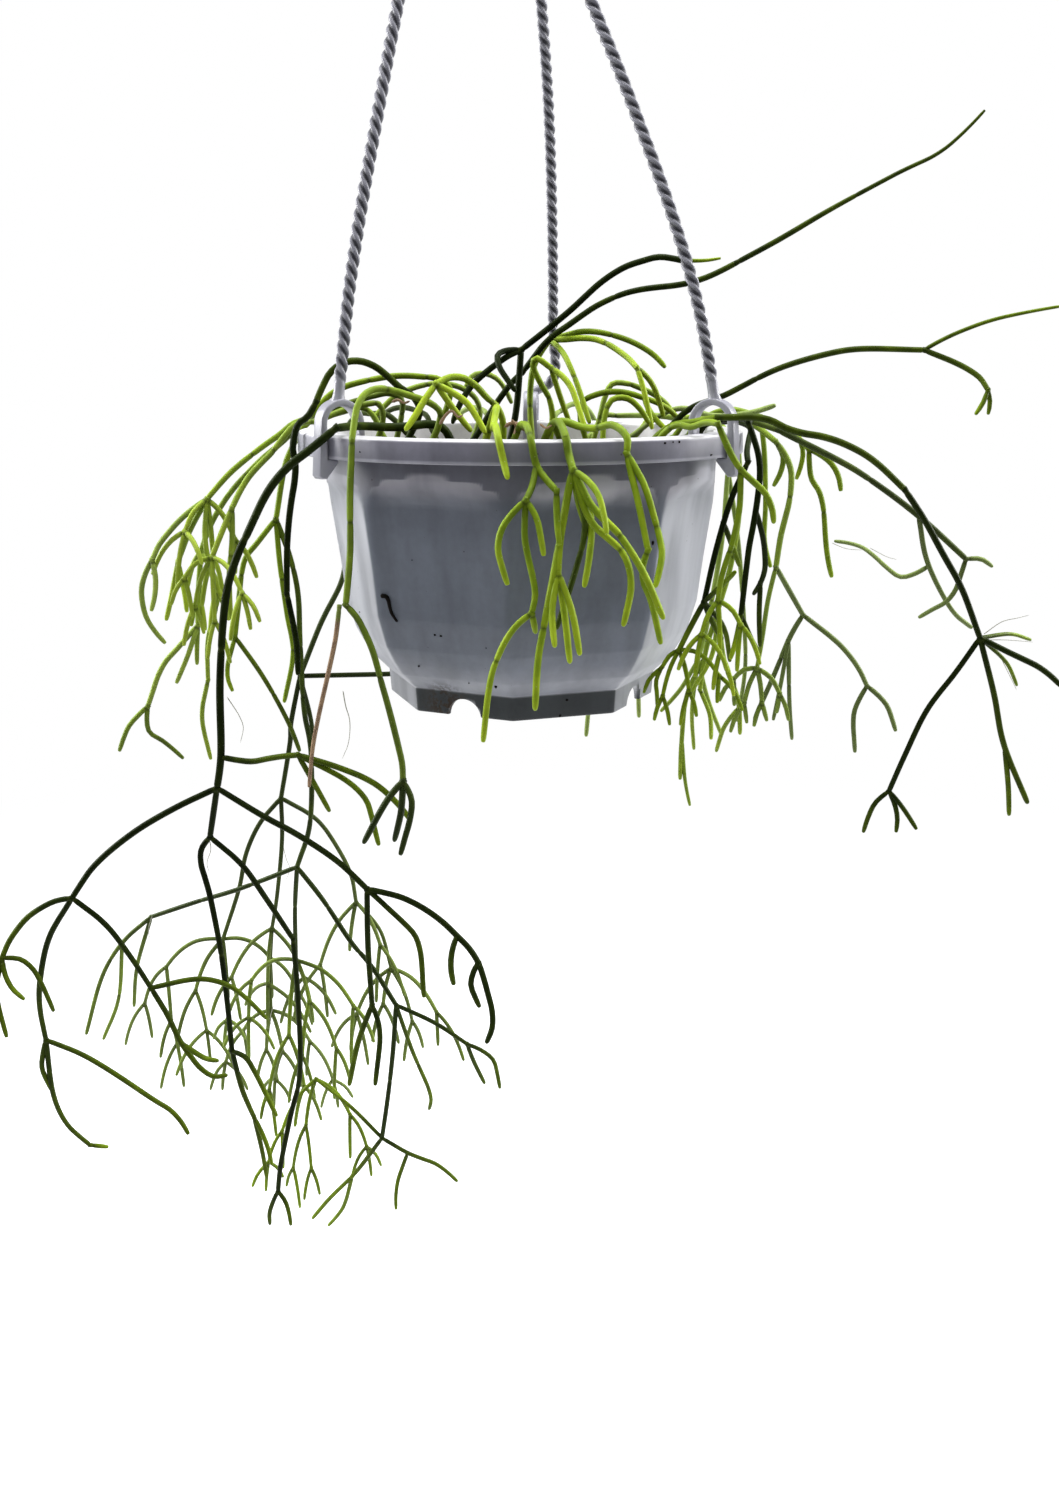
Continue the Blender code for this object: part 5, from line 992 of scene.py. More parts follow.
def makeSkinGroup():
    # A stem's skin from its own coordinates, millimetres round and along it: small pale areoles
    # in a spiral, each within Areole Size of its middle, fine lengthwise wrinkles and a cloudy tone
    group, given, result = newGroup("stemSkin", (("Skin", None), ("Areole Spacing", 7.0),
                                                 ("Areole Size", 0.42)), ("Areole", "Wrinkle", "Cloud"))
    goldenAngle = 2.3999
    x, y, z = put(group, "ShaderNodeSeparateXYZ", {0: given["Skin"]}).outputs
    row = maths(group, "DIVIDE", z, given["Areole Spacing"])
    along = times(group, maths(group, "SUBTRACT", maths(group, "FRACT", row), 0.5),
                  given["Areole Spacing"])
    angle = times(group, maths(group, "FLOOR", row), goldenAngle)
    wide = vector(group, "LENGTH", put(group, "ShaderNodeCombineXYZ", {0: x, 1: y}).outputs[0])
    place = put(group, "ShaderNodeCombineXYZ", {0: x, 1: y, 2: along}).outputs[0]
    middle = put(group, "ShaderNodeCombineXYZ", {0: times(group, wide, maths(group, "COSINE", angle)),
                                                 1: times(group, wide, maths(group, "SINE", angle))})
    away = vector(group, "DISTANCE", place, second=middle.outputs[0])
    near = maths(group, "SUBTRACT", given["Areole Size"], away)
    feed(group, result["Areole"], maths(group, "MULTIPLY", near, 4.0, clamp=True))
    lengthwise = stretch(group, given["Skin"], (2.2, 2.2, 0.16))
    feed(group, result["Wrinkle"], noise(group, lengthwise, 1.0, 3.0, 0.6))
    feed(group, result["Cloud"], noise(group, given["Skin"], 0.12, 2.0))
    return group


groups = {"mottle": makeMottleGroup(), "specks": makeSpeckGroup(), "skin": makeSkinGroup()}


def useGroup(tree, key, **inputs):
    node = tree.nodes.new("ShaderNodeGroup")
    node.node_tree = groups[key]
    for label, value in inputs.items():
        feed(tree, node.inputs[label.replace("_", " ")], value)
    return node.outputs


def mottleAndSpecks(tree, where, look):
    # look["mottle"] is scale and strength, look["specks"] rows of scale, size and share of cells
    scale, strength = look["mottle"]
    mottle = useGroup(tree, "mottle", Vector=where, Scale=scale, Strength=strength)
    masks = [useGroup(tree, "specks", Vector=where, Scale=scale, Size=size, Share=share)["Mask"]
             for scale, size, share in look.get("specks", ())]
    return mottle, masks


def startMaterial(name):
    material = bpy.data.materials.new(name)
    material.use_nodes = True
    tree = material.node_tree
    return material, tree, put(tree, "ShaderNodeTexCoord").outputs["Object"]


def coat(tree, colour, roughness, gloss=0.5, bump=None):
    # Feeds the material's shader; bump is a height, a strength and a distance
    shader = tree.nodes["Principled BSDF"].inputs
    feed(tree, shader["Base Color"], colour)
    feed(tree, shader["Roughness"], roughness)
    feed(tree, shader["Specular IOR Level"], gloss)
    if bump:
        node = put(tree, "ShaderNodeBump", dict(zip(("Height", "Strength", "Distance"), bump)))
        feed(tree, shader["Normal"], node.outputs[0])


# Pot plastic
potFinish = {
    # The rim's top colour is painted light from above, also on its inner face; the neck's colour is painted
    # shade under the skirt
    "rim": (0.215, 0.212, 0.262), "litRimTop": (0.780, 0.770, 0.800), "neck": (0.116, 0.117, 0.146),
    "chalkAndLedgeLight": (0.440, 0.430, 0.480), "dust": (0.540, 0.550, 0.600), "dirt": (0.030, 0.018, 0.010),
    "roughness": 0.38, "gloss": 0.35, "mottle": (34.0, 0.30), "runs": (60.0, 60.0, 9.0),
    "unevenness": 0.03, "specks": ((130.0, 0.07, 0.10), (330.0, 0.10, 0.05)),
    # Smooth steps: from, to, and the shares there. Those by height are metres below the rim
    "rimDarkens": (0.001, 0.0086, 0.0, 0.55), "litRimTopEnds": (0.0004, 0.0011, 1.0, 0.0),
    "streaks": (0.3, 0.7, 0.86, 1.14),
    # Chalk and painted light cover the ledge that faces up, break up in runs and drip down
    "paleBandLedge": (0.02, 0.50), "paleBandEnds": (0.0200, 0.0290, 1.0, 0.0),
    "paleBandRuns": (0.34, 0.66, 0.36, 0.70), "paleBandDrips": 0.046, "paleBandRises": 0.012,
    # Painted sheen lies on the sides of the pot: it grows as the wall turns away from front and back
    "paintedSheenAside": (0.30, 0.60, 0.0, 0.86), "paintedSheenRuns": (0.3, 0.6, 0.72, 1.0),
    "paintedSheenOnRim": (0.0104, 0.0108, 0.45, 1.0), "paintedSheenFades": (0.104, 0.114, 1.0, 0.60),
    "paintedSheenGrows": (0.016, 0.044, 0.62, 1.0),
    # A rusty stain near one notch, in mm
    "stainCentre": (-38.0, -57.0, -130.0), "stainEnds": (0.004, 0.017, 1.0, 0.0),
    "stainBlots": (0.42, 0.54),
    # Heights over which each tone takes over from the last, and whether noise shifts them: the dark neck
    # and upper body are painted shade under the skirt, and the body grows lighter downwards into the
    # taper's painted light
    "tones": (
        ((0.0086, 0.0096), (0.300, 0.300, 0.350), False),  # edge of the rim
        ((0.0104, 0.0108), (0.116, 0.117, 0.146), False),  # neck
        ((0.0220, 0.0300), (0.094, 0.104, 0.132), False),  # body
        ((0.0280, 0.0600), (0.124, 0.139, 0.173), True),  # its middle
        ((0.1020, 0.1200), (0.190, 0.200, 0.232), True),  # taper
        ((0.1212, 0.1225), (0.035, 0.040, 0.044), False),  # foot
    ),
}


def makePotMaterial():
    # Tone by height below the rim, with painted shade at the neck and body and painted light on the rim's
    # top and the taper;
    # chalk and painted ledge light = ledge * drips * runs; painted sheen = aside * runs * height;
    # rusty blots near one notch and specks of dirt
    look = potFinish
    material, tree, where = startMaterial("potPlastic")
    height = put(tree, "ShaderNodeSeparateXYZ", {0: where}).outputs[2]
    below = maths(tree, "SUBTRACT", rimCentre[2] * mm, height)
    wobble = maths(tree, "SUBTRACT", noise(tree, where, 22.0, 3.0), 0.5)
    uneven = maths(tree, "MULTIPLY_ADD", wobble, look["unevenness"], below)
    # Painted shade and light by height: the rim darkens into the shaded neck and body, which lighten
    # towards the lit taper
    colour = mixColour(tree, between(tree, below, *look["rimDarkens"]), look["rim"], look["neck"])
    for span, tone, shifted in look["tones"]:
        colour = mixColour(tree, between(tree, uneven if shifted else below, *span), colour, tone)
    # Painted light on the rim's top and inner face
    top = maths(tree, "MAXIMUM", mark(tree, "inside"), between(tree, below, *look["litRimTopEnds"]))
    colour = mixColour(tree, top, colour, look["litRimTop"])
    mottle, masks = mottleAndSpecks(tree, where, look)
    runs = noise(tree, stretch(tree, where, look["runs"]), 1.0, 4.0)
    colour = vector(tree, "SCALE", colour, Scale=mottle["Value"])
    colour = vector(tree, "SCALE", colour, Scale=between(tree, runs, *look["streaks"]))
    drips = maths(tree, "SUBTRACT", noise(tree, where, 20.0, 3.0), 0.5)
    lower = maths(tree, "MULTIPLY_ADD", maths(tree, "MAXIMUM", drips, 0.0), -look["paleBandDrips"], below)
    rises = maths(tree, "MAXIMUM", times(tree, drips, -1.0), 0.0)
    lower = maths(tree, "MULTIPLY_ADD", rises, look["paleBandRises"], lower)
    # Chalk deposit together with painted light on the upward-facing ledge
    chalkAndLedgeLightShare = fades(tree, (mark(tree, "ledge"), *look["paleBandLedge"]), (lower, *look["paleBandEnds"]),
                   (runs, *look["paleBandRuns"]))
    colour = mixColour(tree, chalkAndLedgeLightShare, colour, look["chalkAndLedgeLight"])
    # Painted sheen: the side facets are paler where they turn from front and back, broken up in runs
    dust = fades(tree, (mark(tree, "aside"), *look["paintedSheenAside"]), (runs, *look["paintedSheenRuns"]),
                 (below, *look["paintedSheenOnRim"]), (below, *look["paintedSheenFades"]),
                 (uneven, *look["paintedSheenGrows"]))
    colour = mixColour(tree, dust, colour, look["dust"])
    centre = tuple((np.array(look["stainCentre"]) + rimCentre) * mm)
    stain = fades(tree, (vector(tree, "DISTANCE", where, second=centre), *look["stainEnds"]),
                  (noise(tree, where, 260.0, 4.0, 0.7), *look["stainBlots"]))
    dirt = maths(tree, "MAXIMUM", maths(tree, "MAXIMUM", *masks), stain)
    colour = mixColour(tree, dirt, colour, look["dirt"])
    rough = maths(tree, "MULTIPLY_ADD", mottle["Height"], 0.2, look["roughness"] - 0.1)
    rough = maths(tree, "MULTIPLY_ADD", maths(tree, "MAXIMUM", dirt, chalkAndLedgeLightShare), 0.4, rough)
    coat(tree, colour, rough, look["gloss"], (mottle["Height"], 0.12, 0.0006))
    return material


# Hanger plastic
# The groove colour is painted shade between the rod's strands
hangerFinish = {"colour": (0.300, 0.300, 0.350), "groove": (0.026, 0.026, 0.036), "roughness": 0.36,
                "mottle": (70.0, 0.14), "specks": ((300.0, 0.16, 0.07),)}


def makeHangerMaterial():
    # Painted shade: darker, and duller, where the mark "groove" says that the surface lies between strands
    look = hangerFinish
    material, tree, where = startMaterial("hangerPlastic")
    depth = mark(tree, "groove")
    mottle, masks = mottleAndSpecks(tree, where, look)
    # Painted shade in the grooves between strands
    colour = mixColour(tree, depth, look["colour"], look["groove"])
    colour = vector(tree, "SCALE", colour, Scale=mottle["Value"])
    colour = mixColour(tree, masks[0], colour, potFinish["dirt"])
    rough = maths(tree, "MULTIPLY_ADD", depth, 0.3, look["roughness"])
    coat(tree, colour, rough, bump=(mottle["Height"], 0.15, 0.0003))
    return material


# Stems
stemFinish = {
    "ramp": ((0.0, (0.345, 0.455, 0.022)), (0.25, (0.185, 0.275, 0.012)),
             (0.5, (0.070, 0.105, 0.006)), (0.75, (0.014, 0.023, 0.003)),
             (1.0, (0.003, 0.005, 0.001))),
    "pale": (0.235, 0.300, 0.110), "joint": (0.030, 0.040, 0.006), "areole": (0.52, 0.55, 0.30),
    "mottle": (90.0, 0.30), "cloud": 0.34, "jointShare": 0.75, "areoleSize": 0.34,
    "roughness": 0.50, "sheen": (0.50, 0.75, 0.25),
    "areoleSpacing": {"old": 11.0, "young": 7.0}, "gloss": {"old": 0.10, "young": 0.28},
    # Painted light and shade: a stem is lighter on its upper side and darker underneath, by these shares of
    # its colour, from underneath to on top
    "upper": (-0.75, 0.85, 0.60, 1.25),
}
dryFinish = {"light": (0.350, 0.225, 0.125), "dark": (0.170, 0.100, 0.054), "green": (0.140, 0.190, 0.020),
             "mottle": (120.0, 0.3), "areoleSpacing": 9.0, "areoleSize": 0.3, "roughness": 0.75}


def makeStemMaterial(tone):
    # Colour by age + cloud * (Cloud - 0.5), paler and darker at joints by the marks that the mesh carries,
    # with painted light on top and painted shade underneath by the mark "upper"
    look = stemFinish
    material, tree, where = startMaterial(tone + "Stem")
    age = mark(tree, "age")
    surface = useGroup(tree, "skin", Skin=mark(tree, "skin", "Vector"), Areole_Size=look["areoleSize"],
                       Areole_Spacing=look["areoleSpacing"][tone])
    mottle, _ = mottleAndSpecks(tree, where, look)
    cloudy = maths(tree, "MULTIPLY_ADD", surface["Cloud"], look["cloud"], age)
    colour = ramp(tree, maths(tree, "SUBTRACT", cloudy, look["cloud"] / 2.0), look["ramp"])
    colour = mixColour(tree, mark(tree, "pale"), colour, look["pale"])
    colour = vector(tree, "SCALE", colour, Scale=mottle["Value"])
    colour = mixColour(tree, times(tree, mark(tree, "joint"), look["jointShare"]), colour, look["joint"])
    fresh = maths(tree, "MULTIPLY_ADD", age, -0.55, 0.55, clamp=True)
    colour = mixColour(tree, times(tree, surface["Areole"], fresh), colour, look["areole"])
    # Painted light on the upper side and painted shade underneath
    colour = vector(tree, "SCALE", colour, Scale=between(tree, mark(tree, "upper"), *look["upper"]))
    rough = maths(tree, "MULTIPLY_ADD", surface["Wrinkle"], 0.25, look["roughness"] - 0.12)
    height = maths(tree, "ADD", surface["Wrinkle"], times(tree, surface["Areole"], 0.8))
    coat(tree, colour, rough, look["gloss"][tone], (height, 0.35, 0.0004))
    feed(tree, tree.nodes["Principled BSDF"].inputs["Specular Tint"], look["sheen"])
    return material


def makeDryMaterial():
    # Brown by Wrinkle + Cloud - 0.5, green where the mark "fresh" says so
    look = dryFinish
    material, tree, where = startMaterial("dryShoot")
    surface = useGroup(tree, "skin", Skin=mark(tree, "skin", "Vector"), Areole_Size=look["areoleSize"],
                       Areole_Spacing=look["areoleSpacing"])
    tone = maths(tree, "ADD", surface["Wrinkle"], maths(tree, "SUBTRACT", surface["Cloud"], 0.5))
    colour = mixColour(tree, between(tree, tone, 0.3, 0.7), look["dark"], look["light"])
    colour = mixColour(tree, mark(tree, "fresh"), colour, look["green"])
    mottle, _ = mottleAndSpecks(tree, where, look)
    colour = vector(tree, "SCALE", colour, Scale=mottle["Value"])
    coat(tree, colour, look["roughness"], bump=(surface["Wrinkle"], 0.6, 0.0005))
    return material


# Aerial roots and scraps: one tone turns into the other by the mottle's height
mottledFinish = {
    "roots": {"name": "aerialRoots", "dark": (0.22, 0.22, 0.16), "light": (0.50, 0.50, 0.42),
              "mottle": (160.0, 0.3), "roughness": 0.8, "gloss": 0.5, "bump": 0.0},
    "scraps": {"name": "darkScraps", "dark": (0.002, 0.002, 0.002), "light": (0.014, 0.010, 0.008),
               "mottle": (300.0, 0.5), "roughness": 0.85, "gloss": 0.08, "bump": 0.6},
}
soilFinish = {"dark": (0.010, 0.007, 0.004), "mid": (0.040, 0.024, 0.013), "light": (0.13, 0.08, 0.045),
              "perlite": (0.62, 0.60, 0.55), "specks": (210.0, 0.3, 0.05), "roughness": 0.95}


def makeMottledMaterial(key):
    look = mottledFinish[key]
    material, tree, where = startMaterial(look["name"])
    mottle, _ = mottleAndSpecks(tree, where, look)
    colour = mixColour(tree, mottle["Height"], look["dark"], look["light"])
    bump = (mottle["Height"], look["bump"], 0.0004) if look["bump"] else None
    coat(tree, colour, look["roughness"], look["gloss"], bump)
    return material


def makeSoilMaterial():
    # Tone by fine noise, with a few pale grains of perlite
    look = soilFinish
    material, tree, where = startMaterial("pottingSoil")
    lumps = noise(tree, where, 180.0, 6.0, 0.7)
    colour = ramp(tree, lumps, ((0.3, look["dark"]), (0.55, look["mid"]), (0.75, look["light"])))
    scale, size, share = look["specks"]
    grains = useGroup(tree, "specks", Vector=where, Scale=scale, Size=size, Share=share)["Mask"]
    colour = mixColour(tree, grains, colour, look["perlite"])
    coat(tree, colour, look["roughness"], bump=(lumps, 0.9, 0.002))
    return material


materials = {
    "pot": makePotMaterial(), "hanger": makeHangerMaterial(), "soil": makeSoilMaterial(),
    "old": makeStemMaterial("old"), "young": makeStemMaterial("young"), "dry": makeDryMaterial(),
    "roots": makeMottledMaterial("roots"), "scraps": makeMottledMaterial("scraps"),
}
print("materials made")


# Pot
def softMin(first, second, softness):
    low = np.minimum(first, second)
    away = np.abs(first - second) / softness
    return low - softness * np.log1p(np.exp(-np.minimum(away, 60.0)))


def cornerShare(azimuth):
    # Radius of an eight-sided outline as a share of its corner radius, with rounded corners
    flat = math.cos(math.radians(22.5))
    offset = (azimuth - potShape["cornerAzimuth"]) % 45.0 - 22.5
    near = flat / np.cos(np.radians(offset))
    beyond = flat / np.cos(np.radians(45.0 - np.abs(offset)))
    return softMin(near, beyond, potShape["cornerSoftness"])


def outerProfile():
    # Rows of round radius, corner radius and height, from the rim's inside over it and down
    s = potShape
    foot = s["rimRadius"] + s["flare"]
    neckHeight, neck, _ = s["sections"][0]
    rows = [
        (neck - s["wall"], whole, neckHeight),
        (s["rimInner"], whole, -s["lip"]),
        (s["rimInner"] + s["lip"], whole, 0.0),
        (s["rimRadius"] - s["lip"], whole, 0.0),
        (s["rimRadius"], whole, -s["lip"]),
        (foot, whole, -s["skirtDepth"]),
        (foot - s["skirtThickness"], whole, -s["skirtDepth"]),
        (s["rimRadius"] - s["skirtThickness"], whole, -s["skirtThickness"]),
        (neck + s["lip"], whole, -s["skirtThickness"]),
    ]
    rows += [(r, c, h) for h, r, c in s["sections"]]
    inner = s["footBottom"] - s["footWall"]
    rows += [(whole, s["footTop"], s["sections"][-1][0] - 0.4),
             (whole, s["footBottom"], -s["height"]), (whole, inner, -s["height"]),
             (whole, inner + 0.4, s["floorUnderside"])]
    return rows


def innerProfile(gap):
    rows = []
    for height, roundRadius, cornerRadius in potShape["sections"]:
        if height in potShape["innerHeights"]:
            inset = potShape["wall"] + gap
            rows.append((roundRadius - inset, cornerRadius - inset, height))
    rows.append((potShape["innerFloor"] - gap,) * 2 + (potShape["floorTop"] + gap,))
    return rows


def refine(rows, spacing, rounding, passes):
    # Splits the profile finely, rounds its corners with a running mean and drops rows that
    # lie on a straight line
    rows = np.array(rows, float)
    reach = np.minimum(rows[:, 0], rows[:, 1])
    length = np.hypot(np.diff(reach), np.diff(rows[:, 2]))
    fine = [rows[:1]]
    for start, end, size in zip(rows[:-1], rows[1:], length):
        count = max(1, int(round(size / rounding)))
        share = np.linspace(0.0, 1.0, count + 1)[1:, None]
        fine.append(start + (end - start) * share)
    fine = np.vstack(fine)
    for _ in range(passes):
        fine[1:-1] = 0.25 * fine[:-2] + 0.5 * fine[1:-1] + 0.25 * fine[2:]
    radius = np.minimum(fine[:, 0], fine[:, 1])
    line = np.stack((radius, fine[:, 0] * 0.2, fine[:, 2]), 1)
    keep = thinOut(line, 0.02, spacing)
    return fine[keep]


def thinOut(points, tolerance, longest):
    # True for the points that the line needs, to within the tolerance and the longest step
    keep = np.zeros(len(points), bool)
    keep[[0, -1]] = True
    stack = [(0, len(points) - 1)]
    while stack:
        low, high = stack.pop()
        if high - low < 2:
            continue
        line = points[high] - points[low]
        size = max(np.linalg.norm(line), 1e-9)
        line = line / size
        offset = points[low + 1:high] - points[low]
        away = np.linalg.norm(offset - (offset @ line)[:, None] * line, axis=1)
        worst = int(away.argmax())
        if away[worst] > tolerance or size > longest:
            middle = low + 1 + worst if away[worst] > tolerance else (low + high) // 2
            keep[middle] = True
            stack.append((low, middle))
            stack.append((middle, high))
    return keep


def loftRows(rows, columns, firstCentre, lastCentre):
    # Closed surface through the rows: round and eight-sided outlines joined by a soft minimum
    azimuth = potShape["cornerAzimuth"] + 360.0 * np.arange(columns) / columns
    corner = rows[:, 1:2] * cornerShare(azimuth)[None]
    radius = softMin(rows[:, :1], corner, potShape["creaseSoftness"])
    rings = around(azimuth[None], radius, rows[:, 2:]).reshape(-1, 3)
    points = np.vstack((rings, (0.0, 0.0, firstCentre), (0.0, 0.0, lastCentre)))
    return points, gridQuads(len(rows), columns, True), endTris(len(rows), columns, True)


def cutCylinders(mesh, cutters):
    # Cuts upright or lying cylinders out of a closed mesh
    holder = newObject("cutHolder", mesh)
    group = bpy.data.collections.new("cutters")
    bpy.context.scene.collection.children.link(group)
    for centre, radius, length, lying, turn in cutters:
        bpy.ops.mesh.primitive_cylinder_add(vertices=56, radius=radius * mm, depth=length * mm)
        cutter = bpy.context.object
        for other in list(cutter.users_collection):
            other.objects.unlink(cutter)
        group.objects.link(cutter)
        cutter.rotation_euler = (math.radians(90.0) if lying else 0.0, 0.0, turn)
        cutter.location = (np.array(centre) + rimCentre) * mm
    cut = holder.modifiers.new("cut", "BOOLEAN")
    cut.operation = "DIFFERENCE"
    cut.operand_type = "COLLECTION"
    cut.collection = group
    cut.solver = "MANIFOLD"
    bpy.context.view_layer.update()
    graph = bpy.context.evaluated_depsgraph_get()
    result = bpy.data.meshes.new_from_object(holder.evaluated_get(graph))
    for thing in [*group.objects, holder]:
        bpy.data.objects.remove(thing)
    bpy.data.collections.remove(group)
    return result


def markPot(mesh):
    # ledge: how far the eight-sided outline lies inside the round neck, in mm, as it is a little
    # further down; inside: 1 on the rim's inner face; aside: how far the wall turns from front
    # and back
    places = np.empty(len(mesh.vertices) * 3, np.float32)
    normals = np.empty_like(places)
    mesh.vertices.foreach_get("co", places)
    mesh.vertex_normals.foreach_get("vector", normals)
    x, y, z = (places.reshape(-1, 3) / mm - rimCentre).T
    heights, necks, corners = np.array(potShape["sections"])[::-1].T
    lower = z - potShape["paleBandRise"]
    outline = np.interp(lower, heights, corners) * cornerShare(np.degrees(np.arctan2(x, -y)))
    insideWall = np.hypot(x, y) < potShape["rimInner"] + 0.4
    setMark(mesh, "ledge", np.clip(np.interp(lower, heights, necks) - outline, 0.0, 4.0))
    # aside places the painted sheen on the side facets
    setMark(mesh, "aside", 1.0 - np.abs(normals.reshape(-1, 3)[:, 1]))
    setMark(mesh, "inside", insideWall & (z > -19.0))


def makePot():
    # The lofted profile, with the foot's notches and the drainage holes cut out
    p = potShape
    ends = (p["floorTop"], p["floorUnderside"])
    rows = refine([(axisRing, axisRing, ends[0]), *innerProfile(0.0)[::-1], *outerProfile(),
                   (axisRing, axisRing, ends[1])], 5.0, 0.35, 3)
    mesh = makeMesh("potShell", *loftRows(rows, p["columns"], *ends))
    cutters = []
    for azimuth in p["notchAzimuths"]:
        centre = around(azimuth, p["footBottom"] - 3.0, -p["height"] - 0.4)
        cutters.append((centre, p["notchRadius"], 20.0, True, math.radians(azimuth)))
    for azimuth in p["drainAzimuths"]:
        centre = around(azimuth, p["drainCircle"], sum(ends) / 2.0)
        cutters.append((centre, p["drainRadius"], 12.0, False, 0.0))
    mesh = cutCylinders(mesh, cutters)
    markPot(mesh)
    mesh.shade_smooth()
    mesh.set_sharp_from_angle(angle=math.radians(38.0))
    print("pot:", len(rows), "rows,", len(mesh.polygons), "faces")
    return addPiece("potShell", mesh, materials["pot"], ("pot",))


# Soil and crumbs
def makeSoil(random):
    # The top is a disc of rings, raised and lowered by a sum of waves
    s = soilShape
    columns, rings = s["columns"], s["rings"]
    top = np.linspace(axisRing, s["radius"], rings)[:, None]
    rows = np.hstack((top, np.full_like(top, whole), np.full_like(top, s["top"])))
    sides = np.array(innerProfile(s["fitGap"]))
    rows = np.vstack((rows, sides, ((axisRing, axisRing, sides[-1, 2]),)))
    points, quads, tris = loftRows(rows, columns, s["top"], sides[-1, 2])
    reach = np.hypot(points[:, 0], points[:, 1])
    number = np.arange(len(points))
    onTop = (number < rings * columns) | (number == len(points) - 2)
    lift = np.zeros(len(points))
    for _ in range(s["waves"]):
        wave = random.uniform(-1.0, 1.0, 2)
        wave *= random.uniform(0.08, 1.3) / np.linalg.norm(wave)
        size = 0.11 / (0.25 + np.linalg.norm(wave))
        lift += size * np.sin(points[:, :2] @ wave + random.uniform(0, 2 * math.pi))
    fade = np.clip((s["radius"] - reach) / 6.0, 0.0, 1.0)
    points[:, 2] += np.where(onTop, lift * s["roughness"] * fade, 0.0)
    addPiece("soilFill", makeMesh("soilFill", points, quads, tris), materials["soil"], ("soil",))


def crumbShape():
    shape = bmesh.new()
    bmesh.ops.create_icosphere(shape, subdivisions=1, radius=1.0)
    points = np.array([v.co[:] for v in shape.verts])
    faces = np.array([[v.index for v in face.verts] for face in shape.faces])
    shape.free()
    return points, faces


def scatterCrumbs(name, centres, sizes, random, material, flatten=0.7):
    # Many small uneven lumps as one mesh
    ball, faces = crumbShape()
    count = len(centres)
    wobble = 1.0 + random.uniform(-0.28, 0.28, (count, len(ball), 1))
    stretch = random.uniform(0.7, 1.3, (count, 1, 3)) * (1.0, 1.0, flatten)
    lumps = ball[None] * wobble * stretch * sizes[:, None, None] + centres[:, None]
    tris = (faces[None] + (np.arange(count) * len(ball))[:, None, None]).reshape(-1, 3)
    mesh = makeMesh(name, lumps.reshape(-1, 3), np.zeros((0, 4), int), tris)
    return addPiece(name, mesh, material)


def makeCrumbs(random):
    count = soilShape["crumbs"]
    reach = soilShape["radius"] * 0.97 * np.sqrt(random.uniform(0.0, 1.0, count))
    turn = random.uniform(0.0, 2.0 * math.pi, count)
    sizes = soilShape["crumbSize"] * random.uniform(0.35, 1.0, count) ** 1.5
    heights = soilShape["top"] + random.uniform(-0.2, 0.9, count)
    centres = np.stack((reach * np.cos(turn), reach * np.sin(turn), heights), 1)
    scatterCrumbs("soilCrumbs", centres, sizes, random, materials["soil"])


# Hanger
def makeRod(azimuth, view):
    # Three round strands twisted together: the section turns as it is carried along the route
    h = hangerShape
    coarse = legRoute(azimuth, view)
    coarse[0, 2] -= 1.2
    route = smoothRoute(coarse, h["rodStep"])
    run = arcLength(route)
    smooth = np.clip((run - h["smoothEnd"]) / 5.0, 0.0, 1.0)
    smooth = (smooth * np.clip((run[-1] - run - 6.0) / 5.0, 0.0, 1.0))[:, None]
    turn = np.arange(h["columns"]) * 2.0 * math.pi / h["columns"]
    inStrand = (turn + math.pi / 3.0) % (2.0 * math.pi / 3.0) - math.pi / 3.0
    strand = 1.0 - h["strandCentre"]
    across = h["strandCentre"] * np.sin(inStrand)
    lobe = h["strandCentre"] * np.cos(inStrand) + np.sqrt(np.maximum(strand**2 - across**2, 0.0))
    lobe = np.maximum(lobe, h["grooveFloor"])[None]
    plain = 0.84 + 0.34 * np.clip(1.0 - run[:, None] / 5.0, 0.0, 1.0) ** 2
    radius = h["legRadius"] * (smooth * lobe + (1.0 - smooth) * plain)
    angle = turn[None] - 2.0 * math.pi * (run / h["pitch"])[:, None]
    sections = radius[:, :, None] * np.stack((np.cos(angle), np.sin(angle)), -1)
    groove = smooth * np.clip((1.0 - lobe) / (1.0 - h["grooveFloor"]), 0.0, 1.0)
    return (*sweep(route, sections), {"groove": np.r_[(groove**0.8).ravel(), 0.0, 0.0]})


def clipOutline():
    # Outline of a clip in its upright plane: distance from the pot's axis, and height
    h, p = hangerShape, potShape
    insideFace = p["rimInner"] - 1.3
    outsideFace = p["rimRadius"] + p["flare"] + soilShape["fitGap"]
    middle = (insideFace + outsideFace) / 2.0
    inner = (outsideFace - insideFace) / 2.0
    outer = inner + h["clipThickness"]
    angles = np.radians(np.linspace(180.0, 0.0, 25))
    back = outsideFace + h["clipThickness"]
    innerEnd = soilShape["top"] + 2.5
    under = -p["skirtDepth"] - soilShape["fitGap"]

    def arch(reach, turns):
        return [(middle + reach * math.cos(a), h["archHeight"] + reach * math.sin(a)) for a in turns]

    return [(insideFace - h["clipThickness"], innerEnd), *arch(outer, angles),
            (back + 1.8, h["toe"] + 1.5), (back + 0.6, h["toe"]), (outsideFace + 1.0, h["toe"]),
            (outsideFace - 5.2, -p["skirtDepth"] - 1.6), (outsideFace - 4.6, under),
            (outsideFace + 0.3, under), *arch(inner, angles[::-1]), (insideFace, innerEnd)]


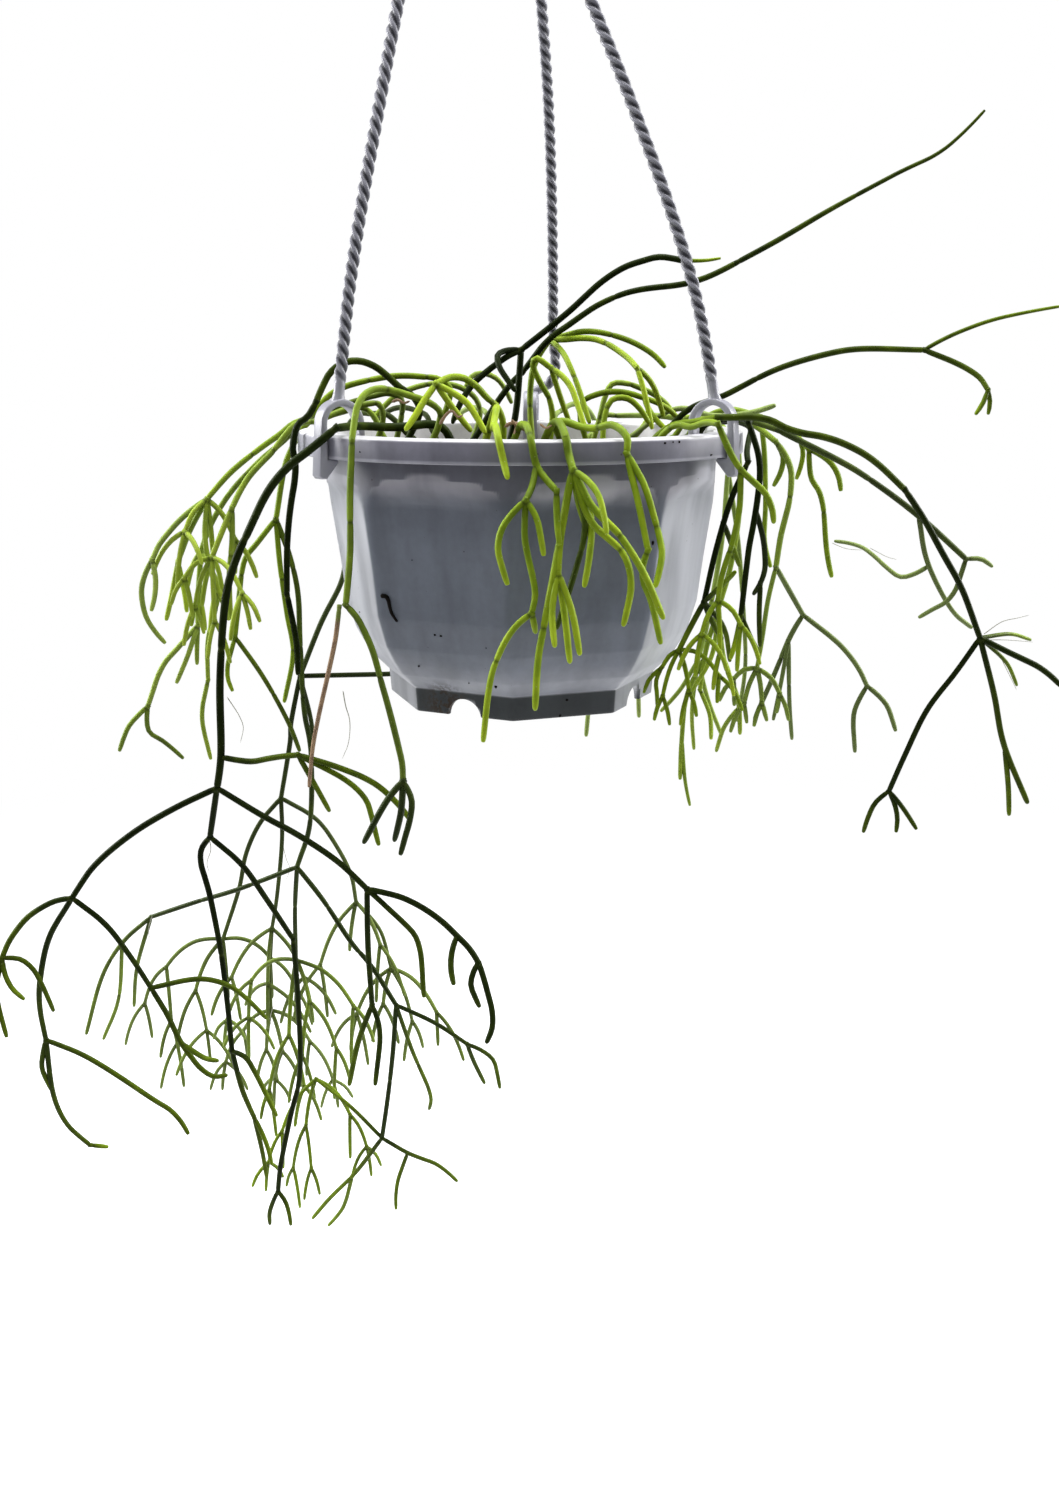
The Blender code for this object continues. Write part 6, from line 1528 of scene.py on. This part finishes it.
def makeClip(azimuth):
    # The outline given a width and small rounded edges
    across = around(azimuth + 90.0, 1.0)
    half = hangerShape["clipHalfWidth"]
    shape = bmesh.new()
    corners = [shape.verts.new(around(azimuth, r, z) - across * half) for r, z in clipOutline()]
    face = shape.faces.new(corners)
    raised = bmesh.ops.extrude_face_region(shape, geom=[face])
    moved = [item for item in raised["geom"] if isinstance(item, bmesh.types.BMVert)]
    bmesh.ops.translate(shape, verts=moved, vec=across * 2.0 * half)
    bmesh.ops.recalc_face_normals(shape, faces=shape.faces)
    turned = {face: abs(face.normal.dot(across)) for face in shape.faces}
    rims = [edge for edge in shape.edges if max(turned[f] for f in edge.link_faces) > 0.9
            and min(turned[f] for f in edge.link_faces) < 0.1]
    bmesh.ops.bevel(shape, geom=rims, offset=0.8, segments=3, profile=0.5, affect="EDGES")
    bmesh.ops.triangulate(shape, faces=[f for f in shape.faces if len(f.verts) > 4])
    shape.verts.ensure_lookup_table()
    points = np.array([v.co[:] for v in shape.verts])
    quads, tris = (np.array([[v.index for v in f.verts] for f in shape.faces if len(f.verts) == count])
                   for count in (4, 3))
    shape.free()
    return points, quads.reshape(-1, 4), tris.reshape(-1, 3), {"groove": np.zeros(len(points))}


def addHangerPart(meshName, pieceName, parts, node):
    mesh = makeMesh(meshName, *joinParts(parts))
    mesh.set_sharp_from_angle(angle=math.radians(50.0))
    addPiece(pieceName, mesh, materials["hanger"], (node,))


def makeLegs():
    for side, (azimuth, view) in hangerLegs.items():
        word = side.capitalize()
        addHangerPart("leg" + word, "hangerLeg" + word, [makeRod(azimuth, view), makeClip(azimuth)],
                      "hanger_leg_" + side)


def makeHook():
    # The hub is a turned profile of radius and height, closed on the axis; the hook is a wire
    h = hangerShape
    high, wide, columns = h["hubHeight"], h["hubRadius"], h["hubColumns"]
    profile = np.array(((1.0, 0.0), (wide - 0.6, 0.0), (wide, 0.6), (wide - 2.3, high - 0.8),
                        (wide - 3.3, high), (4.0, high), (1.0, high)))
    rings = roundSections(profile[:, 0], columns)
    heights = np.broadcast_to(profile[:, 1, None, None], (len(profile), columns, 1))
    rings = (np.concatenate((rings, heights), 2) + hubPlace).reshape(-1, 3)
    points = np.vstack((rings, hubPlace, hubPlace + (0, 0, high)))
    hub = (points, gridQuads(len(profile), columns), endTris(len(profile), columns),
           {"groove": np.zeros(len(points))})
    top = hubPlace + (0, 0, high)
    centre = top + (0, 0, h["shank"] + h["bend"])
    route = [top - (0, 0, 3.0), top + (0, 0, h["shank"] * 0.6)]
    for degrees in (-84.0, *range(-60, 211, 15), h["arcEnd"]):
        angle = math.radians(degrees)
        route.append(centre + h["bend"] * np.array((math.cos(angle), 0.0, math.sin(angle))))
    route = smoothRoute(route, 1.0)
    run = arcLength(route)
    radii = h["wireRadius"] * np.sqrt(np.clip((run[-1] - run + 0.05) / h["wireRadius"], 0.0, 1.0))
    radii += 1.6 * np.clip(1.0 - (run - 3.0) / 4.0, 0.0, 1.0) ** 2
    wire = sweep(route, roundSections(radii, 20))
    addHangerPart("hangerHook", "hangerHookAndHub",
                  [hub, (*wire, {"groove": np.zeros(len(wire[0]))})], "hanger_hook")


# Stems
# How much greyer than their age alone makes them the runs of these stems look; the last value
# also serves the runs after it
stemFading = {
    "stem_right_b": (0.10, 0.25, 0.90, 0.90, 0.90, 0.90, 0.90, 0.90, 0.90, 0.10, 0.30),
    "stem_right_arch_b": (0.35, 0.40, 0.90), "stem_right_tip": (0.80,), "stem_front_left": (0.12,),
    "stem_right_low_a": (0.12,), "stem_right_low_b": (0.12,), "stem_left_c": (0.20,),
    "stem_left_a": (0.0, 0.10, 0.45, 0.45, 0.45, 0.10, 0.10, 0.10, 0.20),
    "stem_left_b": (0.15, 0.15, 0.15, 0.35, 0.15, 0.15, 0.15, 0.35, 0.20),
}


def agesOfRuns(runs):
    # Each run's age at its start, most of it taken from the run that it grew from, and at its end
    ages = []
    for number, run in enumerate(runs):
        before = [other["age"] for other in runs[:number] if run["points"][0] in other["points"]]
        start = 0.6 * before[0] + 0.4 * run["age"] if before else run["age"]
        ages.append((start, run["age"]))
    return ages


def stemPart(run, points, tone, ages, fading, isTip, random):
    # One run as a tube: pinched at its joints, fuller between them, rounded at its end and, if
    # nothing forks from there, narrowed towards it
    look = stemLook
    route = points[run["points"]]
    radii = np.asarray(run["radii"])
    if not run["rooted"]:
        back = unit(route[1] - route[0])
        route = np.vstack((route[0] - back * radii[0] * 0.8, route[1:]))
    route = smoothRoute(route, 0.8 if len(route) > 2 else 2.0)
    length = arcLength(route)
    total = length[-1]
    # Joints, and where along the run the tube gets its rings
    gaps = max(1, int(round(total / look["jointSpacing"][tone])))
    joints = total * (np.arange(gaps) + np.r_[0.0, random.uniform(-0.16, 0.16, gaps - 1)]) / gaps
    joints[0] = 1.6 + 0.8 * radii[0]
    edges = np.r_[joints, total]
    width = look["jointWidth"] * max(0.6, radii[0] / 2.0)
    near = (joints[:, None] + width * np.array((-1.8, -0.9, 0.0, 0.9, 1.8))).ravel()
    tip = radii[-1]
    capAt = total - tip * (1.0 - np.sin(np.radians((0.0, 22.0, 42.0, 60.0, 74.0, 85.0))))
    at = np.linspace(0.0, total, max(4, int(total / look["step"])))
    at = np.unique(np.round(np.r_[at, near, capAt], 3))
    at = at[(at >= 0.0) & (at <= capAt[-1])]
    at = at[np.r_[True, np.diff(at) > 0.25]]
    # The radius at each ring
    even = np.linspace(0.0, total, 30)
    base = np.interp(even, np.linspace(0.0, total, len(radii)), radii)
    base *= 1.0 + look["fuller"] * np.clip((look["thin"] - base) / 0.3, 0.0, 1.0)
    radius = np.interp(at, even, base)
    joint = np.exp(-((at[:, None] - joints[None]) / width) ** 2).max(1)
    radius *= 1.0 - look["pinch"] * joint
    span = np.clip(np.searchsorted(edges, at, side="right") - 1, 0, len(edges) - 2)
    share = np.clip((at - edges[span]) / np.maximum(edges[span + 1] - edges[span], 1e-6), 0.0, 1.0)
    radius *= 1.0 + look["bulge"] * (np.sin(math.pi * share) - 0.5)
    toEnd = np.clip((total - at) / tip, 0.0, 1.0)
    radius *= np.sqrt(np.maximum(1.0 - (1.0 - toEnd) ** 2, 0.0))
    if isTip:
        narrowing = 1.0 - np.clip((total - at) / (look["tipReach"] * tip), 0.0, 1.0)
        radius *= 1.0 - look["tipNarrower"] * narrowing ** 2
    line = readAlong(route, length, at)
    sections = roundSections(radius, look["sides"] if tip > look["coarseUnder"] else look["sides"] - 2)
    mesh = sweep(line, sections)
    columns = sections.shape[1]
    # What the material reads
    skin = skinOf(sections, at)
    skin[:, 2] += random.uniform(0.0, 400.0)
    age = ages[0] + (ages[1] - ages[0]) * np.clip(1.6 * at / total, 0.0, 1.0)
    age += random.uniform(-0.04, 0.04) - look["jointFade"] * (share - 0.5)
    pale = (line[:, 1] - look["paleFrom"]) / (look["paleTo"] - look["paleFrom"])
    pale = np.maximum(look["paleMost"] * np.clip(pale, 0.0, 1.0), fading)
    pale = pale * np.clip(1.3 - 1.3 * age, 0.0, 1.0)
    fresh = np.clip((look["greenEnd"] - at) / 2.5, 0.0, 1.0)
    marks = {key: np.r_[np.repeat(values, columns), values[0], values[-1]] for key, values
             in (("age", age), ("joint", joint), ("pale", pale), ("fresh", fresh))}
    # upper: how far each point lies above the stem's middle line, as a share of the radius; it places the
    # painted light on top and the painted shade underneath
    rise = mesh[0][:-2, 2].reshape(-1, columns) - line[:, 2:]
    upper = np.r_[(rise / np.maximum(radius, 0.05)[:, None]).ravel(), 0.0, 0.0]
    return (*mesh, {"skin": skin, "upper": upper, **marks})


def makeStems(points, runs, names):
    random = np.random.RandomState(stemLook["seed"])
    total = 0
    for owner, name in enumerate(names):
        mine = [run for run in runs if run["owner"] == owner]
        tone = stemRoutes[name][0] if name in stemRoutes else "dry"
        fading = stemFading.get(name, (0.0,))
        forks = {run["points"][0] for run in mine}
        parts = [stemPart(run, points, "old" if tone == "dry" else tone, ages,
                          fading[min(number, len(fading) - 1)], run["points"][-1] not in forks, random)
                 for number, (run, ages) in enumerate(zip(mine, agesOfRuns(mine)))]
        mesh = makeMesh(name + "Skin", *joinParts(parts))
        first, *others = name.split("_")
        pieceName = first + "".join(word.capitalize() for word in others) + "Skin"
        addPiece(pieceName, mesh, materials[tone], (name,))
        total += len(mesh.polygons)
    print("stems:", len(names), "pieces,", total, "faces")


# Aerial roots, dry bits and specks
fineThings = {
    # Aerial roots: depth, first radius, and the line seen from the front, across and down
    "roots": (
        (-30, 0.30, 343, 691, 346, 705, 349, 722, 348, 742, 343, 759),
        (-66, 0.26, 227, 697, 233, 706, 240, 716, 243, 728, 241, 742),
        (2, 0.28, 458, 1182, 459, 1196, 461, 1208, 466, 1221),
        (12, 0.24, 377, 1212, 374, 1226, 372, 1238),
        (-60, 0.26, 209, 838, 210, 850, 206, 862, 209, 872),
        (84, 0.22, 283, 846, 286, 860, 290, 868, 287, 880),
        (-84, 0.20, 152, 916, 148, 930, 150, 941),
        (8, 0.20, 832, 543, 846, 548, 862, 550),
        (12, 0.20, 870, 548, 886, 556, 897, 560),
        (-58, 0.24, 984, 634, 1002, 622, 1018, 619, 1030, 615),
        (-52, 0.20, 985, 640, 1008, 640, 1032, 641),
        (-30, 0.20, 1002, 660, 1009, 676, 1016, 690),
        (60, 0.22, 297, 1120, 299, 1146, 297, 1170, 300, 1194),
        (40, 0.20, 276, 1000, 270, 1018, 274, 1036),
    ),
    "rootEnd": 0.12, "rootCurl": 0.5,
    # Dry bits among the stems: depth, radius and line
    "dryBits": (
        (-84, 0.9, 505, 427, 511, 423, 518, 424, 524, 430, 530, 428),
        (-88, 0.7, 512, 420, 516, 427, 514, 434),
        (-80, 0.8, 440, 424, 446, 415, 452, 411, 458, 417, 463, 415),
        (-70, 0.8, 392, 402, 398, 400, 404, 403, 410, 401),
        (-92, 0.6, 540, 424, 546, 428, 552, 425),
    ),
    # A dark dried scrap that clings to the pot, and specks with their sizes, as seen from the front
    "scrap": ((381.5, 595.5), (386.5, 596.4), (388.9, 600.5), (390.3, 607.3), (392.4, 613.7),
              (397.7, 621.6)),
    "scrapRadius": 1.15,
    "specks": ((652.8, 542.8, 1.0), (590, 540.7, 0.9), (435, 635, 0.6), (441, 636, 0.5),
               (469, 683, 0.5), (496, 686.5, 0.8), (567, 700, 0.6), (673, 442, 0.5), (679, 442, 0.5),
               (665, 443, 0.6), (419, 666, 0.6), (568, 718, 1.6), (551, 720, 0.9), (560, 716, 0.7),
               (486, 648, 0.4), (412, 560, 0.4), (360, 612, 0.5), (711, 455, 0.6), (360, 452, 0.5)),
    "seed": 5,
}


def onPot(pot, across, down):
    # The point of the pot that the front view shows at this place
    eye = (np.array(frontView["eye"]) + rimCentre) * mm
    aim = (seen(across, down, 0.0) + rimCentre) * mm - eye
    hit, place, outward, _ = pot.ray_cast(eye.tolist(), (aim / np.linalg.norm(aim)).tolist())
    return (np.array(place) / mm - rimCentre, np.array(outward)) if hit else None


def thread(route, first, last, sides, step):
    # A thin tube that narrows from its first radius to its last
    line = smoothRoute(route, step)
    radii = np.linspace(first, last, len(line))
    radii[0] *= 0.5
    radii[-1] *= 0.4
    sections = roundSections(radii, sides)
    return (*sweep(line, sections), {"skin": skinOf(sections, arcLength(line))})


def makeFineThings(pot):
    look = fineThings
    random = np.random.RandomState(look["seed"])
    roots = []
    for depth, radius, *places in look["roots"]:
        route = np.array([seen(u, v, depth) for u, v in np.reshape(places, (-1, 2))])
        route[1:] += random.uniform(-1.0, 1.0, (len(route) - 1, 3)) * look["rootCurl"]
        roots.append(thread(route, radius, look["rootEnd"], 6, 1.2))
    bits = []
    for depth, radius, *places in look["dryBits"]:
        route = [seen(u, v, depth + 5.0 * math.sin(u)) for u, v in np.reshape(places, (-1, 2))]
        bits.append(thread(route, radius, radius * 0.6, 7, 0.9))
    found = [onPot(pot, u, v) for u, v in look["scrap"]]
    route = [hit[0] + hit[1] * 0.4 for hit in found if hit]
    scrap = thread(route, look["scrapRadius"], look["scrapRadius"] * 0.5, 8, 0.6)
    for name, parts, key in (("aerialRoots", roots, "roots"), ("dryBits", bits, "dry"),
                             ("darkScrap", [scrap], "scraps")):
        addPiece(name, makeMesh(name, *joinParts(parts)), materials[key])
    found = [(onPot(pot, u, v), size) for u, v, size in look["specks"]]
    centres, sizes = (np.array(values) for values in zip(*((hit[0], size) for hit, size in found if hit)))
    scatterCrumbs("potSpecks", centres, sizes, random, materials["scraps"], 1.0)
    print("fine things:", len(roots), "roots,", len(centres), "specks")


# Camera, lights and floor
studio = {
    "floorHeight": -0.93, "floorRadius": 7.0, "floorColour": (0.90, 0.90, 0.905),
    "floorDarker": (0.84, 0.84, 0.85), "floorColumns": 128, "white": (1.0, 1.0, 1.0), "worldAround": 0.24,
    "worldSeen": 1.0, "fadeFrom": 0.2, "fadeTo": 1.5,
    # name: place, aimed at, size, power, colour
    "lights": {
        "skyPanel": ((0.0, 0.25, 1.5), (0.0, 0.0, -0.4), 1.7, 62.0, (1.0, 1.0, 1.0)),
        "leftPanel": ((-1.5, 0.45, 0.1), (0.0, 0.0, -0.4), 1.1, 40.0, (1.0, 1.0, 0.99)),
        "rightPanel": ((1.5, 0.45, 0.1), (0.0, 0.0, -0.4), 1.1, 36.0, (1.0, 1.0, 0.99)),
        "frontFill": ((-0.6, -2.2, 0.9), (0.0, 0.0, -0.4), 1.6, 10.0, (0.97, 0.98, 1.0)),
    },
}


def pointAt(thing, target):
    way = np.array(target) - np.array(thing.location)
    thing.rotation_euler = (math.atan2(math.hypot(way[0], way[1]), -way[2]), 0.0,
                            math.atan2(way[1], way[0]) - math.pi / 2.0)


def makeCamera():
    longSide = 1504.0
    data = bpy.data.cameras.new("photographView")
    data.lens = frontView["scale"] / longSide * data.sensor_width
    camera = newObject("photographView", data)
    camera.location = (np.array(frontView["eye"]) + rimCentre) * mm
    camera.rotation_euler = (math.pi / 2.0 - frontView["pitch"], 0.0, 0.0)
    bpy.context.scene.camera = camera


def skyStrength(tree):
    # worldSeen for what the camera sees, worldAround for what lights the plant
    seenByCamera = put(tree, "ShaderNodeLightPath").outputs["Is Camera Ray"]
    return maths(tree, "MULTIPLY_ADD", seenByCamera, studio["worldSeen"] - studio["worldAround"],
                 studio["worldAround"])


def makeLights():
    for name, (place, aim, size, power, colour) in studio["lights"].items():
        data = bpy.data.lights.new(name, "AREA")
        data.shape = "DISK"
        data.size = size
        data.energy = power
        data.color = colour
        light = newObject(name, data)
        light.location = place
        pointAt(light, aim)
    world = bpy.data.worlds.new("softStudio")
    bpy.context.scene.world = world
    world.use_nodes = True
    tree = world.node_tree
    tree.nodes.clear()
    background = put(tree, "ShaderNodeBackground", {"Color": studio["white"],
                                                    "Strength": skyStrength(tree)})
    put(tree, "ShaderNodeOutputWorld", {0: background.outputs[0]})


def makeFloor():
    # A large pale disc that brightens into the white surround
    columns = studio["floorColumns"]
    rings = roundSections(np.array((0.01, 0.5, 1.0, 2.0, 4.0, studio["floorRadius"])), columns)
    flat = np.full((*rings.shape[:2], 1), studio["floorHeight"])
    mesh = bpy.data.meshes.new("floor")
    mesh.from_pydata(np.concatenate((rings, flat), 2).reshape(-1, 3).tolist(), [],
                     [*gridQuads(len(rings), columns, True).tolist(), list(range(columns))])
    floor = newObject("floor", mesh)
    material, tree, where = startMaterial("paleFloor")
    grain = noise(tree, where, 3.0, 3.0)
    coat(tree, mixColour(tree, grain, studio["floorColour"], studio["floorDarker"]), 0.9, 0.1)
    away = vector(tree, "DISTANCE", where, second=(0.0, 0.0, studio["floorHeight"]))
    fade = between(tree, away, studio["fadeFrom"], studio["fadeTo"])
    glow = put(tree, "ShaderNodeEmission", {"Color": studio["white"], "Strength": skyStrength(tree)})
    shader = tree.nodes["Principled BSDF"]
    both = put(tree, "ShaderNodeMixShader", {0: fade, 1: shader.outputs[0], 2: glow.outputs[0]})
    feed(tree, tree.nodes["Material Output"].inputs[0], both.outputs[0])
    mesh.materials.append(material)


def main():
    makeCamera()
    makeLights()
    makeFloor()
    print("studio ready")
    random = np.random.RandomState(soilShape["seed"])
    pot = makePot()
    makeSoil(random)
    makeCrumbs(random)
    makeLegs()
    makeHook()
    print("hanger made")
    points, runs, names = layOutStems()
    points = bendClear(points, runs, thingsToClear())
    seatShoot(points, runs, names)
    print("stems laid out:", len(runs), "runs")
    makeStems(points, runs, names)
    makeFineThings(pot)
    bpy.context.scene.view_settings.view_transform = "Standard"
    bpy.context.scene.view_settings.look = "None"


main()
